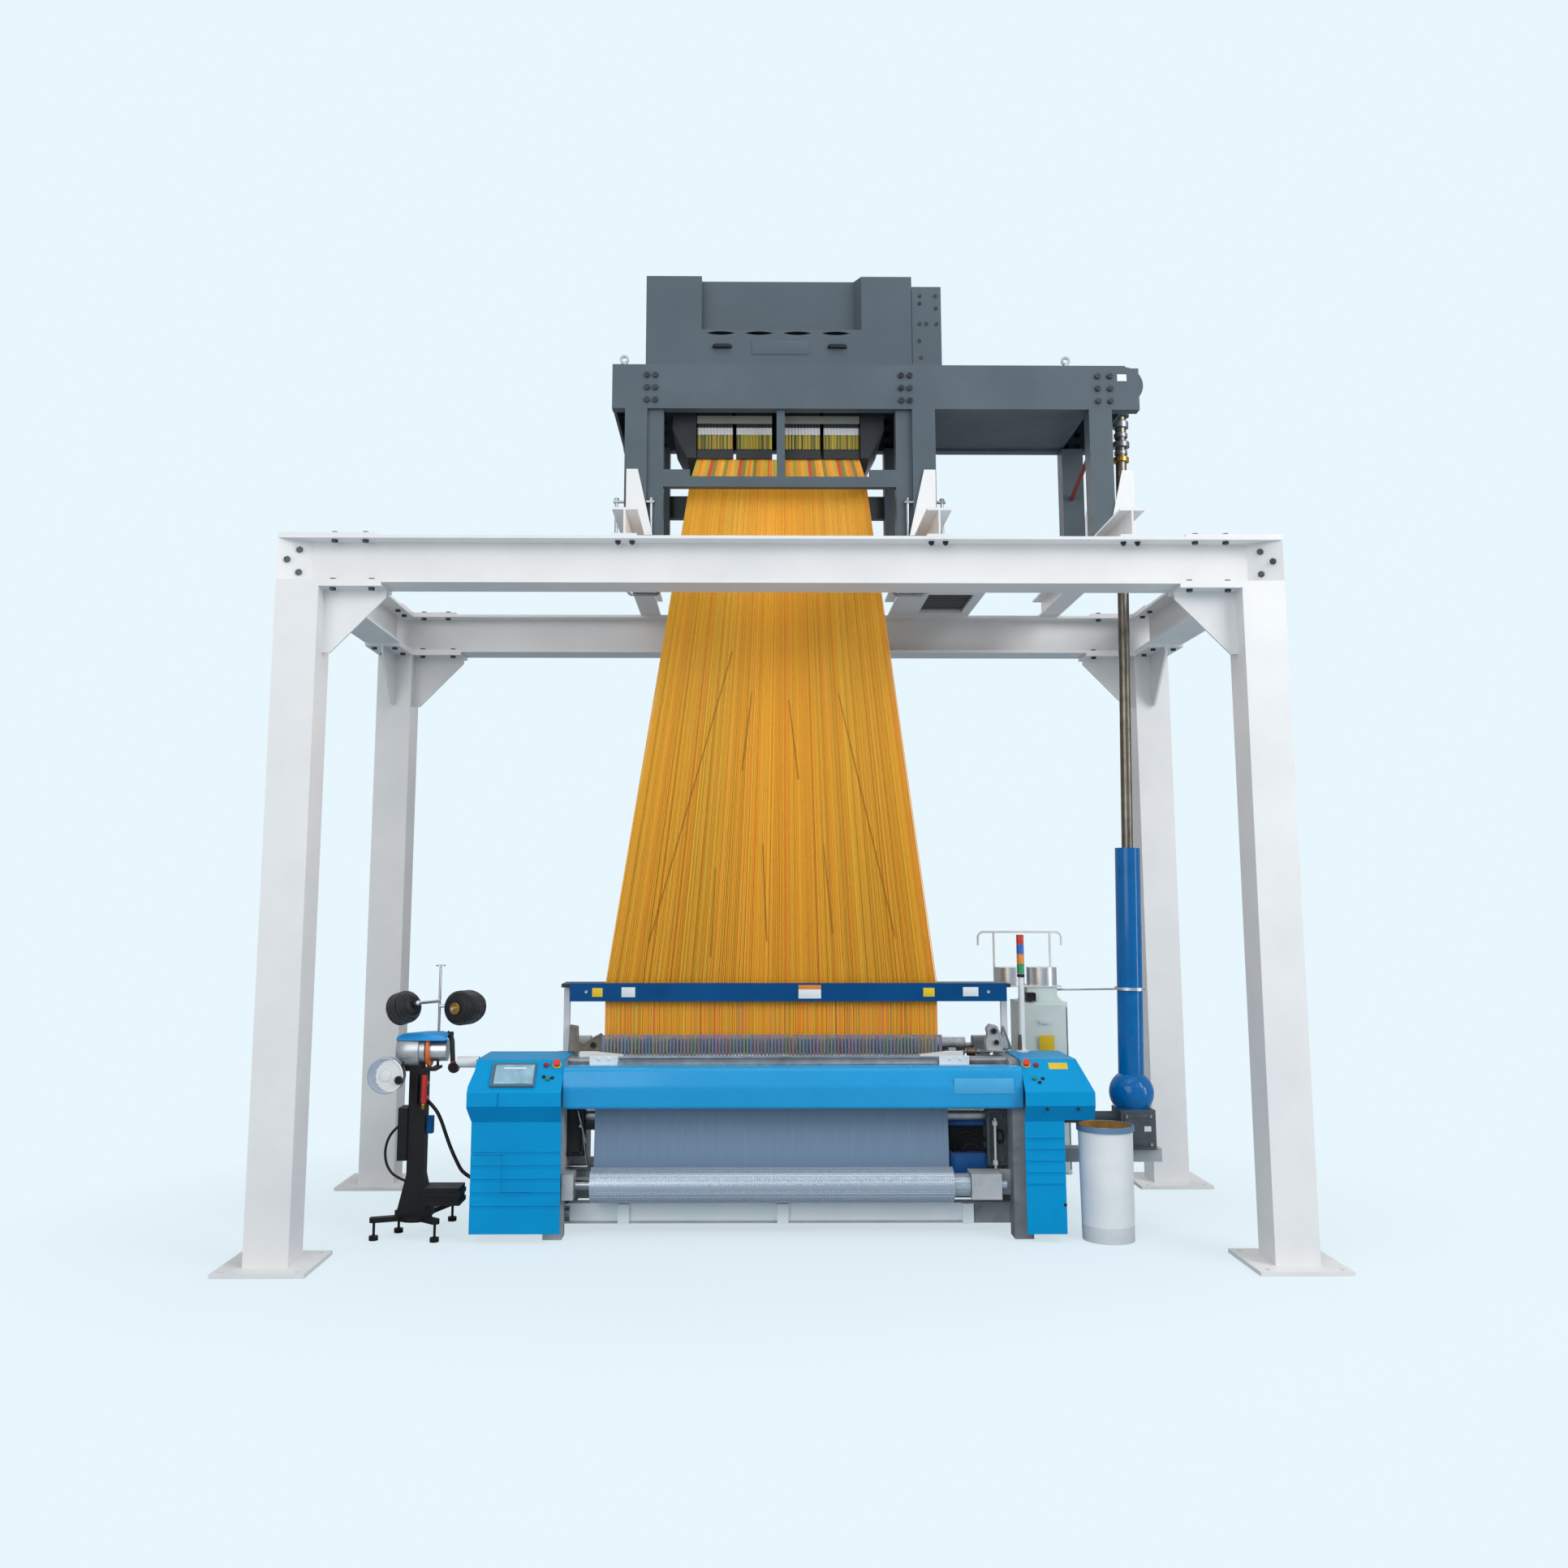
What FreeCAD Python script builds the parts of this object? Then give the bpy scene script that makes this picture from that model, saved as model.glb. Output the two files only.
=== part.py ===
import FreeCAD, Part
import math
import os

V = FreeCAD.Vector

# Power loom with a jacquard head on a steel gantry. Millimetres, X to the right of the weaver,
# Y from the weaver to the warp beam, Z up. The origin is on the floor under the gantry's centre.

# ---------------------------------------------------------------- gantry
gantry_width = 5200
gantry_depth = 2200
beam_underside = 3390
column_size = 220
column_wall = 10
base_plate_size = 450
base_plate_thickness = 20
anchor_spacing = 360
anchor_hole_radius = 13
cap_plate_thickness = 20
cap_opening = 120
gusset_gap = 63
gusset_drop = 330
gusset_lip = 40
gusset_thickness = 14
beam_height = 250
beam_width = 220
beam_flange = 16
beam_web = 12
end_plate_run = 150
end_plate_first_share = 0.28
end_plate_second_share = 0.62
end_plate_thickness = 10
splice_length = 500
splice_thickness = 14
bolt_radius = 10
bolt_hole_gap = 1
bolt_head_radius = 17
bolt_head_height = 13
bolt_gauge = 130
bolt_edge = 60
rail_bolt_edge = 49
rail_bolt_left_x = -748
rail_bolt_middle_x = 695
rail_bolt_right_edge = 55
rail_bolt_pitch = 48
rail_bolt_right_pitch = 70

# ---------------------------------------------------------------- bearers on the gantry
bearer_height = 150
bearer_flange = 12
bearer_web = 10
left_bearer_x = -815
middle_bearer_x = 820
right_bay_share = 0.56461
bearer_width = 130
bracket_thickness = 12
bracket_height = 380
bracket_foot_width = 150
bracket_top_width = 64
left_bracket_edge = 42
middle_bracket_edge = 60
right_bracket_edge = 172
grille_width = 400
grille_depth = 640
grille_lap = 40
grille_height = 60
grille_frame = 60
grille_slat_count = 12
grille_slat_thickness = 6
grille_slat_tilt = 35
grille_slat_share = 0.6
grille_slat_lap = 2
clamp_rod_radius = 9
clamp_half_width = 97
clamp_ear_thickness = 12
clamp_ear_height = 190
clamp_corner_radius = 30
clamp_post_gap = 4
clamp_hole_gap = 3
clamp_nut_radius = 13

# ---------------------------------------------------------------- jacquard frame
jacquard_front_y = -550
jacquard_depth = 800
rail_left_x = -945
rail_end_reach = 225
rail_bottom = 4530
rail_height = 245
rail_plate = 14
rail_flange_depth = 70
post_depth = 120
left_post_x = -870
left_post_width = 125
inner_post_width = 92
inner_post_recess = 25
middle_post_x = 755
middle_post_width = 130
right_post_width = 130
tie_bottom = 4080
tie_height = 60
tie_depth = 50
tie_ear_height = 100
tie_ear_width = 150
rear_tie_bottom = 4096
rear_tie_height = 140
centre_post_x = 11
centre_post_width = 46
cross_member_thickness = 16
plate_window_lap = 20
guide_headroom = 40
machine_plate_thickness = 15

# ---------------------------------------------------------------- jacquard machine
hood_left_x = -757
hood_right_x = 762
hood_height = 530
hood_wall = 6
bay_left_x = -440
bay_right_x = 475
bay_bottom = 5000
bay_recess = 70
bay_side_slope = 40
vent_count = 4
vent_half_length = 82
vent_half_height = 11
side_box_width = 168
side_box_height = 470
handle_half_length = 55
handle_left_x = -322
handle_right_x = 334
handle_rise = 105
handle_half_height = 9
handle_reach = 26
handle_taper = 12
handle_round = 8
lifting_eye_radius = 26
lifting_eye_thickness = 12
lifting_eye_setback = 20
lifting_eye_neck_half = 10
lifting_eye_foot_radius = 16
lifting_eye_foot_height = 8
lifting_eye_left_x = -880
lifting_eye_right_x = 1640
hook_module_width = 208
hook_module_gap = 18
hook_group_gap = 70
hook_module_bottom = 4285
hook_field_depth = 500
hook_bar_height = 50
hook_comb_height = 160
hook_comb_side_inset = 2
hook_comb_front_inset = 4
hook_comb_ridge_count = 11
hook_comb_ridge_depth = 7
lift_slope_width = 135
lift_slope_height = 167
lift_foot_width = 50
lift_gap = 3
lift_margin = 15
knife_count = 6
knife_thickness = 8
knife_height = 30
knife_pitch = 72
griffe_half_width = 520
griffe_bar = 40
griffe_bar_lap = 10
griffe_bar_thickness = 20
griffe_bar_margin = 20
griffe_upper_z = 4970
griffe_lower_z = 4930
hanger_height = 90
guide_radius = 12
guide_clearance = 0.05
running_clearance = 0.05
soft_clearance = 0.3

# ---------------------------------------------------------------- harness and comber
harness_top_half = 470
harness_neck_z = 4165
harness_neck_half = 505
harness_inset = 10
harness_ridge_count = 56
harness_ridge_depth = 14
loom_centre_x = -37
comber_half_width = 936
comber_depth = 200
comber_centre_y = -50
comber_top = 1305
comber_thickness = 20
comber_frame_margin = 15
comber_post_size = 34
comber_post_inset = 15
guard_left_x = -1168
guard_right_x = 1280
guard_height = 100
guard_thickness = 28
guard_top = 1310
warp_line = 925
cloth_thickness = 2
spring_bar_top = 330
spring_bar_height = 40
spring_bar_overhang = 10

# ---------------------------------------------------------------- loom frame
frame_left_inner_x = -1151
frame_right_inner_x = 1240
frame_thickness = 100
frame_front_y = -480
frame_rear_y = 855
frame_bottom = 60
frame_chamfer_y = -400
frame_chamfer_z = 820
frame_shoulder_y = 60
frame_waist_y = 250
frame_waist_z = 650
frame_window_front_y = 90
frame_window_rear_y = 330
frame_window_bottom = 240
frame_window_top = 560
frame_chamfer_round = 20
frame_shoulder_round = 40
frame_waist_round = 60
frame_arm_round = 30
frame_window_round = 30
back_rest_arm_half = 60
foot_size = 120
front_beam_y = -350
front_beam_depth = 80
front_beam_bottom = 55
front_beam_height = 104
beam_plate = 10
rib_thickness = 60
rib_depth = 25
rear_beam_y = 60
rear_beam_depth = 80
rear_beam_bottom = 100
rear_beam_height = 100
rib_left_x = -866
rib_middle_x = -13
rib_right_x = 980

# ---------------------------------------------------------------- rollers and cloth
cloth_left_x = -1000
cloth_right_x = 915
cloth_plane_y = -360
cloth_fell_y = -292
breast_nose_radius = 20
breast_bar_depth = 50
breast_bar_height = 62
breast_arm_width = 40
breast_arm_reach = 78
temple_width = 87
temple_plate_length = 150
temple_plate_height = 24
temple_front_setback = 15
temple_rear_overhang = 8
take_up_radius = 60
take_up_z = 760
press_radius = 25
roller_shaft_radius = 20
roll_radius = 91
roll_z = 273
roll_core_radius = 58
roll_core_length = 95
roll_shaft_radius = 25
roll_margin = 3
roll_left_block_width = 61
roll_right_block_width = 159
roll_block_plate = 20
roll_shaft_overhang = 36
roll_shaft_end_gap = 11
roll_block_height = 130
roll_block_depth = 135
warp_beam_y = 560
warp_beam_z = 440
yarn_radius = 290
flange_radius = 365
flange_thickness = 24
warp_shaft_radius = 45
yarn_margin = 5
back_rest_radius = 55

# ---------------------------------------------------------------- sley and reed
rocker_y = -215
rocker_z = 600
rocker_radius = 42
sword_count = 4
sword_width = 40
sword_depth = 40
reed_beam_height = 45
reed_beam_depth = 50
reed_beam_bottom = 840
reed_height = 144
reed_thickness = 8
reed_overhang = 8
reed_edge = 12
dent_count = 96
dent_gap = 12
warp_end_width = 4
warp_full_sheet_y = -205

# ---------------------------------------------------------------- covers and controls
cover_wall = 8
cover_block_margin = 50
cover_front_y = -610
cover_leg_y = -570
cover_rear_y = -60
cover_top = 925
slope_top_y = -470
slope_foot_z = 770
head_bottom = 700
crease_bottom = 615
left_cover_x = -1622
left_cover_bottom = 50
left_bulge = 22
right_cover_inner_x = 1288
right_leg_outer_x = 1497
right_head_outer_x = 1655
right_head_top_x = 1590
right_leg_rear_y = -260
right_cover_bottom = 45
right_head_bottom = 623
groove_depth = 5
groove_height = 16
groove_count = 5
left_groove_top = 463
left_groove_pitch = 68
right_groove_top = 530
right_groove_pitch = 58
notch_x = -1480
bulge_bottom = 690
bulge_top = 800
bulge_blend = 75
breast_cover_left_x = -1149
breast_cover_right_x = 1286
breast_cover_top = 893
breast_cover_bottom = 675
breast_cover_front_y = -556
breast_cover_wall = 4
breast_cover_seat = 7
breast_cover_crown_depth = 26
breast_cover_crown_drop = 103
breast_cover_tuck = 11
breast_cover_lip = 56
breast_cover_crown_round = 40
breast_cover_front_round = 60
breast_cover_foot_round = 20
screen_width = 232
screen_length = 148
screen_thickness = 14
screen_frame = 12
screen_recess = 2
screen_x = -1411
screen_offset = 106
stop_head_radius = 19
stop_head_height = 16
stop_stem_radius = 8
stop_travel = 6
start_head_radius = 11
start_head_height = 8
start_stem_radius = 5
start_travel = 4
stem_reach = 30
stop_offset = 176
start_offset = 84
left_stop_x = -1190
left_start_x = -1228
right_stop_x = 1318
right_start_x = 1348

# ---------------------------------------------------------------- jacquard drive
drive_y = -150
drive_foot_reach = 148
drive_foot_z = 786
drive_head_reach = 226
drive_head_z = 4653
drive_shaft_radius = 32
spigot_radius = 20
spigot_length = 40
drive_shaft_bottom = 655
drive_shaft_top = 4630
guard_tube_radius = 70
guard_tube_wall = 5
guard_tube_top = 2066
bell_radius = 122
bell_mouth_radius = 94
bell_bottom = 630
bell_centre_z = 708
bell_top = 808
boss_radius = 55
gearbox_left_reach = 90
gearbox_right_reach = 100
gearbox_bottom = 413
gearbox_top = 625
gearbox_depth = 200
gearbox_boss_sink = 20
transfer_radius = 32
transfer_z = 575
bracket_beam_height = 70
bracket_beam_depth = 120
bracket_beam_reach = 139
stay_height = 1277
stay_radius = 7
stay_ring_thickness = 16
head_gearbox_reach = 150
head_gearbox_radius = 112
head_gearbox_z = 4797
head_gearbox_depth = 180
head_gearbox_round_share = 0.72
head_gearbox_cap_share = 0.7
head_gearbox_cap_depth = 12
head_boss_radius = 50
head_boss_gap = 2

# ---------------------------------------------------------------- cabinet side
cabinet_left_x = 1486
cabinet_right_x = 1778
cabinet_front_y = 500
cabinet_depth = 300
cabinet_bottom = 140
cabinet_top = 1155
cabinet_wall = 4
cabinet_door_thickness = 18
cabinet_door_margin = 14
cabinet_sill = 30
door_handle_height = 90
door_handle_reach = 16
plinth_inset = 40
neck_left_x = 1547
neck_right_x = 1731
neck_top = 1242
neck_depth = 180
neck_flare = 35
rack_plate_left_x = 1345
rack_plate_right_x = 1760
rack_plate_thickness = 8
rack_plate_front_y = 550
rack_plate_depth = 240
rack_rod_inset = 20
bobbin_left_x = 1456
bobbin_right_x = 1656
rack_bar_z = 1574
rack_bar_left_x = 1285
rack_bar_right_x = 1813
rack_rod_radius = 7
rack_hook_drop = 84
bobbin_radius = 92
bobbin_height = 110
bobbin_bore = 12
tower_x = 1379
tower_y = -100
tower_pole_radius = 17
tower_pole_top = 1356
tower_foot_height = 10
tower_core_inset = 2
tower_lamp_radius = 21
tower_lamp_height = 53
tower_lamp_count = 4
tower_lamp_gap = 2

# ---------------------------------------------------------------- weft feeder stand
stand_x = -1940
stand_y = -400
stand_column_size = 90
stand_column_bottom = 115
stand_column_top = 862
stand_flare_height = 210
stand_flare_size = 190
arm_width = 46
arm_thickness = 25
arm_bottom = 90
foot_stem_radius = 7
foot_pad_radius = 24
foot_pad_height = 22
control_box_width = 50
control_box_depth = 120
control_box_bottom = 400
control_box_top = 672
head_plate_thickness = 14
head_plate_right_x = -1845
stand_rod_x = -1868
stand_rod_y = -296
stand_rod_radius = 7
stand_rod_top = 1410
stand_disc_radius = 26
left_foot_x = -2139
left_foot_y = -471
rear_foot_x = -2050
rear_foot_y = -300
right_foot_x = -1811
right_foot_y = -509
tray_foot_x = -1819
tray_foot_y = -31
package_hub_z = 1194
package_peg_radius = 9
package_link_gap = 30
package_joint_share = 1.6
package_rise_share = 0.4
package_fall_share = 0.85
left_package_x = -2033
left_package_turn = 35
left_package_dip = 15
left_package_length = 150
left_package_rod_end_radius = 48
left_package_radius = 88
left_package_free_end_radius = 70
right_package_x = -1702
right_package_turn = 65
right_package_length = 190
right_package_rod_end_radius = 60
right_package_radius = 91
right_package_free_end_radius = 66
stand_bar_bottom = 693
stand_bar_top = 841
stand_bar_radius = 8
feeder_z = 968
feeder_housing_left_x = -2051
feeder_housing_right_x = -1906
feeder_housing_radius = 68
feeder_disc_radius = 88
feeder_disc_thickness = 14
feeder_spool_radius = 58
feeder_spool_length = 88
feeder_stub_radius = 12
second_spool_x = -2085
second_spool_radius = 95
second_spool_depth = 60
second_spool_barrel_share = 0.72
second_spool_rim = 8
second_spool_rear_y = -500
second_spool_z = 851
second_spool_arm = 30
feeder_saddle_width = 80
feeder_saddle_inset = 12
tube_radius = 30
tube_wall = 3
tube_left_x = -1740
tube_z = 905
tray_left_x = -1892
tray_right_x = -1690
tray_depth = 170
tray_bottom = 175
tray_step = 22
tray_count = 4
cable_radius = 7
hose_radius = 10

# ---------------------------------------------------------------- waste bin
bin_x = 1733
bin_y = -480
bin_top_radius = 143
bin_foot_radius = 135
bin_height = 586
bin_wall = 4
bin_rim_height = 28
bin_rim_thickness = 8

# ---------------------------------------------------------------- worked out from the sizes above
beam_top = beam_underside + beam_height
bearer_top = beam_top + bearer_height
rail_top = rail_bottom + rail_height
jacquard_rear_y = jacquard_front_y + jacquard_depth
jacquard_centre_y = jacquard_front_y + jacquard_depth / 2
machine_plate_top = rail_top + machine_plate_thickness
column_x = (gantry_width - column_size) / 2
column_y = (gantry_depth - column_size) / 2
right_bearer_x = middle_bearer_x + right_bay_share * (gantry_width / 2 - middle_bearer_x)
right_bracket_x = right_bearer_x + right_bracket_edge
gusset_reach = column_x - column_size / 2 - right_bracket_x - gusset_gap
grille_front_y = jacquard_rear_y - grille_lap
rail_right_x = right_bearer_x + rail_end_reach
drive_foot_x = right_bearer_x + drive_foot_reach
drive_head_x = right_bearer_x + drive_head_reach
gearbox_left_x = drive_foot_x - gearbox_left_reach
gearbox_right_x = drive_foot_x + gearbox_right_reach
bracket_beam_right_x = drive_foot_x + bracket_beam_reach
head_gearbox_left_x = right_bearer_x + head_gearbox_reach
right_post_x = right_bearer_x - right_post_width / 2
rail_bolt_right_x = right_post_x + rail_bolt_right_edge
handle_z = machine_plate_top + handle_rise
lift_bottom = hook_module_bottom
reed_left_x = loom_centre_x - comber_half_width - reed_overhang
reed_right_x = loom_centre_x + comber_half_width + reed_overhang
frame_top = cover_top - cover_wall
cloth_front_y = cloth_plane_y - cloth_thickness / 2
cloth_back_y = cloth_plane_y + cloth_thickness / 2
take_up_y = cloth_front_y - soft_clearance - take_up_radius
press_y = cloth_back_y + soft_clearance + press_radius
roll_y = cloth_front_y - soft_clearance - roll_radius
breast_bar_front_y = cloth_back_y + soft_clearance
breast_bar_top = warp_line - cloth_thickness / 2 - soft_clearance
warp_rear_y = warp_beam_y + yarn_radius + soft_clearance
back_rest_y = warp_rear_y - soft_clearance - back_rest_radius
back_rest_z = warp_line - cloth_thickness / 2 - soft_clearance - back_rest_radius
comber_front_y = comber_centre_y - comber_depth / 2
comber_rear_y = comber_centre_y + comber_depth / 2
comber_bottom = comber_top - comber_thickness
guard_rear_y = comber_front_y - comber_frame_margin
slope_angle = math.degrees(math.atan2(cover_top - slope_foot_z, slope_top_y - cover_front_y))
drive_lean = math.degrees(math.atan2(drive_head_x - drive_foot_x, drive_head_z - drive_foot_z))


# ================================================================ shape helpers

def box(x0, x1, y0, y1, z0, z1):
    low = V(min(x0, x1), min(y0, y1), min(z0, z1))
    return Part.makeBox(abs(x1 - x0), abs(y1 - y0), abs(z1 - z0), low)


def cylinder_x(x0, x1, y, z, radius):
    return Part.makeCylinder(radius, x1 - x0, V(x0, y, z), V(1, 0, 0))


def cylinder_y(y0, y1, x, z, radius):
    return Part.makeCylinder(radius, y1 - y0, V(x, y0, z), V(0, 1, 0))


def cylinder_z(z0, z1, x, y, radius):
    return Part.makeCylinder(radius, z1 - z0, V(x, y, z0), V(0, 0, 1))


def fuse(shapes):
    joined = shapes[0].fuse(shapes[1:]) if len(shapes) > 1 else shapes[0]
    return joined.removeSplitter()


def cut(shape, tools):
    return shape.cut(tools) if tools else shape


# A wire through corner points (u, v, radius), drawn in the plane that the axis is square to.
def corner_wire(points, axis, place, closed):
    spots = []
    for u, v, radius in points:
        if axis == "x":
            spots.append(V(place, u, v))
        elif axis == "y":
            spots.append(V(u, place, v))
        else:
            spots.append(V(u, v, place))
    count = len(spots)
    runs = []
    for i in range(count):
        radius = points[i][2]
        ends_open = not closed and i in (0, count - 1)
        if radius == 0 or ends_open:
            runs.append((spots[i], None, spots[i]))
            continue
        back = (spots[i - 1] - spots[i]).normalize()
        ahead = (spots[(i + 1) % count] - spots[i]).normalize()
        half = back.getAngle(ahead) / 2
        reach = radius / math.tan(half)
        middle = (back + ahead).normalize()
        centre = spots[i] + middle * (radius / math.sin(half))
        runs.append((spots[i] + back * reach, centre - middle * radius, spots[i] + ahead * reach))
    edges = []
    for i in range(count):
        if i > 0:
            edges.append(Part.LineSegment(runs[i - 1][2], runs[i][0]).toShape())
        if runs[i][1] is not None:
            edges.append(Part.Arc(runs[i][0], runs[i][1], runs[i][2]).toShape())
    if closed:
        edges.append(Part.LineSegment(runs[-1][2], runs[0][0]).toShape())
    return Part.Wire(edges)


# A closed outline pushed along one axis.
def prism(points, axis, start, end):
    face = Part.Face(corner_wire(points, axis, start, True))
    push = {"x": V(1, 0, 0), "y": V(0, 1, 0), "z": V(0, 0, 1)}[axis]
    return face.extrude(push * (end - start))


# A bent sheet of even thickness, pushed along X.
def bent_sheet(points, thickness, x0, x1):
    path = corner_wire(points, "x", x0, False)
    strip = path.makeOffset2D(thickness, 0, True, True)
    return strip.extrude(V(x1 - x0, 0, 0))


def turned_z(points, x, y):
    spots = [V(x + radius, y, z) for radius, z in points]
    spots.append(spots[0])
    face = Part.Face(Part.makePolygon(spots))
    return face.revolve(V(x, y, 0), V(0, 0, 1), 360)


# A round tube along straight runs with tangent arcs, used for cables and bent rods.
def tube(points, radius, label):
    spots = [V(*point) for point in points]
    edges = []
    last = spots[0]
    radii = []
    for i in range(1, len(spots) - 1):
        back = spots[i - 1] - spots[i]
        ahead = spots[i + 1] - spots[i]
        reach = 0.45 * min(back.Length, ahead.Length)
        back.normalize()
        ahead.normalize()
        half = back.getAngle(ahead) / 2
        bend = reach * math.tan(half)
        middle = (back + ahead).normalize()
        centre = spots[i] + middle * (bend / math.sin(half))
        enter = spots[i] + back * reach
        leave = spots[i] + ahead * reach
        edges.append(Part.LineSegment(last, enter).toShape())
        edges.append(Part.Arc(enter, centre - middle * bend, leave).toShape())
        last = leave
        radii.append(round(bend))
    edges.append(Part.LineSegment(last, spots[-1]).toShape())
    path = Part.Wire(edges)
    direction = (spots[1] - spots[0]).normalize()
    ring = Part.Wire([Part.makeCircle(radius, spots[0], direction)])
    solid = path.makePipeShell([ring], True, False)
    expected = math.pi * radius ** 2 * path.Length
    print(label, "length", round(path.Length), "bend radii", radii, "volume ratio",
          round(solid.Volume / expected, 4))
    return solid


def save(name, shapes):
    solids = [solid for shape in shapes for solid in shape.Solids]
    for solid in solids:
        if not solid.isValid():
            print("NOT VALID", name)
    result = solids[0] if len(solids) == 1 else Part.makeCompound(solids)
    result.exportStep("parts/" + name + ".step")
    print(name, len(solids), "solids", round(result.Volume / 1e3), "cm3")


# ================================================================ gantry

def corners():
    return [(-1, -1), (1, -1), (-1, 1), (1, 1)]


# Bolt seats as (point under the head, direction of the head, thickness held).
def cap_bolt_seats(sx, sy):
    seats = []
    top = beam_underside + beam_flange
    grip = beam_flange + cap_plate_thickness
    inner_x = sx * (column_x - column_size / 2)
    inner_y = sy * (column_y - column_size / 2)
    for along in (bolt_edge, gusset_reach - bolt_edge):
        for side in (-bolt_gauge / 2, bolt_gauge / 2):
            seats.append((V(inner_x - sx * along, sy * column_y + side, top), V(0, 0, 1), grip))
            seats.append((V(sx * column_x + side, inner_y - sy * along, top), V(0, 0, 1), grip))
    return seats


def splice_bolt_seats(sx, sy):
    seats = []
    top = beam_top + splice_thickness
    grip = beam_flange + splice_thickness
    for along in (column_size + bolt_edge, splice_length - bolt_edge):
        for side in (-bolt_gauge / 2, bolt_gauge / 2):
            x = sx * (gantry_width / 2 - along)
            y = sy * (gantry_depth / 2 - along)
            seats.append((V(x, sy * column_y + side, top), V(0, 0, 1), grip))
            seats.append((V(sx * column_x + side, y, top), V(0, 0, 1), grip))
    return seats


def end_plate_seats(sx, sy):
    run = V(-sx * end_plate_run, -sy * (beam_width - beam_web) / 2, 0)
    normal = V(-run.y, run.x, 0).normalize()
    if normal.y * sy < 0:
        normal = normal * -1
    start = V(sx * gantry_width / 2, sy * gantry_depth / 2, 0)
    middle = beam_underside + beam_height / 2
    seats = []
    for along, rise in ((end_plate_first_share, 0), (end_plate_second_share, -bolt_edge),
                        (end_plate_second_share, bolt_edge)):
        seats.append((start + run * along + V(0, 0, middle + rise), normal, end_plate_thickness))
    return seats


def seat_hole(seat):
    point, direction, grip = seat
    reach = grip + 2
    return Part.makeCylinder(bolt_radius + bolt_hole_gap, reach + 1, point - direction * reach, direction)


def hexagon(point, direction, radius, height):
    spots = []
    for i in range(7):
        turn = math.radians(60 * i)
        spots.append(V(radius * math.cos(turn), radius * math.sin(turn), 0))
    solid = Part.Face(Part.makePolygon(spots)).extrude(V(0, 0, height))
    solid.Placement = FreeCAD.Placement(point, FreeCAD.Rotation(V(0, 0, 1), direction))
    return solid


def bolt(seat):
    point, direction, grip = seat
    head = hexagon(point, direction, bolt_head_radius, bolt_head_height)
    shank = Part.makeCylinder(bolt_radius, grip, point - direction * grip, direction)
    nut = hexagon(point - direction * (grip + bolt_head_height), direction, bolt_head_radius,
                  bolt_head_height)
    return head.fuse([shank, nut])


def gantry_column(sx, sy):
    x = sx * column_x
    y = sy * column_y
    half = column_size / 2
    plate_half = base_plate_size / 2
    hollow = half - column_wall
    cap_bottom = beam_underside - cap_plate_thickness
    inner_x = x - sx * half
    inner_y = y - sy * half
    tip_x = inner_x - sx * gusset_reach
    tip_y = inner_y - sy * gusset_reach
    parts = [
        box(x - plate_half, x + plate_half, y - plate_half, y + plate_half, 0, base_plate_thickness),
        box(x - half, x + half, y - half, y + half, base_plate_thickness, cap_bottom),
        box(x + sx * half, tip_x, y - half, y + half, cap_bottom, beam_underside),
        box(x - half, x + half, y + sy * half, tip_y, cap_bottom, beam_underside),
    ]
    foot = cap_bottom - gusset_drop
    lip = cap_bottom - gusset_lip
    along_x = [(inner_x, foot, 0), (inner_x - sx * gusset_lip, foot, 0), (tip_x, lip, 0),
               (tip_x, cap_bottom, 0), (inner_x, cap_bottom, 0)]
    along_y = [(inner_y, foot, 0), (inner_y - sy * gusset_lip, foot, 0), (tip_y, lip, 0),
               (tip_y, cap_bottom, 0), (inner_y, cap_bottom, 0)]
    parts.append(prism(along_x, "y", y - gusset_thickness / 2, y + gusset_thickness / 2))
    parts.append(prism(along_y, "x", x - gusset_thickness / 2, x + gusset_thickness / 2))
    column = fuse(parts)
    opening = cap_opening / 2
    holes = [
        box(x - hollow, x + hollow, y - hollow, y + hollow, base_plate_thickness, cap_bottom),
        box(x - opening, x + opening, y - opening, y + opening, cap_bottom, beam_underside),
    ]
    for dx in (-anchor_spacing / 2, anchor_spacing / 2):
        for dy in (-anchor_spacing / 2, anchor_spacing / 2):
            holes.append(cylinder_z(-1, base_plate_thickness + 1, x + dx, y + dy, anchor_hole_radius))
    holes += [seat_hole(seat) for seat in cap_bolt_seats(sx, sy)]
    return cut(column, holes)


# An H section: flanges above and below a middle web.
def h_section(middle, bottom, width, height, flange, web):
    half = width / 2
    rib = web / 2
    top = bottom + height
    return [(middle - half, bottom, 0), (middle + half, bottom, 0), (middle + half, bottom + flange, 0),
            (middle + rib, bottom + flange, 0), (middle + rib, top - flange, 0),
            (middle + half, top - flange, 0), (middle + half, top, 0), (middle - half, top, 0),
            (middle - half, top - flange, 0), (middle - rib, top - flange, 0),
            (middle - rib, bottom + flange, 0), (middle - half, bottom + flange, 0)]


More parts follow.
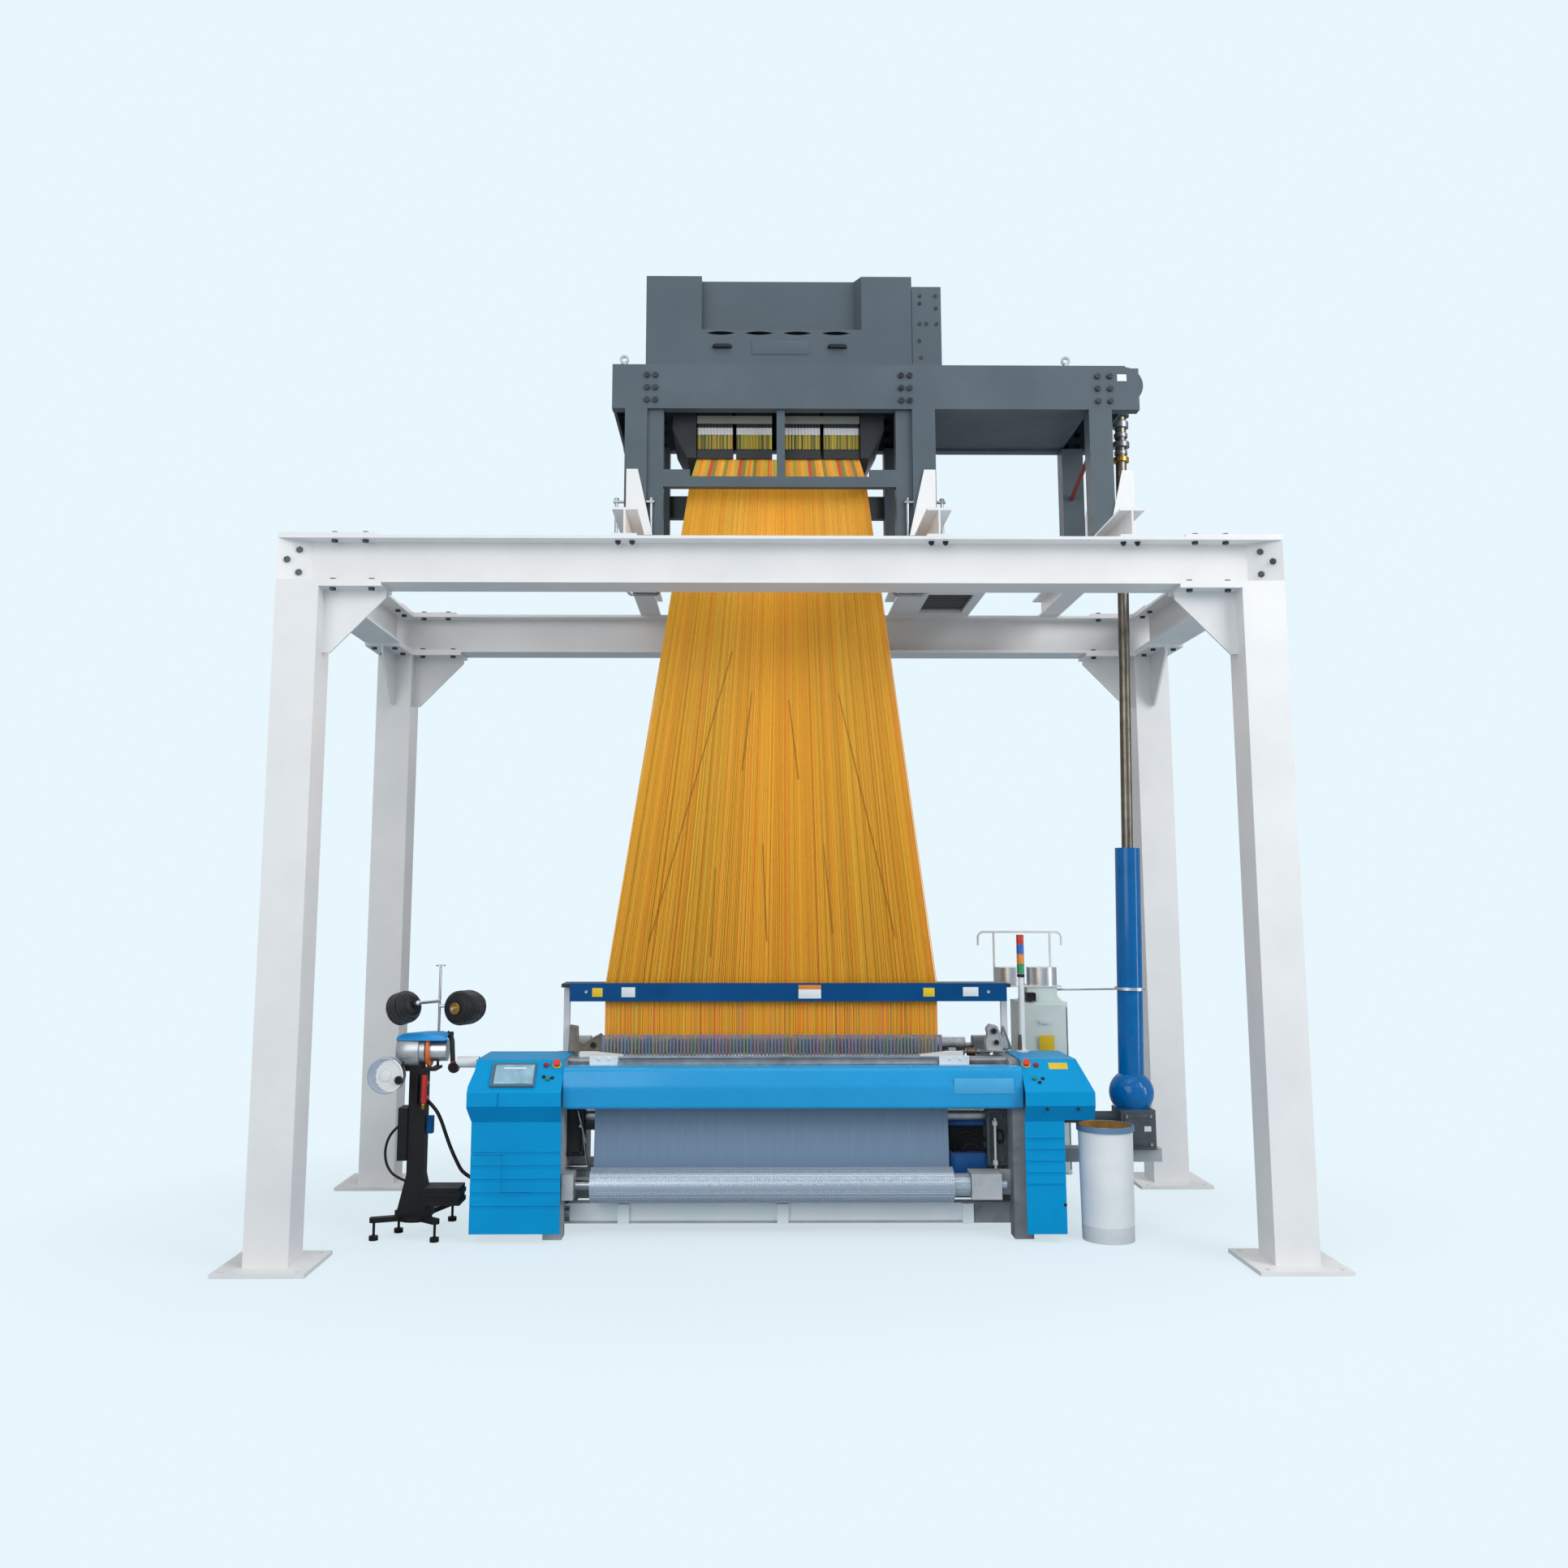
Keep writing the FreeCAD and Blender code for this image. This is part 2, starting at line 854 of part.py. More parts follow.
def cross_beam_of_gantry(sy):
    section = h_section(sy * column_y, beam_underside, beam_width, beam_height, beam_flange, beam_web)
    parts = [prism(section, "x", -gantry_width / 2, gantry_width / 2)]
    holes = []
    outer_y = sy * gantry_depth / 2
    web_y = sy * (column_y + beam_web / 2)
    slant = end_plate_thickness * math.hypot(end_plate_run, outer_y - web_y) / abs(outer_y - web_y)
    for sx in (-1, 1):
        end_x = sx * gantry_width / 2
        inner_x = end_x - sx * end_plate_run
        outline = [(end_x, outer_y, 0), (inner_x, web_y, 0), (inner_x + sx * slant, web_y, 0),
                   (end_x, outer_y - sy * abs(outer_y - web_y) * slant / end_plate_run, 0)]
        parts.append(prism(outline, "z", beam_underside + beam_flange, beam_top - beam_flange))
        holes += [seat_hole(seat) for seat in end_plate_seats(sx, sy)]
        holes += [seat_hole(seat) for seat in cap_bolt_seats(sx, sy)]
        holes += [seat_hole(seat) for seat in splice_bolt_seats(sx, sy)]
    return cut(fuse(parts), holes)


def side_beam_of_gantry(sx):
    section = h_section(sx * column_x, beam_underside, beam_width, beam_height, beam_flange, beam_web)
    end_y = gantry_depth / 2 - beam_width
    holes = []
    for sy in (-1, 1):
        holes += [seat_hole(seat) for seat in cap_bolt_seats(sx, sy)]
        holes += [seat_hole(seat) for seat in splice_bolt_seats(sx, sy)]
    return cut(prism(section, "y", -end_y, end_y), holes)


def corner_plate(sx, sy):
    x0 = sx * gantry_width / 2
    y0 = sy * gantry_depth / 2
    top = beam_top + splice_thickness
    plate = fuse([box(x0, x0 - sx * splice_length, y0, y0 - sy * beam_width, beam_top, top),
                  box(x0, x0 - sx * beam_width, y0, y0 - sy * splice_length, beam_top, top)])
    return cut(plate, [seat_hole(seat) for seat in splice_bolt_seats(sx, sy)])


def frame_bolts():
    seats = rail_bolt_seats(jacquard_front_y, 1) + rail_bolt_seats(jacquard_rear_y, -1)
    for sx, sy in corners():
        seats += cap_bolt_seats(sx, sy) + splice_bolt_seats(sx, sy) + end_plate_seats(sx, sy)
    return [bolt(seat) for seat in seats]


# ================================================================ bearers, grille and clamps

# outer_x is the bracket's upright edge and side points from it towards the slanted one.
def bearer(middle, outer_x, side):
    section = h_section(middle, beam_top, bearer_width, bearer_height, bearer_flange, bearer_web)
    beam = prism(section, "y", -gantry_depth / 2, gantry_depth / 2)
    outline = [(outer_x, bearer_top, 0), (outer_x + side * bracket_foot_width, bearer_top, 0),
               (outer_x + side * bracket_top_width, bearer_top + bracket_height, 0),
               (outer_x, bearer_top + bracket_height, 0)]
    front = prism(outline, "y", jacquard_front_y - bracket_thickness, jacquard_front_y)
    rear = prism(outline, "y", jacquard_rear_y, jacquard_rear_y + bracket_thickness)
    return fuse([beam, front, rear])


def bearer_grille():
    left = middle_bearer_x + bearer_width / 2
    right = left + grille_width
    rear = gantry_depth / 2
    back = grille_front_y + grille_depth
    top = beam_top + grille_height
    window_left = left + grille_frame
    window_right = right - grille_frame
    window_front = grille_front_y + grille_frame
    window_back = back - grille_frame
    frame = box(left, right, grille_front_y, rear, beam_top, top)
    frame = frame.cut(box(window_left, window_right, window_front, window_back, beam_top - 1, top + 1))
    pitch = (window_back - window_front) / grille_slat_count
    slats = []
    for i in range(grille_slat_count):
        y = window_front + pitch * (i + 0.5)
        slat = box(window_left - grille_slat_lap, window_right + grille_slat_lap, -pitch * grille_slat_share,
                   pitch * grille_slat_share, -grille_slat_thickness / 2, grille_slat_thickness / 2)
        slat.rotate(V(0, 0, 0), V(1, 0, 0), grille_slat_tilt)
        slat.translate(V(0, y, beam_top + grille_height / 2))
        slats.append(slat)
    rod_y = jacquard_rear_y - inner_post_recess + clamp_rod_radius + clamp_post_gap
    reach = clamp_rod_radius + clamp_hole_gap
    rod_notch = box(left - 1, middle_bearer_x + clamp_half_width + reach, rod_y - reach, rod_y + reach,
                    beam_top - 1, top + 1)
    return fuse([frame] + slats).cut(rod_notch)


# A U-bolt under a bearer, hung from ears on the sides of the post above it.
def hold_down_clamp(middle, edge_left, edge_right, y):
    ear_bottom = bearer_top + clamp_ear_height
    ear_top = ear_bottom + clamp_ear_thickness
    rod = clamp_rod_radius
    low = beam_top - rod - soft_clearance
    left = middle - clamp_half_width
    right = middle + clamp_half_width
    path = corner_wire([(left, ear_top + 2 * rod, 0), (left, low, clamp_corner_radius),
                        (right, low, clamp_corner_radius), (right, ear_top + 2 * rod, 0)], "y", y, False)
    ring = Part.Wire([Part.makeCircle(rod, V(left, y, ear_top + 2 * rod), V(0, 0, -1))])
    parts = [path.makePipeShell([ring], True, False)]
    depth = rod + clamp_post_gap - 1
    parts.append(box(left - 2 * rod, edge_left, y - depth, y + depth, ear_bottom, ear_top))
    parts.append(box(edge_right, right + 2 * rod, y - depth, y + depth, ear_bottom, ear_top))
    for x in (left, right):
        parts.append(hexagon(V(x, y, ear_top), V(0, 0, 1), clamp_nut_radius, bolt_head_height))
    return fuse(parts)


def hold_down_clamps():
    front_y = jacquard_front_y + inner_post_recess - clamp_rod_radius - clamp_post_gap
    rear_y = jacquard_rear_y - inner_post_recess + clamp_rod_radius + clamp_post_gap
    return [hold_down_clamp(bearer_x, post_x, post_x + width, y)
            for bearer_x, post_x, width in ((left_bearer_x, left_post_x, left_post_width),
                                            (middle_bearer_x, middle_post_x, middle_post_width))
            for y in (front_y, rear_y)]


# ================================================================ jacquard frame

# Seats on the outer faces of both rails, in three rows at each post.
def rail_bolt_seats(web_y, inward):
    seats = []
    rows = (rail_bottom + rail_bolt_edge, rail_bottom + rail_height / 2, rail_top - rail_bolt_edge)
    columns = (rail_bolt_left_x, rail_bolt_left_x + rail_bolt_pitch, rail_bolt_middle_x,
               rail_bolt_middle_x + rail_bolt_pitch, rail_bolt_right_x,
               rail_bolt_right_x + rail_bolt_right_pitch)
    for x in columns:
        for z in rows:
            seats.append((V(x, web_y, z), V(0, -inward, 0), rail_plate))
    return seats


def rail(web_y, inward):
    top = rail_top
    bottom = rail_bottom
    deep = web_y + inward * rail_flange_depth
    web = web_y + inward * rail_plate
    section = [(web_y, bottom, 0), (deep, bottom, 0), (deep, bottom + rail_plate, 0),
               (web, bottom + rail_plate, 0), (web, top - rail_plate, 0), (deep, top - rail_plate, 0),
               (deep, top, 0), (web_y, top, 0)]
    return cut(prism(section, "x", rail_left_x, rail_right_x),
               [seat_hole(seat) for seat in rail_bolt_seats(web_y, inward)])


def square_post(x0, x1, y0, y1):
    outer = box(x0, x1, y0, y1, bearer_top, rail_bottom)
    wall = column_wall
    return outer.cut(box(x0 + wall, x1 - wall, y0 + wall, y1 - wall, bearer_top - 1, rail_bottom + 1))


def posts():
    solids = []
    for front in (True, False):
        y0 = jacquard_front_y if front else jacquard_rear_y - post_depth
        y1 = y0 + post_depth
        near = inner_post_recess if front else 0
        far = 0 if front else inner_post_recess
        left_edge = left_post_x + left_post_width
        solids.append(fuse([square_post(left_post_x, left_edge, y0, y1),
                            square_post(left_edge, left_edge + inner_post_width, y0 + near, y1 - far)]))
        solids.append(fuse([square_post(middle_post_x, middle_post_x + middle_post_width, y0, y1),
                            square_post(middle_post_x - inner_post_width, middle_post_x,
                                        y0 + near, y1 - far)]))
        solids.append(square_post(right_post_x, right_post_x + right_post_width, y0, y1))
    return solids


def ties():
    left = left_post_x + left_post_width + inner_post_width
    right = middle_post_x - inner_post_width
    y0 = jacquard_front_y + inner_post_recess
    top = tie_bottom + tie_height
    ear_top = tie_bottom + tie_ear_height
    front = fuse([box(left, right, y0, y0 + tie_depth, tie_bottom, top),
                  box(left, left + tie_ear_width, y0, y0 + tie_depth, tie_bottom, ear_top),
                  box(right - tie_ear_width, right, y0, y0 + tie_depth, tie_bottom, ear_top)])
    rear_y = jacquard_rear_y - inner_post_recess
    rear = box(left, right, rear_y - tie_depth, rear_y, rear_tie_bottom, rear_tie_bottom + rear_tie_height)
    half = centre_post_width / 2
    strap = box(centre_post_x - half, centre_post_x + half, y0, y0 + rail_plate, top, rail_bottom)
    return [front, rear, strap]


def guide_spots():
    x = griffe_half_width + griffe_bar / 2 - griffe_bar_lap
    y = (knife_count / 2) * knife_pitch + knife_pitch
    return [(sx * x, jacquard_centre_y + sy * y) for sx, sy in corners()]


def cross_members():
    front = jacquard_front_y + rail_plate
    rear = jacquard_rear_y - rail_plate
    low = rail_bottom + rail_plate
    high = rail_top - rail_plate
    middle = middle_post_x + middle_post_width / 2
    right = right_post_x
    last = head_gearbox_left_x - cross_member_thickness
    solids = []
    for x in (rail_left_x, middle, right, last):
        solids.append(box(x, x + cross_member_thickness, front, rear, low, high))
    solids.append(box(middle + cross_member_thickness, right, front, rear, low, low + rail_plate))
    plate = box(rail_left_x, head_gearbox_left_x, jacquard_front_y, jacquard_rear_y,
                rail_top, machine_plate_top)
    half_depth = hook_field_depth / 2 - plate_window_lap
    plate = plate.cut(box(-hook_half_width() + plate_window_lap, hook_half_width() - plate_window_lap,
                          jacquard_centre_y - half_depth, jacquard_centre_y + half_depth,
                          rail_top - 1, machine_plate_top + 1))
    rods = [cylinder_z(machine_plate_top, machine_plate_top + hood_height - 2 * hood_wall - guide_headroom,
                       x, y, guide_radius) for x, y in guide_spots()]
    solids.append(fuse([plate] + rods))
    return solids


# ================================================================ jacquard machine

def hook_half_width():
    return 2 * hook_module_width + hook_module_gap + hook_group_gap / 2


# A rectangle whose front and rear edges run in small V ridges.
def ridged_outline(x0, x1, y0, y1, ridges, depth, z):
    pitch = (x1 - x0) / ridges
    spots = []
    for i in range(ridges):
        spots.append(V(x0 + pitch * i, y0 + depth, z))
        spots.append(V(x0 + pitch * (i + 0.5), y0, z))
    spots.append(V(x1, y0 + depth, z))
    for i in range(ridges):
        spots.append(V(x1 - pitch * i, y1 - depth, z))
        spots.append(V(x1 - pitch * (i + 0.5), y1, z))
    spots.append(V(x0, y1 - depth, z))
    spots.append(spots[0])
    return Part.makePolygon(spots)


def hook_modules():
    front = jacquard_centre_y - hook_field_depth / 2
    rear = jacquard_centre_y + hook_field_depth / 2
    starts = [-hook_half_width(), -hook_half_width() + hook_module_width + hook_module_gap,
              hook_group_gap / 2, hook_group_gap / 2 + hook_module_width + hook_module_gap]
    comb_bottom = hook_module_bottom + hook_bar_height
    comb_top = comb_bottom + hook_comb_height
    inset = hook_comb_side_inset
    solids = []
    for x in starts:
        outline = ridged_outline(x + inset, x + hook_module_width - inset, front + hook_comb_front_inset,
                                 rear - hook_comb_front_inset, hook_comb_ridge_count,
                                 hook_comb_ridge_depth, comb_bottom)
        comb = Part.Face(outline).extrude(V(0, 0, comb_top - comb_bottom))
        bar = box(x, x + hook_module_width, front, rear, hook_module_bottom, comb_bottom)
        cap = box(x, x + hook_module_width, front, rear, comb_top, rail_top)
        solids.append(fuse([bar, comb, cap]))
    return solids


def lift_housing():
    solids = []
    inner = hook_half_width() + lift_gap
    for side in (-1, 1):
        outline = [(side * inner, lift_bottom, 0), (side * (inner + lift_foot_width), lift_bottom, 0),
                   (side * (inner + lift_slope_width), lift_bottom + lift_slope_height, 0),
                   (side * (inner + lift_slope_width), rail_top, 0), (side * inner, rail_top, 0)]
        solids.append(prism(outline, "y", jacquard_centre_y - hook_field_depth / 2 - lift_margin,
                            jacquard_centre_y + hook_field_depth / 2 + lift_margin))
    return solids


def lens(x, z, half_length, half_height, y0, y1):
    left = V(x - half_length, y0, z)
    right = V(x + half_length, y0, z)
    upper = Part.Arc(left, V(x, y0, z + half_height), right).toShape()
    lower = Part.Arc(right, V(x, y0, z - half_height), left).toShape()
    return Part.Face(Part.Wire([upper, lower])).extrude(V(0, y1 - y0, 0))


def bay_block(grow, top):
    front = jacquard_front_y
    back = front + bay_recess + grow
    outline = [(bay_left_x - grow, front - 1, 0), (bay_right_x + grow, front - 1, 0),
               (bay_right_x - bay_side_slope + grow, back, 0), (bay_left_x - grow, back, 0)]
    return prism(outline, "z", bay_bottom - grow, top)


def jacquard_hood():
    base = machine_plate_top
    top = base + hood_height
    side_top = base + side_box_height
    wall = hood_wall
    side_right = hood_right_x + side_box_width
    outer = fuse([box(hood_left_x, hood_right_x, jacquard_front_y, jacquard_rear_y, base, top),
                  box(hood_right_x, side_right, jacquard_front_y, jacquard_rear_y, base, side_top)])
    outer = outer.cut(bay_block(0, top + 1))
    inner = fuse([box(hood_left_x + wall, hood_right_x - wall, jacquard_front_y + wall,
                      jacquard_rear_y - wall, base - 1, top - wall),
                  box(hood_right_x - 2 * wall, side_right - wall, jacquard_front_y + wall,
                      jacquard_rear_y - wall, base - 1, side_top - wall)])
    inner = inner.cut(bay_block(wall, top + 1))
    shell = outer.cut(inner)
    pitch = (bay_right_x - bay_side_slope - bay_left_x) / vent_count
    vents = [lens(bay_left_x + pitch * (i + 0.5), bay_bottom - 2 * vent_half_height, vent_half_length,
                  vent_half_height, jacquard_front_y - 1, jacquard_front_y + wall + 1)
             for i in range(vent_count)]
    return shell.cut(vents)


def pull_handle(x):
    front = jacquard_front_y - handle_reach
    outline = [(x - handle_half_length, jacquard_front_y, 0),
               (x - handle_half_length + handle_taper, front, handle_round),
               (x + handle_half_length - handle_taper, front, handle_round),
               (x + handle_half_length, jacquard_front_y, 0)]
    return prism(outline, "z", handle_z - handle_half_height, handle_z + handle_half_height)


def lifting_eye(x):
    y = jacquard_front_y + lifting_eye_setback
    half = lifting_eye_thickness / 2
    foot_top = machine_plate_top + lifting_eye_foot_height
    centre_z = foot_top + lifting_eye_radius
    disc = cylinder_y(y - half, y + half, x, centre_z, lifting_eye_radius)
    neck = box(x - lifting_eye_neck_half, x + lifting_eye_neck_half, y - half, y + half,
               machine_plate_top, centre_z)
    foot = cylinder_z(machine_plate_top, foot_top, x, y, lifting_eye_foot_radius)
    return fuse([disc, neck, foot]).cut(cylinder_y(y - half - 1, y + half + 1, x, centre_z,
                                                   lifting_eye_radius / 2))


# Knives along X hung from (or standing on) two side bars that slide on the guide rods.
def griffe(knife_z, bar_side, knife_shift):
    reach = griffe_half_width + griffe_bar - griffe_bar_lap
    inner = griffe_half_width - griffe_bar_lap
    bar_z = knife_z + bar_side * hanger_height
    bar_top = bar_z + griffe_bar_thickness
    bar_half = (knife_count / 2) * knife_pitch + knife_pitch + griffe_bar_margin
    first = jacquard_centre_y - (knife_count - 1) / 2 * knife_pitch + knife_shift
    parts = []
    for side in (-1, 1):
        parts.append(box(side * inner, side * reach, jacquard_centre_y - bar_half,
                         jacquard_centre_y + bar_half, bar_z, bar_top))
    for i in range(knife_count):
        y = first + i * knife_pitch
        parts.append(box(-reach, reach, y, y + knife_thickness, knife_z, knife_z + knife_height))
        for side in (-1, 1):
            parts.append(box(side * inner, side * reach, y, y + knife_thickness,
                             min(knife_z, bar_z), max(knife_z + knife_height, bar_top)))
    frame = fuse(parts)
    return frame.cut([cylinder_z(bar_z - 1, bar_top + 1, x, y, guide_radius + guide_clearance)
                      for x, y in guide_spots()])


# ================================================================ harness

def harness_cords():
    front = jacquard_centre_y - hook_field_depth / 2 + harness_inset
    rear = jacquard_centre_y + hook_field_depth / 2 - harness_inset
    depth = harness_ridge_depth
    top = ridged_outline(-harness_top_half, harness_top_half, front, rear, harness_ridge_count, depth,
                         hook_module_bottom - soft_clearance)
    neck = ridged_outline(-harness_neck_half, harness_neck_half, front, rear, harness_ridge_count, depth,
                          harness_neck_z)
    low = ridged_outline(loom_centre_x - comber_half_width, loom_centre_x + comber_half_width,
                         comber_front_y, comber_rear_y, harness_ridge_count, depth,
                         comber_top + soft_clearance)
    return Part.makeLoft([top, neck, low], True, True)


def frame_middle_x(left):
    if left:
        return frame_left_inner_x - frame_thickness / 2
    return frame_right_inner_x + frame_thickness / 2


def comber_board():
    half = comber_post_size / 2
    left = frame_middle_x(True)
    right = frame_middle_x(False)
    front_y = comber_front_y - comber_frame_margin
    rear_y = comber_rear_y + comber_frame_margin
    post_front = cover_rear_y + comber_post_inset
    solids = [box(left - half, right + half, front_y, rear_y, comber_bottom, comber_top)]
    for x in (left, right):
        solids.append(box(x - half, x + half, post_front, post_front + comber_post_size,
                          frame_top, comber_bottom))
    return solids


def comber_guard():
    return box(guard_left_x, guard_right_x, guard_rear_y - guard_thickness, guard_rear_y,
               guard_top - guard_height, guard_top)


def heddle_block(bottom, top):
    face = Part.Face(ridged_outline(loom_centre_x - comber_half_width, loom_centre_x + comber_half_width,
                                    comber_front_y, comber_rear_y, harness_ridge_count, harness_ridge_depth,
                                    bottom))
    return face.extrude(V(0, 0, top - bottom))


def heddles():
    return heddle_block(warp_line + cloth_thickness / 2 + soft_clearance, comber_bottom - soft_clearance)


def return_springs():
    bar = box(frame_left_inner_x, frame_right_inner_x, comber_front_y - spring_bar_overhang,
              comber_rear_y + spring_bar_overhang, spring_bar_top - spring_bar_height, spring_bar_top)
    block = heddle_block(spring_bar_top + soft_clearance,
                         warp_line - cloth_thickness / 2 - soft_clearance)
    return [block, bar]


# ================================================================ loom frame

def side_frame(x0, x1):
    arm_top = back_rest_z + back_rest_arm_half
    arm_front = back_rest_y - back_rest_arm_half
    arm_round = frame_arm_round
    outline = [(frame_front_y, frame_bottom, 0), (frame_front_y, frame_chamfer_z, frame_chamfer_round),
               (frame_chamfer_y, frame_top, frame_chamfer_round),
               (frame_shoulder_y, frame_top, frame_shoulder_round),
               (frame_waist_y, frame_waist_z, frame_waist_round), (arm_front, frame_waist_z, arm_round),
               (arm_front, arm_top, arm_round), (frame_rear_y, arm_top, arm_round),
               (frame_rear_y, frame_bottom, 0)]
    plate = prism(outline, "x", x0, x1)
    feet = [box(x0, x1, frame_front_y, frame_front_y + foot_size, 0, frame_bottom),
            box(x0, x1, frame_rear_y - foot_size, frame_rear_y, 0, frame_bottom)]
    window_round = frame_window_round
    window = prism([(frame_window_front_y, frame_window_bottom, window_round),
                    (frame_window_rear_y, frame_window_bottom, window_round),
                    (frame_window_rear_y, frame_window_top, window_round),
                    (frame_window_front_y, frame_window_top, window_round)], "x", x0 - 1, x1 + 1)
    bores = [(take_up_y, take_up_z, roller_shaft_radius), (press_y, take_up_z, roller_shaft_radius),
             (rocker_y, rocker_z, rocker_radius), (back_rest_y, back_rest_z, roller_shaft_radius),
             (warp_beam_y, warp_beam_z, warp_shaft_radius)]
    tools = [cylinder_x(x0 - 1, x1 + 1, y, z, radius + running_clearance) for y, z, radius in bores]
    return cut(fuse([plate] + feet), tools + [window])


def side_frames():
    return [side_frame(frame_left_inner_x - frame_thickness, frame_left_inner_x),
            side_frame(frame_right_inner_x, frame_right_inner_x + frame_thickness)]


def hollow_beam(y0, depth, z0, height):
    outer = box(frame_left_inner_x, frame_right_inner_x, y0, y0 + depth, z0, z0 + height)
    return outer.cut(box(frame_left_inner_x - 1, frame_right_inner_x + 1, y0 + beam_plate,
                         y0 + depth - beam_plate, z0 + beam_plate, z0 + height - beam_plate))


def cross_beams():
    front = [hollow_beam(front_beam_y, front_beam_depth, front_beam_bottom, front_beam_height)]
    for x in (rib_left_x, rib_middle_x, rib_right_x):
        front.append(box(x, x + rib_thickness, front_beam_y - rib_depth, front_beam_y,
                         front_beam_bottom, front_beam_bottom + front_beam_height))
    return [fuse(front), hollow_beam(rear_beam_y, rear_beam_depth, rear_beam_bottom, rear_beam_height)]


def breast_beam():
    rear = breast_bar_front_y + breast_bar_depth
    bottom = breast_bar_top - breast_bar_height
    bar = prism([(breast_bar_front_y, bottom, 0), (breast_bar_front_y, breast_bar_top, breast_nose_radius),
                 (rear, breast_bar_top, 0), (rear, bottom, 0)], "x",
                frame_left_inner_x, frame_right_inner_x)
    arm_top = breast_cover_top - breast_cover_wall
    arms = [box(x, x + breast_arm_width, breast_bar_front_y - breast_arm_reach, breast_bar_front_y + 1,
                bottom, arm_top)
            for x in (frame_left_inner_x, frame_right_inner_x - breast_arm_width)]
    return fuse([bar] + arms)


def breast_cover():
    front = breast_cover_front_y
    bottom = breast_cover_bottom
    path = [(breast_bar_front_y - breast_arm_reach + breast_cover_seat, breast_cover_top, 0),
            (front + breast_cover_crown_depth, breast_cover_top, breast_cover_crown_round),
            (front, breast_cover_top - breast_cover_crown_drop, breast_cover_front_round),
            (front + breast_cover_tuck, bottom, breast_cover_foot_round),
            (front + breast_cover_lip, bottom, 0)]
    return bent_sheet(path, -breast_cover_wall, breast_cover_left_x, breast_cover_right_x)


def temples():
    rear = breast_bar_front_y + breast_bar_depth + temple_rear_overhang
    front = breast_bar_front_y + temple_front_setback
    gap = cloth_thickness / 2 + soft_clearance
    low = warp_line + gap
    high = low + temple_plate_height
    solids = []
    for side, edge in ((-1, cloth_left_x), (1, cloth_right_x)):
        start = edge + side * roll_margin
        block = box(start, start + side * temple_width, front, rear, breast_bar_top, high)
        plate = prism([(start, low, 0), (start - side * temple_plate_length, low, 0),
                       (start - side * temple_plate_length, low + temple_plate_height / 3, 0),
                       (start, high, 0)], "y", front, rear)
        solids.append(fuse([block, plate]))
    return solids


# ================================================================ rollers, roll and cloth

def roller(y, z, radius, shaft_radius, x0, x1, shaft_x0, shaft_x1):
    return fuse([cylinder_x(x0, x1, y, z, radius), cylinder_x(shaft_x0, shaft_x1, y, z, shaft_radius)])


def framed_roller(y, z, radius, shaft_radius):
    return roller(y, z, radius, shaft_radius, frame_left_inner_x + frame_thickness / 2,
                  frame_right_inner_x - frame_thickness / 2, frame_left_inner_x - frame_thickness,
                  frame_right_inner_x + frame_thickness)


def cloth_roll():
    body = cylinder_x(cloth_left_x - roll_margin, cloth_right_x + roll_margin, roll_y, roll_z, roll_radius)
    core = cylinder_x(cloth_right_x, cloth_right_x + roll_core_length - roll_margin, roll_y, roll_z,
                      roll_core_radius)
    right_end = cloth_right_x + roll_core_length + roll_right_block_width + roll_shaft_overhang
    shaft = cylinder_x(frame_left_inner_x + roll_shaft_end_gap, right_end, roll_y, roll_z, roll_shaft_radius)
    return fuse([body, core, shaft])


def roll_bearings():
    half = roll_block_height / 2
    front = roll_y - roll_block_depth / 2
    rear = roll_y + roll_block_depth / 2
    right_x = cloth_right_x + roll_core_length
    left = box(frame_left_inner_x, frame_left_inner_x + roll_left_block_width, front, rear,
               roll_z - half, roll_z + half)
    right = fuse([box(right_x, right_x + roll_right_block_width, front, rear, roll_z - half, roll_z + half),
                  box(right_x, frame_right_inner_x, rear, rear + roll_block_plate,
                      roll_z - half, roll_z + half)])
    bore = cylinder_x(frame_left_inner_x - 1, frame_right_inner_x + 1, roll_y, roll_z,
                      roll_shaft_radius + running_clearance)
    return [left.cut(bore), right.cut(bore)]


def cloth():
    upper = warp_line + cloth_thickness / 2
    lower = warp_line - cloth_thickness / 2
    inner = breast_nose_radius + soft_clearance
    outer = inner + cloth_thickness
    return prism([(cloth_fell_y, upper, 0), (cloth_front_y, upper, outer), (cloth_front_y, roll_z, 0),
                  (cloth_back_y, roll_z, 0), (cloth_back_y, lower, inner), (cloth_fell_y, lower, 0)],
                 "x", cloth_left_x, cloth_right_x)


def dent_pitch():
    return (reed_right_x - reed_left_x - 2 * reed_edge) / dent_count


def dent_centres():
    first = reed_left_x + reed_edge + dent_pitch() / 2
    return [first + i * dent_pitch() for i in range(dent_count)]


def warp_sheet():
    upper = warp_line + cloth_thickness / 2
    lower = warp_line - cloth_thickness / 2
    inner = back_rest_radius + soft_clearance
    outer = inner + cloth_thickness
    back = warp_rear_y + cloth_thickness
    left = reed_left_x + reed_edge
    right = reed_right_x - reed_edge
    sheet = prism([(warp_full_sheet_y, upper, 0), (back, upper, outer), (back, warp_beam_z, 0),
                   (warp_rear_y, warp_beam_z, 0), (warp_rear_y, lower, inner),
                   (warp_full_sheet_y, lower, 0)], "x", left, right)
    start = cloth_fell_y + soft_clearance
    ends = [box(x - warp_end_width / 2, x + warp_end_width / 2, start, warp_full_sheet_y + 1, lower, upper)
            for x in dent_centres()]
    return fuse([sheet] + ends)


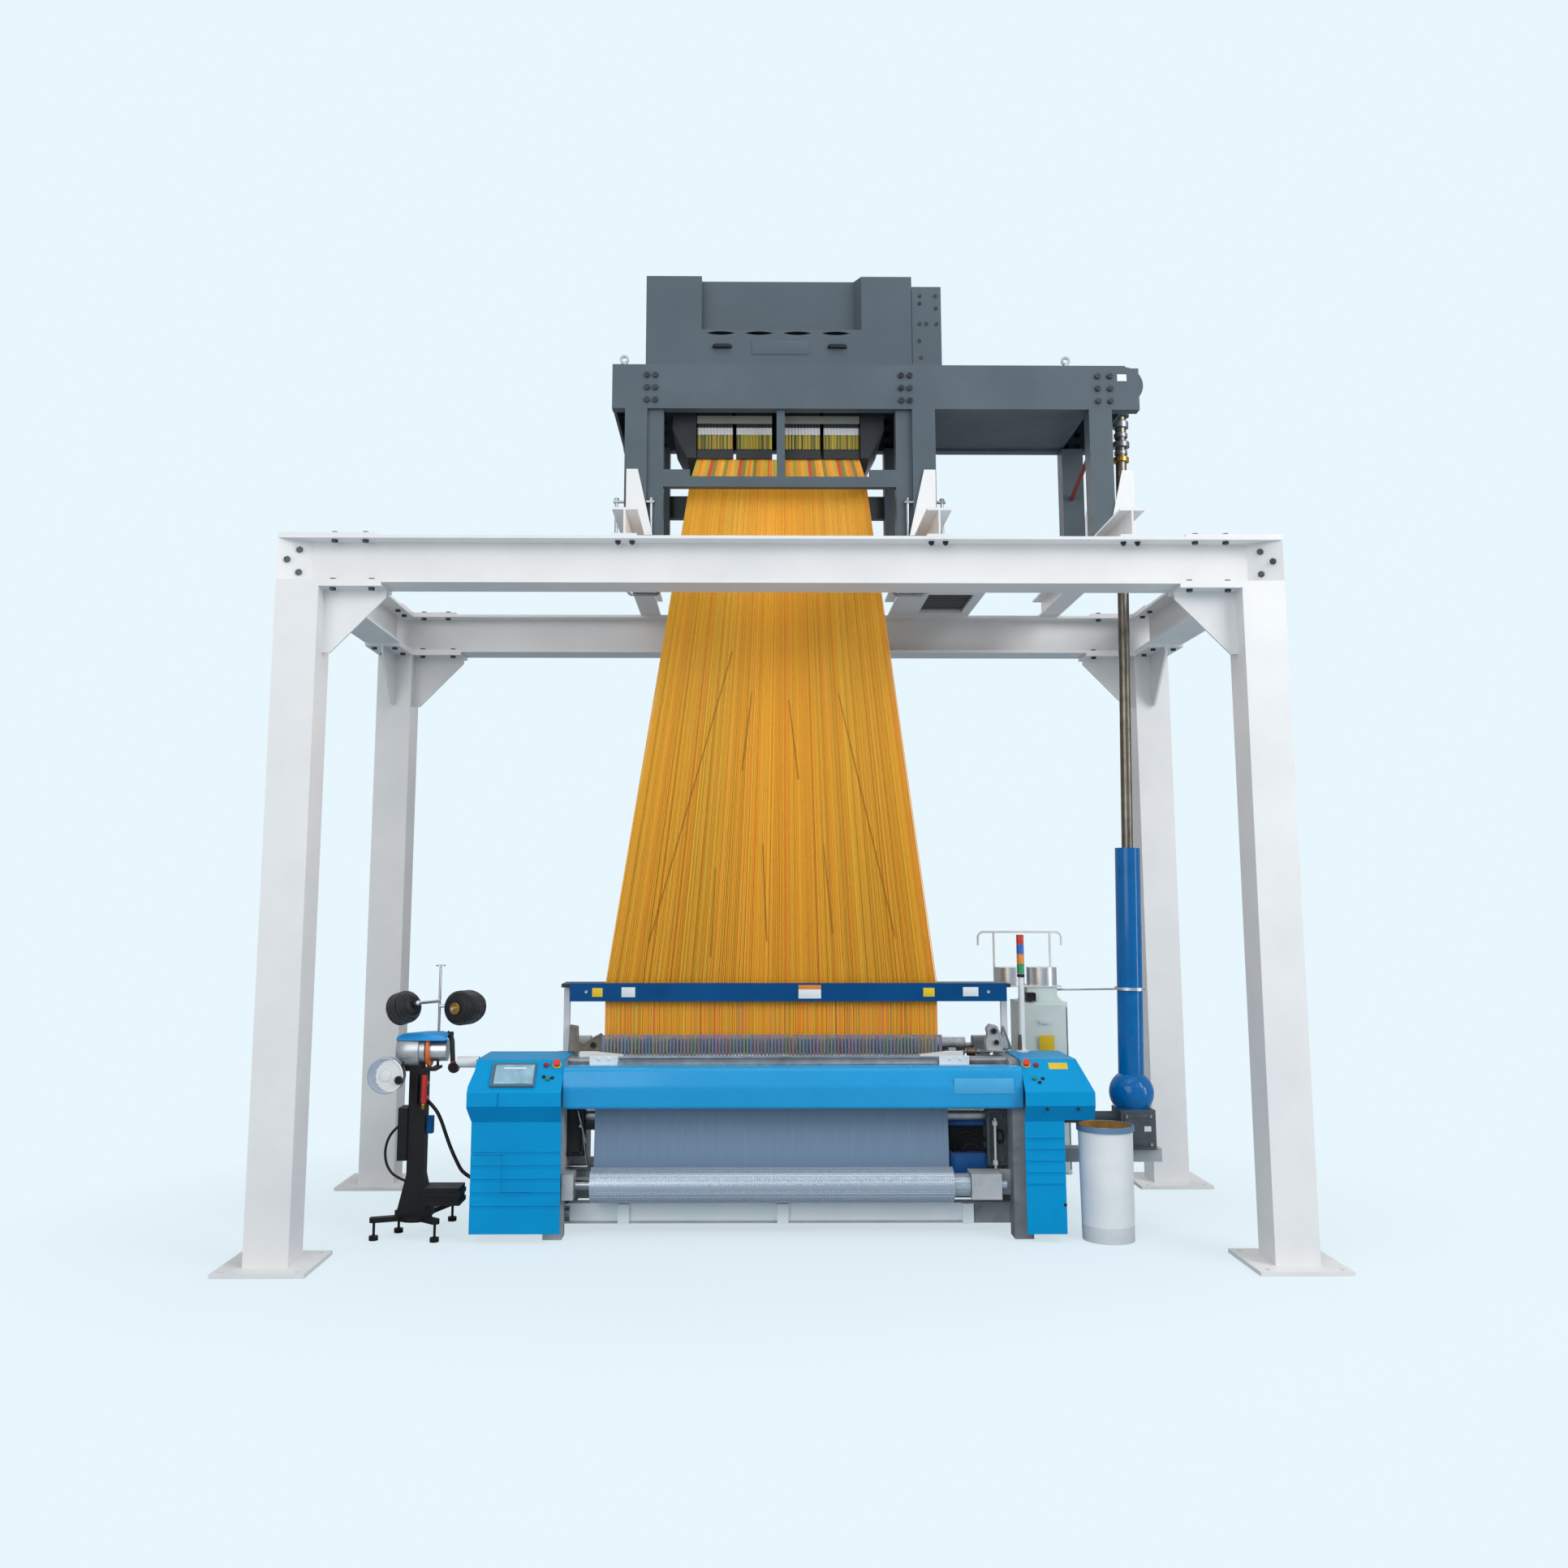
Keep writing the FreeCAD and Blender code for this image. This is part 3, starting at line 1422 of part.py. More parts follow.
def warp_beam():
    left = reed_left_x + reed_edge - yarn_margin
    right = reed_right_x - reed_edge + yarn_margin
    yarn = cylinder_x(left, right, warp_beam_y, warp_beam_z, yarn_radius)
    flanges = [cylinder_x(left - flange_thickness, left, warp_beam_y, warp_beam_z, flange_radius),
               cylinder_x(right, right + flange_thickness, warp_beam_y, warp_beam_z, flange_radius)]
    shaft = cylinder_x(frame_left_inner_x - frame_thickness, frame_right_inner_x + frame_thickness,
                       warp_beam_y, warp_beam_z, warp_shaft_radius)
    return fuse([yarn, shaft] + flanges)


# ================================================================ sley and reed

def sley():
    beam = box(reed_left_x, reed_right_x, rocker_y - reed_beam_depth / 2, rocker_y + reed_beam_depth / 2,
               reed_beam_bottom, reed_beam_bottom + reed_beam_height)
    rocker = cylinder_x(frame_left_inner_x - frame_thickness, frame_right_inner_x + frame_thickness,
                        rocker_y, rocker_z, rocker_radius)
    span = reed_right_x - reed_left_x - 2 * sword_width
    swords = []
    for i in range(sword_count):
        x = reed_left_x + sword_width + span * i / (sword_count - 1)
        swords.append(box(x - sword_width / 2, x + sword_width / 2, rocker_y - sword_depth / 2,
                          rocker_y + sword_depth / 2, rocker_z, reed_beam_bottom + 1))
    return fuse([beam, rocker] + swords)


def reed():
    bottom = reed_beam_bottom + reed_beam_height
    top = bottom + reed_height
    plate = box(reed_left_x, reed_right_x, rocker_y - reed_thickness / 2, rocker_y + reed_thickness / 2,
                bottom, top)
    gaps = [box(x - dent_gap / 2, x + dent_gap / 2, rocker_y - reed_thickness, rocker_y + reed_thickness,
                bottom + reed_edge, top - reed_edge) for x in dent_centres()]
    return plate.cut(gaps)


# ================================================================ covers

# The covers' side view; spare lengthens it past the open rear and bottom.
def cover_profile(bottom, spare):
    return [(cover_leg_y, bottom - spare, 0), (cover_leg_y, crease_bottom, 0),
            (cover_front_y, head_bottom, 0), (cover_front_y, slope_foot_z, 0), (slope_top_y, cover_top, 0),
            (cover_rear_y + spare, cover_top, 0), (cover_rear_y + spare, bottom - spare, 0)]


def inset_prism(points, axis, start, end, inset):
    face = Part.Face(corner_wire(points, axis, start, True))
    if inset:
        face = face.makeOffset2D(-inset, 2, False, False)
    push = {"x": V(1, 0, 0), "y": V(0, 1, 0)}[axis]
    return face.extrude(push * (end - start))


def left_cover_block(inset):
    spare = 3 * inset
    side = left_cover_x
    top = cover_top + cover_block_margin
    x_view = [(side, left_cover_bottom - spare, 0), (side, bulge_bottom - bulge_blend, 0),
              (side - left_bulge, bulge_bottom, 0), (side - left_bulge, bulge_top, 0),
              (side, bulge_top + bulge_blend, 0), (side, top, 0), (frame_left_inner_x + spare, top, 0),
              (frame_left_inner_x + spare, left_cover_bottom - spare, 0)]
    profile = inset_prism(cover_profile(left_cover_bottom, spare), "x", side - 2 * left_bulge,
                          frame_left_inner_x + spare, inset)
    return profile.common(inset_prism(x_view, "y", cover_front_y - cover_block_margin,
                                      cover_rear_y + cover_block_margin, inset))


def right_cover_block(inset):
    spare = 3 * inset
    left = right_cover_inner_x - spare
    bottom = right_cover_bottom - spare
    top = cover_top + cover_block_margin
    x_view = [(left, bottom, 0), (right_leg_outer_x, bottom, 0), (right_leg_outer_x, right_head_bottom, 0),
              (right_head_outer_x, right_head_bottom, 0), (right_head_outer_x, slope_foot_z, 0),
              (right_head_top_x, cover_top, 0), (right_head_top_x, top, 0), (left, top, 0)]
    profile = inset_prism(cover_profile(right_cover_bottom, spare), "x", left,
                          right_head_outer_x + cover_block_margin, inset)
    return profile.common(inset_prism(x_view, "y", cover_front_y - cover_block_margin,
                                      cover_rear_y + cover_block_margin, inset))


# Carries a shape made with X along the panel, Y up its slope and Z out of it onto the slope.
def on_slope(shape, x, offset):
    shape.rotate(V(0, 0, 0), V(1, 0, 0), slope_angle)
    climb = math.radians(slope_angle)
    shape.translate(V(x, cover_front_y + offset * math.cos(climb), slope_foot_z + offset * math.sin(climb)))
    return shape


def stem_bore(x, offset, stem_radius):
    hole = cylinder_z(-cover_wall * 2, cover_wall, 0, 0, stem_radius + running_clearance)
    return on_slope(hole, x, offset)


def button(x, offset, head_radius, head_height, stem_radius, travel):
    stem = cylinder_z(-stem_reach, travel + 1, 0, 0, stem_radius)
    head = cylinder_z(travel, travel + head_height, 0, 0, head_radius)
    return on_slope(fuse([stem, head]), x, offset)


def grooves(x0, x1, top, pitch):
    return [box(x0, x1, cover_leg_y - 1, cover_leg_y + groove_depth, top - i * pitch - groove_height,
                top - i * pitch) for i in range(groove_count)]


def left_cover():
    shell = left_cover_block(0).cut(left_cover_block(cover_wall))
    tools = grooves(left_cover_x - 1, frame_left_inner_x + 1, left_groove_top, left_groove_pitch)
    tools.append(box(notch_x - groove_depth, notch_x + groove_depth, cover_front_y - 1,
                     cover_front_y + groove_depth, head_bottom, slope_foot_z))
    tools.append(stem_bore(left_stop_x, stop_offset, stop_stem_radius))
    tools.append(stem_bore(left_start_x, start_offset, start_stem_radius))
    return shell.cut(tools)


def right_cover():
    shell = right_cover_block(0).cut(right_cover_block(cover_wall))
    tools = grooves(right_cover_inner_x - 1, right_leg_outer_x + 1, right_groove_top, right_groove_pitch)
    tools.append(box(right_cover_inner_x - 1, right_leg_outer_x + 1, right_leg_rear_y, cover_rear_y + 1,
                     right_cover_bottom - 1, right_head_bottom))
    tools.append(stem_bore(right_stop_x, stop_offset, stop_stem_radius))
    tools.append(stem_bore(right_start_x, start_offset, start_stem_radius))
    return shell.cut(tools)


def touch_screen():
    plate = box(-screen_width / 2, screen_width / 2, -screen_length / 2, screen_length / 2,
                0, screen_thickness)
    glass_half_width = screen_width / 2 - screen_frame
    glass_half_length = screen_length / 2 - screen_frame
    recess = box(-glass_half_width, glass_half_width, -glass_half_length, glass_half_length,
                 screen_thickness - screen_recess, screen_thickness + 1)
    return on_slope(plate.cut(recess), screen_x, screen_offset)


# ================================================================ jacquard drive

# Leans a shape made upright over the drive's lower end.
def on_drive_axis(shape):
    shape.rotate(V(drive_foot_x, drive_y, drive_foot_z), V(0, 1, 0), drive_lean)
    return shape


def drive_shaft():
    body = cylinder_z(drive_shaft_bottom, drive_shaft_top, drive_foot_x, drive_y, drive_shaft_radius)
    spigots = cylinder_z(drive_shaft_bottom - spigot_length, drive_shaft_top + spigot_length,
                         drive_foot_x, drive_y, spigot_radius)
    return on_drive_axis(fuse([body, spigots]))


def spigot_bore(z0, z1):
    return on_drive_axis(cylinder_z(z0, z1, drive_foot_x, drive_y, spigot_radius + running_clearance))


# The guard turned about its axis: a skirt, a ball round the joint, and the tube.
def guard_body():
    wall = guard_tube_wall
    skirt = bell_bottom - 2 * wall

    def spot(radius, z):
        return V(drive_foot_x + radius, drive_y, z)

    def side(inset):
        mouth = spot(bell_mouth_radius - inset, bell_bottom)
        neck = spot(guard_tube_radius - inset, bell_top)
        return [Part.makeLine(spot(bell_mouth_radius - inset, skirt), mouth),
                Part.Arc(mouth, spot(bell_radius - inset, bell_centre_z), neck).toShape(),
                Part.makeLine(neck, spot(guard_tube_radius - inset, guard_tube_top))]

    ends = [Part.makeLine(spot(bell_mouth_radius - wall, skirt), spot(bell_mouth_radius, skirt)),
            Part.makeLine(spot(guard_tube_radius - wall, guard_tube_top),
                          spot(guard_tube_radius, guard_tube_top))]
    outline = Part.Wire(Part.__sortEdges__(side(0) + side(wall) + ends))
    return Part.Face(outline).revolve(V(drive_foot_x, drive_y, 0), V(0, 0, 1), 360)


def shaft_guard():
    wall = guard_tube_wall
    guard = on_drive_axis(guard_body())
    reach = 2 * bell_radius
    guard = guard.cut(box(drive_foot_x - reach, drive_foot_x + reach, drive_y - reach, drive_y + reach,
                          gearbox_bottom, gearbox_top))
    half = stay_ring_thickness / 2
    ring = cylinder_z(stay_height - half, stay_height + half, drive_foot_x, drive_y,
                      guard_tube_radius + 2 * stay_radius)
    ring = ring.cut(cylinder_z(stay_height - half - 1, stay_height + half + 1, drive_foot_x, drive_y,
                               guard_tube_radius - wall / 2))
    start = V(drive_foot_x + (stay_height - drive_foot_z) * math.tan(math.radians(drive_lean)),
              drive_y, stay_height)
    finish = V(neck_right_x, cabinet_front_y + cabinet_depth / 2, neck_top - 3 * stay_radius)
    along = finish - start
    beyond = along.Length + 4 * stay_radius
    rod = Part.makeCylinder(stay_radius, beyond, start, along)
    rod = rod.cut([on_drive_axis(cylinder_z(bell_top, guard_tube_top, drive_foot_x, drive_y,
                                            guard_tube_radius - wall / 2)),
                   box(neck_left_x, neck_right_x, cabinet_front_y, cabinet_front_y + cabinet_depth,
                       cabinet_top, stay_height)])
    return fuse([guard, on_drive_axis(ring), rod])


def loom_gearbox():
    front = drive_y - gearbox_depth / 2
    rear = drive_y + gearbox_depth / 2
    case = box(gearbox_left_x, gearbox_right_x, front, rear, gearbox_bottom, gearbox_top)
    boss = on_drive_axis(cylinder_z(gearbox_top - gearbox_boss_sink, drive_shaft_bottom - head_boss_gap,
                                    drive_foot_x, drive_y, boss_radius))
    arm = cylinder_x(frame_right_inner_x + frame_thickness, gearbox_left_x + 1, drive_y, transfer_z,
                     transfer_radius)
    return fuse([case, boss, arm]).cut(spigot_bore(drive_shaft_bottom - spigot_length - head_boss_gap,
                                                   drive_shaft_bottom + 1))


def gearbox_bracket():
    half = bracket_beam_depth / 2
    left = frame_right_inner_x + frame_thickness
    bottom = gearbox_bottom - bracket_beam_height
    beam = box(left, bracket_beam_right_x, drive_y - half, drive_y + half, bottom, gearbox_bottom)
    return beam.cut(box(left + beam_plate, bracket_beam_right_x - beam_plate, drive_y - half + beam_plate,
                        drive_y + half - beam_plate, bottom - 1, gearbox_bottom - beam_plate))


def jacquard_gearbox():
    front = drive_y - head_gearbox_depth / 2
    rear = drive_y + head_gearbox_depth / 2
    round_x = head_gearbox_left_x + head_gearbox_radius * head_gearbox_round_share
    case = box(head_gearbox_left_x, round_x, front, rear, head_gearbox_z - head_gearbox_radius,
               head_gearbox_z + head_gearbox_radius)
    end = cylinder_y(front, rear, round_x, head_gearbox_z, head_gearbox_radius)
    end = end.common(box(round_x, round_x + head_gearbox_radius, front, rear,
                         head_gearbox_z - head_gearbox_radius, head_gearbox_z + head_gearbox_radius))
    cap = cylinder_y(front - head_gearbox_cap_depth, front, round_x, head_gearbox_z,
                     head_gearbox_radius * head_gearbox_cap_share)
    boss = on_drive_axis(cylinder_z(drive_shaft_top + head_boss_gap, head_gearbox_z, drive_foot_x, drive_y,
                                    head_boss_radius))
    body = fuse([case, end, cap, boss])
    return body.cut(spigot_bore(drive_shaft_top, drive_shaft_top + spigot_length + head_boss_gap))


# ================================================================ cabinet side

def cabinet():
    rear = cabinet_front_y + cabinet_depth
    wall = cabinet_wall
    body = box(cabinet_left_x, cabinet_right_x, cabinet_front_y, rear, cabinet_bottom, cabinet_top)
    body = body.cut(box(cabinet_left_x + wall, cabinet_right_x - wall, cabinet_front_y - 1, rear - wall,
                        cabinet_bottom + cabinet_sill, cabinet_top - cabinet_sill))
    plinth = box(cabinet_left_x + plinth_inset, cabinet_right_x - plinth_inset,
                 cabinet_front_y + plinth_inset, rear - plinth_inset, 0, cabinet_bottom)
    neck_front = cabinet_front_y + (cabinet_depth - neck_depth) / 2
    neck = prism([(neck_left_x - neck_flare, cabinet_top, 0), (neck_left_x, cabinet_top + neck_flare, 0),
                  (neck_left_x, neck_top, 0), (neck_right_x, neck_top, 0),
                  (neck_right_x, cabinet_top + neck_flare, 0), (neck_right_x + neck_flare, cabinet_top, 0)],
                 "y", neck_front, neck_front + neck_depth)
    return fuse([body, plinth, neck])


def cabinet_door():
    margin = cabinet_door_margin
    front = cabinet_front_y - cabinet_door_thickness
    door = box(cabinet_left_x + margin, cabinet_right_x - margin, front, cabinet_front_y,
               cabinet_bottom + margin, cabinet_top - margin)
    middle = (cabinet_bottom + cabinet_top) / 2
    grip = box(cabinet_left_x + 3 * margin, cabinet_left_x + 4 * margin, front - door_handle_reach, front,
               middle - door_handle_height / 2, middle + door_handle_height / 2)
    return fuse([door, grip])


def rack_rod_spots():
    rear = rack_plate_front_y + rack_plate_depth - rack_rod_inset
    return [(rack_plate_left_x + 2 * rack_rod_inset, rear), (rack_plate_right_x - rack_rod_inset, rear)]


def bobbin_rack():
    top = neck_top + rack_plate_thickness
    parts = [box(rack_plate_left_x, rack_plate_right_x, rack_plate_front_y,
                 rack_plate_front_y + rack_plate_depth, neck_top, top)]
    for x, y in rack_rod_spots():
        parts.append(cylinder_z(neck_top, rack_bar_z, x, y, rack_rod_radius))
    bar_y = rack_rod_spots()[0][1]
    hook_z = rack_bar_z - rack_hook_drop
    parts.append(tube([(rack_bar_left_x, bar_y, hook_z), (rack_bar_left_x, bar_y, rack_bar_z),
                       (rack_bar_right_x, bar_y, rack_bar_z), (rack_bar_right_x, bar_y, hook_z)],
                      rack_rod_radius, "rack_bar"))
    bobbin_y = rack_plate_front_y + bobbin_radius + rack_rod_radius
    solids = [fuse(parts)]
    for x in (bobbin_left_x, bobbin_right_x):
        body = cylinder_z(top, top + bobbin_height, x, bobbin_y, bobbin_radius)
        solids.append(body.cut(cylinder_z(top - 1, top + bobbin_height + 1, x, bobbin_y, bobbin_bore)))
    return solids


def signal_tower():
    foot = cylinder_z(cover_top, cover_top + tower_foot_height, tower_x, tower_y, 2 * tower_pole_radius)
    stack = tower_lamp_count * (tower_lamp_height + tower_lamp_gap)
    pole = cylinder_z(cover_top, tower_pole_top, tower_x, tower_y, tower_pole_radius)
    lamps = []
    for i in range(tower_lamp_count):
        z = tower_pole_top + i * (tower_lamp_height + tower_lamp_gap) + tower_lamp_gap
        lamps.append(cylinder_z(z, z + tower_lamp_height, tower_x, tower_y, tower_lamp_radius))
    core = cylinder_z(tower_pole_top, tower_pole_top + stack, tower_x, tower_y,
                      tower_lamp_radius - tower_core_inset)
    return fuse([foot, pole, core] + lamps)


# ================================================================ weft feeder stand

def stand_foot_spots():
    return [(left_foot_x, left_foot_y), (rear_foot_x, rear_foot_y), (right_foot_x, right_foot_y),
            (tray_foot_x, tray_foot_y)]


def stand_arm(x, y):
    direction = V(x - stand_x, y - stand_y, 0)
    arm = box(0, direction.Length, -arm_width / 2, arm_width / 2, arm_bottom, arm_bottom + arm_thickness)
    arm.rotate(V(0, 0, 0), V(0, 0, 1), math.degrees(math.atan2(direction.y, direction.x)))
    arm.translate(V(stand_x, stand_y, 0))
    stem = cylinder_z(foot_pad_height, arm_bottom + 1, x, y, foot_stem_radius)
    pad = cylinder_z(0, foot_pad_height, x, y, foot_pad_radius)
    end = cylinder_z(arm_bottom, arm_bottom + arm_thickness, x, y, foot_pad_radius)
    return [arm, stem, pad, end]


def left_package_axis():
    turn = math.radians(left_package_turn)
    dip = math.radians(left_package_dip)
    return V(-math.cos(turn) * math.cos(dip), math.sin(turn) * math.cos(dip), -math.sin(dip))


def right_package_axis():
    turn = math.radians(right_package_turn)
    return V(-math.cos(turn), -math.sin(turn), 0)


def package(x, axis, length, rod_end_radius, radius, free_end_radius):
    solid = turned_z([(0, 0), (rod_end_radius, 0), (radius, package_rise_share * length),
                      (radius, package_fall_share * length), (free_end_radius, length), (0, length)], 0, 0)
    start = V(x, stand_y, package_hub_z) - axis * (length / 2)
    solid.Placement = FreeCAD.Placement(start, FreeCAD.Rotation(V(0, 0, 1), axis))
    return solid


def package_peg(x, axis, length):
    middle = V(x, stand_y, package_hub_z)
    rear = middle - axis * (length / 2 + package_link_gap)
    peg = Part.makeCylinder(package_peg_radius, length + 2 * package_link_gap, rear, axis)
    link = V(stand_rod_x, stand_rod_y, rear.z) - rear
    reach = Part.makeCylinder(package_peg_radius, link.Length, rear, link)
    ball = Part.makeSphere(package_joint_share * package_peg_radius, rear)
    return [peg, reach, ball]


def feeder_stand():
    half = stand_column_size / 2
    flare = stand_flare_size / 2
    column = box(stand_x - half, stand_x + half, stand_y - half, stand_y + half,
                 stand_column_bottom, stand_column_top)
    base = prism([(stand_x - flare, stand_column_bottom, 0), (stand_x + flare, stand_column_bottom, 0),
                  (stand_x + half, stand_column_bottom + stand_flare_height, 0),
                  (stand_x - half, stand_column_bottom + stand_flare_height, 0)], "y",
                 stand_y - half, stand_y + half)
    hub = cylinder_z(arm_bottom, stand_column_bottom, stand_x, stand_y, flare - foot_stem_radius)
    parts = [column, base, hub]
    for x, y in stand_foot_spots():
        parts += stand_arm(x, y)
    parts.append(box(stand_x - half - control_box_width, stand_x - half, stand_y - control_box_depth / 2,
                     stand_y + control_box_depth / 2, control_box_bottom, control_box_top))
    plate_top = stand_column_top + head_plate_thickness
    plate_left = second_spool_x - second_spool_arm / 2
    parts.append(box(plate_left, head_plate_right_x, stand_y - half, stand_y + half,
                     stand_column_top, plate_top))
    parts.append(box(feeder_housing_left_x + feeder_saddle_inset,
                     feeder_housing_right_x - feeder_saddle_inset,
                     stand_y - feeder_saddle_width / 2, stand_y + feeder_saddle_width / 2,
                     plate_top, feeder_z - feeder_housing_radius / 2))
    parts.append(box(plate_left, plate_left + second_spool_arm, second_spool_rear_y, stand_y,
                     second_spool_z - second_spool_arm / 2, stand_column_top))
    parts.append(box(stand_rod_x - 2 * stand_rod_radius, head_plate_right_x, stand_y + half,
                     stand_rod_y + 2 * stand_rod_radius, stand_column_top, plate_top))
    parts.append(cylinder_z(stand_column_top, stand_rod_top, stand_rod_x, stand_rod_y, stand_rod_radius))
    parts.append(cylinder_z(stand_rod_top, stand_rod_top + stand_rod_radius, stand_rod_x, stand_rod_y,
                            stand_disc_radius))
    bar_y = stand_y - half - 2 * stand_bar_radius
    parts.append(cylinder_z(stand_bar_bottom, stand_bar_top, stand_x, bar_y, stand_bar_radius))
    for z in (stand_bar_bottom, stand_bar_top):
        parts.append(box(stand_x - stand_bar_radius, stand_x + stand_bar_radius, bar_y, stand_y,
                         z - stand_bar_radius, z + stand_bar_radius))
    for i in range(tray_count):
        z = tray_bottom + i * tray_step
        lip = (i % 2) * tray_step / 4
        parts.append(box(tray_left_x, tray_right_x - lip, stand_y - tray_depth / 2 + lip,
                         stand_y + tray_depth / 2 - lip, z, z + tray_step))
    parts += package_peg(left_package_x, left_package_axis(), left_package_length)
    parts += package_peg(right_package_x, right_package_axis(), right_package_length)
    housing = cylinder_x(feeder_housing_left_x - 1, feeder_housing_right_x + 1, stand_y, feeder_z,
                         feeder_housing_radius)
    return fuse(parts).cut(housing)


def yarn_cones():
    stand = package_peg(left_package_x, left_package_axis(), left_package_length)
    stand += package_peg(right_package_x, right_package_axis(), right_package_length)
    cones = [package(left_package_x, left_package_axis(), left_package_length,
                     left_package_rod_end_radius, left_package_radius, left_package_free_end_radius),
             package(right_package_x, right_package_axis(), right_package_length,
                     right_package_rod_end_radius, right_package_radius, right_package_free_end_radius)]
    return [cone.cut(stand) for cone in cones]


def feeders():
    housing = cylinder_x(feeder_housing_left_x, feeder_housing_right_x, stand_y, feeder_z,
                         feeder_housing_radius)
    bore = cylinder_x(feeder_housing_right_x - 3 * feeder_stub_radius, feeder_housing_right_x + 1, stand_y,
                      feeder_z, feeder_stub_radius + running_clearance)
    front = second_spool_rear_y - second_spool_depth
    spool = fuse([cylinder_y(front, second_spool_rear_y, second_spool_x, second_spool_z,
                             second_spool_radius * second_spool_barrel_share),
                  cylinder_y(front, front + second_spool_rim, second_spool_x, second_spool_z,
                             second_spool_radius),
                  cylinder_y(second_spool_rear_y - second_spool_rim, second_spool_rear_y, second_spool_x,
                             second_spool_z, second_spool_radius)])
    sleeve = cylinder_x(tube_left_x, left_cover_x, stand_y, tube_z, tube_radius)
    sleeve = sleeve.cut(cylinder_x(tube_left_x - 1, left_cover_x + 1, stand_y, tube_z,
                                   tube_radius - tube_wall))
    return [housing.cut(bore), spool, sleeve]


def feeder_disc():
    start = feeder_housing_right_x + feeder_stub_radius - 1
    finish = start + feeder_disc_thickness
    return fuse([cylinder_x(feeder_housing_right_x - 2 * feeder_stub_radius, start + 1, stand_y, feeder_z,
                            feeder_stub_radius),
                 cylinder_x(start, finish, stand_y, feeder_z, feeder_disc_radius),
                 cylinder_x(finish, finish + feeder_spool_length, stand_y, feeder_z,
                            feeder_spool_radius)])


# ================================================================ cords and bin

def cable_loop():
    y = stand_y - arm_width / 2
    spots = [(-2036, 575), (-2072, 545), (-2100, 490), (-2108, 425), (-2092, 362), (-2050, 312),
             (-1990, 290)]
    return tube([(x, y, z) for x, z in spots], cable_radius, "cable_loop")


def feeder_hose():
    spots = [(-1896, 705), (-1848, 660), (-1815, 595), (-1790, 525), (-1762, 455), (-1728, 385),
             (-1690, 320), (-1622, 290)]
    return tube([(x, stand_y, z) for x, z in spots], hose_radius, "feeder_hose")


def waste_bin():
    wall = bin_wall
    shell = turned_z([(0, 0), (bin_foot_radius, 0), (bin_top_radius, bin_height),
                      (bin_top_radius - wall, bin_height), (bin_foot_radius - wall, wall), (0, wall)],
                     bin_x, bin_y)
    rim = cylinder_z(bin_height - bin_rim_height, bin_height, bin_x, bin_y,
                     bin_top_radius + bin_rim_thickness)
    rim = rim.cut(cylinder_z(bin_height - bin_rim_height - 1, bin_height + 1, bin_x, bin_y,
                             bin_top_radius - wall))
    return fuse([shell, rim])


# ================================================================ build

os.makedirs("parts", exist_ok=True)

save("gantry_columns", [gantry_column(sx, sy) for sx, sy in corners()])
save("gantry_beams", [cross_beam_of_gantry(-1), cross_beam_of_gantry(1),
                      side_beam_of_gantry(-1), side_beam_of_gantry(1)])
save("corner_plates", [corner_plate(sx, sy) for sx, sy in corners()])
save("frame_bolts", frame_bolts())
save("bearers", [bearer(left_bearer_x, left_bearer_x - left_bracket_edge, 1),
                 bearer(middle_bearer_x, middle_bearer_x + middle_bracket_edge, -1),
                 bearer(right_bearer_x, right_bracket_x, -1)])
save("bearer_grille", [bearer_grille()])
save("hold_down_clamps", hold_down_clamps())
save("jacquard_rails", [rail(jacquard_front_y, 1), rail(jacquard_rear_y, -1)])
save("jacquard_posts", posts())
save("jacquard_cross_members", cross_members())
save("jacquard_ties", ties())
save("lift_housing", lift_housing())
save("hook_modules", hook_modules())
save("jacquard_hood", [jacquard_hood()])
save("hood_fittings", [pull_handle(handle_left_x), pull_handle(handle_right_x),
                       lifting_eye(lifting_eye_left_x), lifting_eye(lifting_eye_right_x)])
save("griffe_upper", [griffe(griffe_upper_z, 1, 0)])
save("griffe_lower", [griffe(griffe_lower_z, -1, knife_pitch / 2)])
save("jacquard_gearbox", [jacquard_gearbox()])
save("harness_cords", [harness_cords()])
save("comber_board", comber_board())
save("comber_guard", [comber_guard()])
save("heddles", [heddles()])
save("return_springs", return_springs())
save("drive_shaft", [drive_shaft()])
save("shaft_guard", [shaft_guard()])
save("loom_gearbox", [loom_gearbox()])
save("gearbox_bracket", [gearbox_bracket()])
save("side_frames", side_frames())
save("cross_beams", cross_beams())
save("breast_beam", [breast_beam()])
save("breast_cover", [breast_cover()])
save("left_cover", [left_cover()])
save("right_cover", [right_cover()])
save("touch_screen", [touch_screen()])
save("take_up_roller", [framed_roller(take_up_y, take_up_z, take_up_radius, roller_shaft_radius)])
save("press_roller", [framed_roller(press_y, take_up_z, press_radius, roller_shaft_radius)])
save("cloth_roll", [cloth_roll()])
save("cloth", [cloth()])
save("roll_bearings", roll_bearings())
save("sley", [sley()])
save("reed", [reed()])
save("temples", temples())
save("warp_beam", [warp_beam()])
save("back_rest", [framed_roller(back_rest_y, back_rest_z, back_rest_radius, roller_shaft_radius)])
save("warp_sheet", [warp_sheet()])
save("cabinet", [cabinet()])
save("cabinet_door", [cabinet_door()])
save("signal_tower", [signal_tower()])
save("bobbin_rack", bobbin_rack())
save("stop_button_left", [button(left_stop_x, stop_offset, stop_head_radius, stop_head_height,
                                 stop_stem_radius, stop_travel)])
save("stop_button_right", [button(right_stop_x, stop_offset, stop_head_radius, stop_head_height,
                                  stop_stem_radius, stop_travel)])
save("start_button_left", [button(left_start_x, start_offset, start_head_radius, start_head_height,
                                  start_stem_radius, start_travel)])
save("start_button_right", [button(right_start_x, start_offset, start_head_radius, start_head_height,
                                   start_stem_radius, start_travel)])
save("feeder_stand", [feeder_stand()])
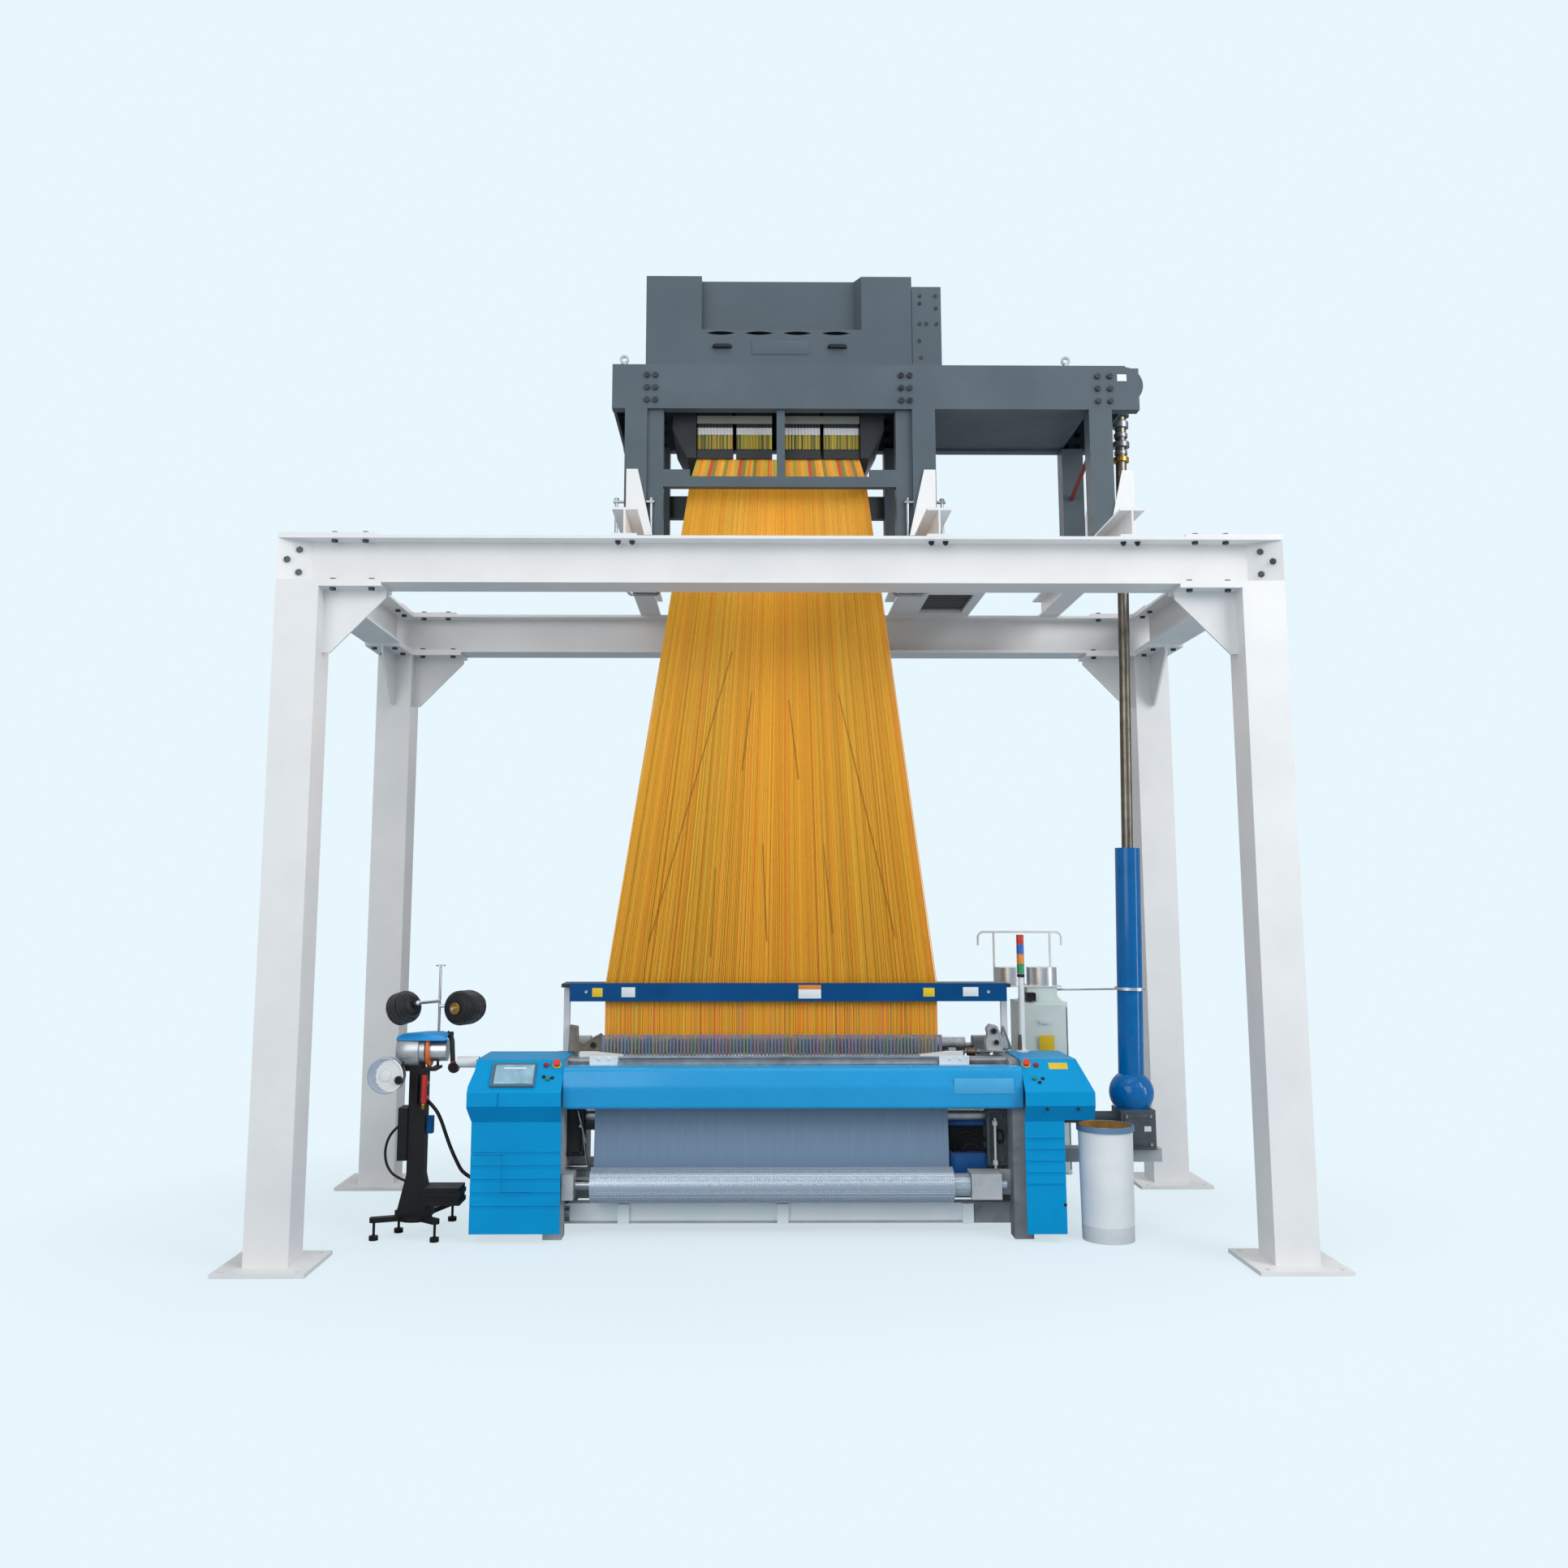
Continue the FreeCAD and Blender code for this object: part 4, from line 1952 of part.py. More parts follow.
save("feeders", feeders())
save("feeder_disc", [feeder_disc()])
save("yarn_cones", yarn_cones())
save("cable_loop", [cable_loop()])
save("feeder_hose", [feeder_hose()])
save("waste_bin", [waste_bin()])
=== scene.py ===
import math
import random

import bpy
from mathutils import Matrix, Vector


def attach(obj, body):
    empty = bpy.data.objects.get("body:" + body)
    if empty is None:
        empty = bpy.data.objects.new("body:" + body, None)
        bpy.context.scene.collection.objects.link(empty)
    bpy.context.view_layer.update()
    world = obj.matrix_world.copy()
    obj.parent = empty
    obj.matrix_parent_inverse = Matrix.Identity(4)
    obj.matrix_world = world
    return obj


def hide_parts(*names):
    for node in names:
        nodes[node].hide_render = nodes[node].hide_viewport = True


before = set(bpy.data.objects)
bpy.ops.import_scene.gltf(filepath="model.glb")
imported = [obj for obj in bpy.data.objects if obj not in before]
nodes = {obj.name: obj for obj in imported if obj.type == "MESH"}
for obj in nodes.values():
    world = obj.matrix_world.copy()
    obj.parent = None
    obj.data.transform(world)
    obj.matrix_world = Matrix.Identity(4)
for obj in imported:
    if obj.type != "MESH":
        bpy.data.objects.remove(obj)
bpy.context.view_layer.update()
scene = bpy.context.scene
print("frame loaded:", len(nodes), "nodes")

# the photographer stood about eight metres in front of the loom and looked slightly up
view = {"eye": (-0.179, -7.980, 1.760), "tilt": 97.83, "turn": -0.516, "lens": 31.37, "sensor": 36,
        "shiftX": 0.0159, "shiftY": -0.0445, "farthest": 200}


def placeCamera():
    data = bpy.data.cameras.new("photographer")
    data.lens = view["lens"]
    data.sensor_width = view["sensor"]
    data.shift_x = view["shiftX"]
    data.shift_y = view["shiftY"]
    data.clip_end = view["farthest"]
    eye = bpy.data.objects.new("photographer", data)
    eye.location = view["eye"]
    eye.rotation_euler = (math.radians(view["tilt"]), 0, math.radians(view["turn"]))
    scene.collection.objects.link(eye)
    scene.camera = eye


placeCamera()
scene.view_settings.view_transform = "Standard"


def hexColour(text):
    shares = [int(text[i:i + 2], 16) / 255 for i in (1, 3, 5)]
    return (*[s / 12.92 if s <= 0.04045 else ((s + 0.055) / 1.055) ** 2.4 for s in shares], 1.0)


# adds one node; settings are its sockets or properties, links say what feeds which socket: an output,
# or a node, which stands for its first output
def addNode(tree, kind, settings=None, links=None):
    node = tree.nodes.new("ShaderNode" + kind)
    for key, value in (settings or {}).items():
        if isinstance(key, int) or key in node.inputs:
            node.inputs[key].default_value = value
        else:
            setattr(node, key, value)
    for key, source in (links or {}).items():
        tree.links.new(getattr(source, "outputs", [source])[0], node.inputs[key])
    return node


def startMaterial(name):
    material = bpy.data.materials.new(name)
    material.use_nodes = True
    material.node_tree.nodes.clear()
    return material, material.node_tree


def closeMaterial(material, tree, shader):
    addNode(tree, "OutputMaterial", {}, {"Surface": shader})
    return material


# a texture scale from the real size of one grain in millimetres
def perGrain(millimetres):
    return 1000.0 / millimetres


# pattern space in metres, stretched along an axis where the marks run long
def ownSpace(tree, stretch=(1, 1, 1)):
    place = addNode(tree, "TexCoord")
    return addNode(tree, "Mapping", {"Scale": stretch}, {"Vector": place.outputs["Object"]})


# two close tones that drift into each other over the given length
def driftingTone(tree, space, light, dark, driftMm, contrast=1.0):
    cloud = addNode(tree, "TexNoise", {"Scale": perGrain(driftMm), "Detail": 4, "Roughness": 0.6},
                    {"Vector": space})
    reach = 0.22 / contrast
    share = addNode(tree, "MapRange", {"From Min": 0.5 - reach, "From Max": 0.5 + reach},
                    {"Value": cloud})
    return addNode(tree, "Mix", {"data_type": "RGBA", 6: hexColour(dark), 7: hexColour(light)},
                   {0: share}).outputs[2]


# roughness that wanders a little, as handled or wiped surfaces show
def wanderingShine(tree, space, middle, swing, sizeMm):
    rub = addNode(tree, "TexNoise", {"Scale": perGrain(sizeMm), "Detail": 6, "Roughness": 0.65},
                  {"Vector": space})
    return addNode(tree, "MapRange", {"From Min": 0.3, "From Max": 0.7, "To Min": middle - swing,
                                      "To Max": middle + swing}, {"Value": rub})


# pale lint and dust on what looks up, broken up by a cloud
def settledDust(tree, space, colour, amount):
    facing = addNode(tree, "NewGeometry")
    split = addNode(tree, "SeparateXYZ", {}, {"Vector": facing.outputs["Normal"]})
    lying = addNode(tree, "MapRange", {"From Min": 0.75, "From Max": 1.0, "To Min": 0.0, "To Max": amount},
                    {"Value": split.outputs["Z"]})
    patch = addNode(tree, "TexNoise", {"Scale": perGrain(90), "Detail": 6}, {"Vector": space})
    share = addNode(tree, "Math", {"operation": "MULTIPLY"}, {0: lying, 1: patch})
    return addNode(tree, "Mix", {"data_type": "RGBA", 7: hexColour("#C9CBC6")},
                   {0: share, 6: colour}).outputs[2]


# rounded ridges at an even pitch along one axis, as a bump
def evenRidges(tree, space, axis, pitchMm, distance, strength):
    split = addNode(tree, "SeparateXYZ", {}, {"Vector": space})
    count = addNode(tree, "Math", {"operation": "MULTIPLY", 1: perGrain(pitchMm)}, {0: split.outputs[axis]})
    ridge = addNode(tree, "Math", {"operation": "PINGPONG", 1: 0.5}, {0: count})
    return addNode(tree, "Bump", {"Distance": distance, "Strength": strength}, {"Height": ridge})


def fillRamp(ramp, tones):
    ramp.color_ramp.interpolation = "CONSTANT"
    stops = ramp.color_ramp.elements
    while len(stops) < len(tones):
        stops.new(0.5)
    for i, (start, tone) in enumerate(tones):
        stops[i].position = start
        stops[i].color = hexColour(tone)


# tones picked one by one along an axis, drawn wider than the real pitch so that they show
def colouredLanes(tree, space, axis, pitchMm, tones):
    split = addNode(tree, "SeparateXYZ", {}, {"Vector": space})
    lane = addNode(tree, "Math", {"operation": "MULTIPLY", 1: perGrain(pitchMm)}, {0: split.outputs[axis]})
    whole = addNode(tree, "Math", {"operation": "FLOOR"}, {0: lane})
    pick = addNode(tree, "TexWhiteNoise", {"noise_dimensions": "1D"}, {"W": whole})
    ramp = addNode(tree, "ValToRGB", {}, {"Fac": pick})
    fillRamp(ramp, tones)
    return ramp


# alkyd or polyurethane enamel sprayed on steel: orange peel, drifting tone, lint on what looks up
def sprayedEnamel(name, light, dark, roughness, peelMm=5, driftMm=420, coat=0.0, lint=0.25, peelDepth=0.3,
                  mirror=0.3):
    material, tree = startMaterial(name)
    space = ownSpace(tree)
    tone = driftingTone(tree, space, light, dark, driftMm)
    peel = addNode(tree, "TexNoise", {"Scale": perGrain(peelMm), "Detail": 2}, {"Vector": space})
    bump = addNode(tree, "Bump", {"Distance": 0.00015, "Strength": peelDepth}, {"Height": peel})
    shader = addNode(tree, "BsdfPrincipled",
                     {"Coat Weight": coat, "Coat Roughness": 0.1, "Specular IOR Level": mirror},
                     {"Base Color": settledDust(tree, space, tone, lint), "Normal": bump,
                      "Roughness": wanderingShine(tree, space, roughness, 0.06, 70)})
    return closeMaterial(material, tree, shader)


# injection-moulded or vacuum-formed plastic: leathery grain and flow that shifts the tone
def mouldedPlastic(name, light, dark, roughness, grainMm=3, driftMm=240, coat=0.0, mirror=0.3):
    material, tree = startMaterial(name)
    space = ownSpace(tree)
    grain = addNode(tree, "TexVoronoi", {"Scale": perGrain(grainMm)}, {"Vector": space})
    bump = addNode(tree, "Bump", {"Distance": 0.0001, "Strength": 0.25}, {"Height": grain})
    shader = addNode(tree, "BsdfPrincipled",
                     {"Coat Weight": coat, "Coat Roughness": 0.08, "Specular IOR Level": mirror},
                     {"Base Color": driftingTone(tree, space, light, dark, driftMm, 0.8),
                      "Normal": bump,
                      "Roughness": wanderingShine(tree, space, roughness, 0.05, 30)})
    return closeMaterial(material, tree, shader)


# bare metal with tool or drawing marks that run along one axis
def workedMetal(name, light, dark, roughness, markMm=1.5, stretch=(1, 1, 1)):
    material, tree = startMaterial(name)
    marks = addNode(tree, "TexNoise", {"Scale": perGrain(markMm), "Detail": 3},
                    {"Vector": ownSpace(tree, stretch)})
    bump = addNode(tree, "Bump", {"Distance": 0.00006, "Strength": 0.35}, {"Height": marks})
    shine = addNode(tree, "MapRange", {"From Min": 0.35, "From Max": 0.65, "To Min": roughness - 0.07,
                                       "To Max": roughness + 0.09}, {"Value": marks})
    shader = addNode(tree, "BsdfPrincipled", {"Metallic": 1.0},
                     {"Base Color": driftingTone(tree, ownSpace(tree), light, dark, 80),
                      "Roughness": shine, "Normal": bump})
    return closeMaterial(material, tree, shader)


# sand-cast iron or aluminium under thin paint: sandy skin and oily patches
def sandCasting(name, light, dark, roughness, metallic=0.0, oil=0.4):
    material, tree = startMaterial(name)
    space = ownSpace(tree)
    grime = addNode(tree, "TexNoise", {"Scale": perGrain(100), "Detail": 7, "Roughness": 0.7},
                    {"Vector": space})
    oily = addNode(tree, "MapRange", {"From Min": 0.55, "From Max": 0.75, "To Max": oil},
                   {"Value": grime})
    soiled = addNode(tree, "Mix", {"data_type": "RGBA", 7: hexColour("#35373A")},
                     {0: oily, 6: driftingTone(tree, space, light, dark, 130)})
    sand = addNode(tree, "TexNoise", {"Scale": perGrain(6), "Detail": 6, "Roughness": 0.65},
                   {"Vector": space})
    bump = addNode(tree, "Bump", {"Distance": 0.0006, "Strength": 0.4}, {"Height": sand})
    shader = addNode(tree, "BsdfPrincipled",
                     {"Roughness": roughness, "Metallic": metallic, "Specular IOR Level": 0.3},
                     {"Base Color": soiled.outputs[2], "Normal": bump})
    return closeMaterial(material, tree, shader)


# thread seen from a step away: fibre noise over each strand's own tone, soft sheen
def strandMaterial(name, tones, roughness, sheen, fibreMm=4, metallic=0.0):
    material, tree = startMaterial(name)
    tone = addNode(tree, "Attribute", {"attribute_name": "strandTone"})
    ramp = addNode(tree, "ValToRGB", {}, {"Fac": tone.outputs["Fac"]})
    fillRamp(ramp, tones)
    fibre = addNode(tree, "TexNoise", {"Scale": perGrain(fibreMm), "Detail": 3}, {"Vector": ownSpace(tree)})
    shade = addNode(tree, "MapRange", {"From Min": 0.3, "From Max": 0.7, "To Min": 0.8, "To Max": 1.1},
                    {"Value": fibre})
    toned = addNode(tree, "Mix", {"data_type": "RGBA", "blend_type": "MULTIPLY", 0: 1.0},
                    {6: ramp, 7: shade})
    shader = addNode(tree, "BsdfPrincipled",
                     {"Roughness": roughness, "Sheen Weight": sheen, "Metallic": metallic},
                     {"Base Color": toned.outputs[2]})
    return closeMaterial(material, tree, shader)


# hook modules: olive and yellow fronts side by side, a pale cap strip above, dark bars above and below
def moduleFronts():
    material, tree = startMaterial("colouredModuleFronts")
    space = ownSpace(tree)
    lanes = colouredLanes(tree, space, 0, 9, [
        (0.0, "#958B30"), (0.22, "#6F6D31"), (0.4, "#AA9B35"), (0.58, "#57562F"), (0.72, "#B49431"),
        (0.86, "#8A6C27"), (0.94, "#3E3F2D")])
    split = addNode(tree, "SeparateXYZ", {}, {"Vector": space})
    height = addNode(tree, "MapRange", {"From Min": 4.28, "From Max": 4.78}, {"Value": split.outputs[2]})
    zone, front = [addNode(tree, "ValToRGB", {}, {"Fac": height}) for i in range(2)]
    fillRamp(zone, [(0.0, "#1C1E21"), (0.128, "#FFFFFF"), (0.300, "#C9CDCF"), (0.380, "#2A2D31")])
    fillRamp(front, [(0.0, "#000000"), (0.128, "#FFFFFF"), (0.300, "#000000")])
    toned = addNode(tree, "Mix", {"data_type": "RGBA"}, {0: front, 6: zone, 7: lanes})
    shader = addNode(tree, "BsdfPrincipled", {"Roughness": 0.5},
                     {"Base Color": toned.outputs[2], "Normal": evenRidges(tree, space, 0, 18, 0.001, 0.4)})
    return closeMaterial(material, tree, shader)


# stainless roll with a knurled skin: rows of small round dots that sparkle one by one; each raised dot is
# also painted lighter, a painted glint
def dottedRoll():
    material, tree = startMaterial("dottedStainlessSkin")
    dots = addNode(tree, "TexVoronoi", {"Scale": perGrain(9), "Randomness": 0.25},
                   {"Vector": ownSpace(tree)})
    raisedDotAndGlint = addNode(tree, "MapRange", {"From Min": 0.25, "From Max": 0.45, "To Min": 1.0, "To Max": 0.0},
                     {"Value": dots})
    tone = addNode(tree, "Mix", {"data_type": "RGBA", 6: hexColour("#A6B4C4"), 7: hexColour("#DDE6EE")},
                   {0: raisedDotAndGlint})
    bump = addNode(tree, "Bump", {"Distance": 0.0007, "Strength": 0.5}, {"Height": raisedDotAndGlint})
    shader = addNode(tree, "BsdfPrincipled", {"Metallic": 0.45, "Roughness": 0.34},
                     {"Base Color": tone.outputs[2], "Normal": bump})
    return closeMaterial(material, tree, shader)


# warp on the beam: yarn wound side by side, sized and slightly shiny
def woundWarp():
    material, tree = startMaterial("woundWarpYarn")
    space = ownSpace(tree)
    lanes = colouredLanes(tree, space, 0, 3, [(0.0, "#D8D3C4"), (0.35, "#CFC9B8"), (0.6, "#E0DCCF"),
                                              (0.85, "#C4BEAC")])
    shader = addNode(tree, "BsdfPrincipled", {"Roughness": 0.62, "Sheen Weight": 0.3},
                     {"Base Color": lanes, "Normal": evenRidges(tree, space, 0, 3, 0.0008, 0.6)})
    return closeMaterial(material, tree, shader)


# woven blue-grey cloth: warp streaks down the piece, a weave drawn at 4 mm so that it just shows
def blueGreyCloth():
    material, tree = startMaterial("blueGreyWovenCloth")
    streak = addNode(tree, "TexNoise", {"Scale": perGrain(7), "Detail": 4, "Roughness": 0.6},
                     {"Vector": ownSpace(tree, (1, 0.02, 0.02))})
    share = addNode(tree, "MapRange", {"From Min": 0.35, "From Max": 0.65}, {"Value": streak})
    tone = addNode(tree, "Mix", {"data_type": "RGBA", 6: hexColour("#748DA7"), 7: hexColour("#7B94AE")},
                   {0: share})
    split = addNode(tree, "SeparateXYZ", {}, {"Vector": ownSpace(tree)})
    waves = []
    for axis in (0, 2):
        turns = addNode(tree, "Math", {"operation": "MULTIPLY", 1: 2 * math.pi * perGrain(4)},
                        {0: split.outputs[axis]})
        waves.append(addNode(tree, "Math", {"operation": "SINE"}, {0: turns}))
    weave = addNode(tree, "Math", {"operation": "MULTIPLY"}, {0: waves[0], 1: waves[1]})
    bump = addNode(tree, "Bump", {"Distance": 0.0004, "Strength": 0.35}, {"Height": weave})
    shader = addNode(tree, "BsdfPrincipled",
                     {"Roughness": 0.7, "Sheen Weight": 0.35, "Sheen Roughness": 0.4},
                     {"Base Color": tone.outputs[2], "Normal": bump})
    return closeMaterial(material, tree, shader)


# reed: fine flat steel dents, with the pastel heddles glinting between them
def reedDents():
    material, tree = startMaterial("pastelReedDents")
    lanes = colouredLanes(tree, ownSpace(tree), 0, 11, [
        (0.0, "#7288AE"), (0.2, "#8E8A90"), (0.36, "#657CAC"), (0.52, "#9C7888"), (0.66, "#7C9676"),
        (0.8, "#8F78A6"), (0.92, "#A89260")])
    shader = addNode(tree, "BsdfPrincipled", {"Metallic": 0.25, "Roughness": 0.42}, {"Base Color": lanes})
    return closeMaterial(material, tree, shader)


# coloured lamp lenses: ribbed clear plastic over a dark inside
def lampLens(name, light, dark):
    material, tree = startMaterial(name)
    space = ownSpace(tree)
    shader = addNode(tree, "BsdfPrincipled",
                     {"Roughness": 0.22, "Coat Weight": 0.6, "Subsurface Weight": 0.1,
                      "Subsurface Scale": 0.01},
                     {"Base Color": driftingTone(tree, space, light, dark, 40),
                      "Normal": evenRidges(tree, space, 2, 5, 0.001, 0.6)})
    return closeMaterial(material, tree, shader)


finish = {
    # gantry: welded box sections in pale grey enamel; satin, a little cooler in the shade
    "gantryEnamel": sprayedEnamel("galleryGreyEnamel", "#E8E8E8", "#DEDFE0", 0.42, 5, 420, 0.0, 0.1),
    # high-strength bolts left in black oxide; small dark dots that catch one highlight
    "blackBolt": workedMetal("blackOxideBolt", "#4C5258", "#33383D", 0.42, 2),
    # zinc-plated small parts; bright with a dull bluish cast
    "zincPlate": workedMetal("zincPlatedSteel", "#B9BEC4", "#979DA4", 0.38, 3),
    # jacquard frame: slate grey textured enamel, satin, catches lint on top
    "slateEnamel": sprayedEnamel("slateTexturedEnamel", "#56626A", "#4B575F", 0.5, 7, 500, 0.0, 0.06),
    "hoodEnamel": sprayedEnamel("hoodSlateEnamel", "#525E66", "#4A565E", 0.48, 6, 700, 0.0, 0.05),
    # inner frames: near-black enamel
    "darkEnamel": sprayedEnamel("charcoalEnamel", "#30353B", "#272B30", 0.5, 5, 300, 0.0, 0.1),
    "shelfPaint": sprayedEnamel("shelfPutty", "#8F9189", "#7B7D76", 0.5),
    "braceRed": sprayedEnamel("oxideRedEnamel", "#8C4440", "#763835", 0.55),
    # turned and drawn steel; its marks run along or around the piece
    "brightSteel": workedMetal("turnedBrightSteel", "#B4B9BE", "#8E949A", 0.28, 1.5, (1, 0.05, 0.05)),
    "satinSteel": workedMetal("satinDrawnSteel", "#A2A7AC", "#7F858B", 0.4, 1.5, (0.04, 1, 1)),
    "brownSteel": workedMetal("heatTintedSteel", "#8B7767", "#6A5A4E", 0.5, 3),
    # drive shaft: ground steel gone brown-grey with oil film
    "oiledShaft": workedMetal("oiledGroundSteel", "#8C877C", "#67625A", 0.34, 2, (1, 1, 0.02)),
    # guard bar and shaft guard: deep blue enamel with a clear shine
    "guardBlue": sprayedEnamel("guardBarBlueEnamel", "#034E88", "#024378", 0.42, 5, 300, 0.0, 0.0,
                               mirror=0.12),
    "shaftBlue": sprayedEnamel("shaftGuardBlueEnamel", "#0070B8", "#0062A4", 0.26, 9, 160, 0.5, 0.0,
                               mirror=0.1),
    "tankBlue": sprayedEnamel("tankBlueEnamel", "#1F5FA6", "#184F8E", 0.4, 5, 120),
    # machine castings in grey machine paint, with oily patches
    "greyCasting": sandCasting("greyPaintedCasting", "#969B9F", "#7C8287", 0.55),
    "slateCasting": sandCasting("slateCasting", "#5A6369", "#454D53", 0.55),
    "paleCasting": sandCasting("paleGreyCasting", "#B9BEC1", "#A3A9AD", 0.5, 0.0, 0.25),
    "brownGreyCasting": sandCasting("brownGreyCasting", "#8D857C", "#6E675F", 0.6),
    "palePaint": sprayedEnamel("paleBeamEnamel", "#F3FAFC", "#E8F2F6", 0.45, 6, 350, 0.0, 0.1),
    # breast cover: extruded sheet in gloss blue; long soft highlights
    "glossBlue": sprayedEnamel("glossBlueEnamel", "#219EDA", "#1994CE", 0.28, 30, 900, 0.3, 0.0, 0.06, 0.2),
    # vacuum-formed covers in blue ABS; faces that look down get a darker blue as painted shade
    "coverBlue": mouldedPlastic("blueAbsCover", "#009AD6", "#008FCA", 0.42, 4, 420, 0.0, 0.12),
    "coverPaintedShade": mouldedPlastic("paintedShadeBlueAbsUndersides", "#0088C4", "#007FB9", 0.5, 4, 300, 0.0, 0.1),
    "seamBlue": mouldedPlastic("shadowedBlueSeam", "#0A6AA6", "#085A90", 0.6),
    "screenBezel": mouldedPlastic("slateBezelAbs", "#5A7486", "#4E6879", 0.4),
    # display glass: light blue-grey behind a glossy pane
    "screenGlass": mouldedPlastic("displayGlass", "#A6D0E2", "#6C93A8", 0.1, 40, 90, 0.4),
    # take-up and press rollers in grained rubber
    "gripRubber": mouldedPlastic("grainedGripRubber", "#4A4E52", "#3A3D41", 0.7, 2),
    "cableRubber": mouldedPlastic("blackCableRubber", "#1B1C1E", "#121315", 0.5, 3),
    "whiteNylon": mouldedPlastic("whiteNylon", "#E9ECEB", "#DADEDE", 0.42),
    "blackNylon": mouldedPlastic("blackGlassNylon", "#202226", "#17181B", 0.45),
    # bin: white woven plastic, greyed at the foot, lined with amber film
    "binWhite": mouldedPlastic("whiteWovenBin", "#F0F3F5", "#E2E7EA", 0.6, 8, 180),
    "binFoot": mouldedPlastic("greyedBinFoot", "#DDE1E3", "#CCD2D5", 0.62, 8, 140),
    "rimBlue": mouldedPlastic("steelBlueRim", "#6C8FAE", "#5C7F9E", 0.4),
    "goldFilm": mouldedPlastic("amberBinLiner", "#B98A45", "#8F6930", 0.25, 20, 60, 0.4),
    # sley beam: extruded aluminium, drawn lines along it
    "extrudedAluminium": workedMetal("extrudedAluminium", "#C3C8CC", "#A8AEB3", 0.35, 1.5, (0.02, 1, 1)),
    "cabinetEnamel": sprayedEnamel("cabinetGreyEnamel", "#DEECEA", "#D2E0DE", 0.45, 6, 300, 0.0, 0.1),
    # push buttons: glossy coloured ABS with rounded rims
    "redButton": mouldedPlastic("redButtonAbs", "#E03A2E", "#CB2F26", 0.3, 3, 60, 0.4),
    "darkRed": mouldedPlastic("darkRedButtonAbs", "#8E2436", "#7A1D2D", 0.3, 3, 60, 0.4),
    "greenButton": mouldedPlastic("greenButtonAbs", "#1D7F55", "#166A46", 0.3, 3, 60, 0.4),
    # feeder stand: black wrinkle enamel, housings in bare die-cast aluminium, steel and nylon spools
    "wrinkleBlack": sprayedEnamel("blackWrinkleEnamel", "#111315", "#0A0B0D", 0.55, 4, 160, 0.0, 0.03),
    "standRed": sprayedEnamel("redTubeEnamel", "#C8312B", "#A82620", 0.35, 5, 90, 0.3, 0.0),
    "dieCast": sandCasting("dieCastAluminium", "#C6CACD", "#AEB3B7", 0.36, 0.65, 0.15),
    "spoolSteel": workedMetal("polishedSpoolSteel", "#E4E6E8", "#CDD1D5", 0.34, 1.2, (0.03, 1, 1)),
    "orangeNylon": mouldedPlastic("orangeNylon", "#E8731E", "#D36214", 0.35, 3, 80, 0.2),
    "feederBlue": mouldedPlastic("feederBlueAbs", "#2496DB", "#1B86C9", 0.3, 3, 80, 0.4),
    # grey for the crescent on the second spool's left side: painted shade
    "spoolShadeCrescent": mouldedPlastic("paintedShadeSpoolCrescent", "#AEB8C8", "#9CA8BA", 0.35, 5, 60, 0.2),
    "brass": workedMetal("turnedBrass", "#C79A4B", "#9C7434", 0.3),
    # plain colour fields in printed film, where the real machine has its labels
    "yellowField": mouldedPlastic("plainYellowFilm", "#E8C832", "#D9B924", 0.45),
    "whiteField": mouldedPlastic("plainWhiteFilm", "#E6EBEE", "#D6DCE0", 0.45),
    "orangeField": mouldedPlastic("plainOrangeFilm", "#E08A3A", "#D07C2E", 0.45),
    "paleBlueField": mouldedPlastic("plainPaleBlueFilm", "#4FAEE0", "#45A4D6", 0.4),
    "moduleFronts": moduleFronts(), "reedDents": reedDents(), "dottedRoll": dottedRoll(),
    "woundWarp": woundWarp(), "cloth": blueGreyCloth(),
    "lampGreen": lampLens("greenLampLens", "#1FA56A", "#178A56"),
    "lampOrange": lampLens("orangeLampLens", "#F0952F", "#DC801F"),
    "lampBlue": lampLens("blueLampLens", "#2C6FC4", "#205CAB"),
    "lampRed": lampLens("redLampLens", "#D9342C", "#C22822"),
    # harness cords: glossy polyester line, each with its own orange or yellow; a few olive and red; the
    # last, darkest tone is painted shade for the crease strands
    "harnessLine": strandMaterial("harnessPolyesterLine", [
        (0.0, "#FFB41C"), (0.25, "#FFBE28"), (0.45, "#F9A416"), (0.65, "#FFC632"), (0.8, "#F29812"),
        (0.92, "#DCA81E"), (0.96, "#FF842E"), (0.99, "#B87616")], 0.5, 0.1),
    # where the lines leave the hooks they are banded by colour, so that a mender can tell them apart; their
    # tones are held darker as painted shade under the housing
    "hookLine": strandMaterial("bandedHookLine", [
        (0.0, "#CDB42E"), (0.2, "#F0A01C"), (0.42, "#E04A22"), (0.56, "#F8B22A"), (0.8, "#908E34")],
                               0.5, 0.1),
    "tailLine": strandMaterial("bandedTailLine", [
        (0.0, "#FFB422"), (0.3, "#FFC432"), (0.55, "#FFA21E"), (0.72, "#F0C234"), (0.82, "#F57A34"),
        (0.89, "#B8B242"), (0.95, "#EC8A76")], 0.5, 0.1),
    "heddleShank": strandMaterial("pastelHeddleShank", [
        (0.0, "#93A7BC"), (0.3, "#A9B7AC"), (0.5, "#8FA0A9"), (0.7, "#B9AFB4"), (0.88, "#9FB59B")],
                                  0.45, 0.1),
    "springWire": strandMaterial("drawnSpringWire", [
        (0.0, "#9AA1A8"), (0.4, "#B5BBC1"), (0.75, "#858C93")], 0.35, 0.0, 3, 0.9),
    "warpYarn": strandMaterial("sizedWarpYarn", [(0.0, "#DCD7C9"), (0.35, "#CFC9B8"), (0.7, "#E6E2D6")],
                               0.65, 0.3),
    "blackYarn": strandMaterial("blackWoundYarn", [(0.0, "#1D1D1F"), (0.5, "#28282B"), (0.8, "#151517")],
                                0.75, 0.5),
}
print("materials made:", len(finish))


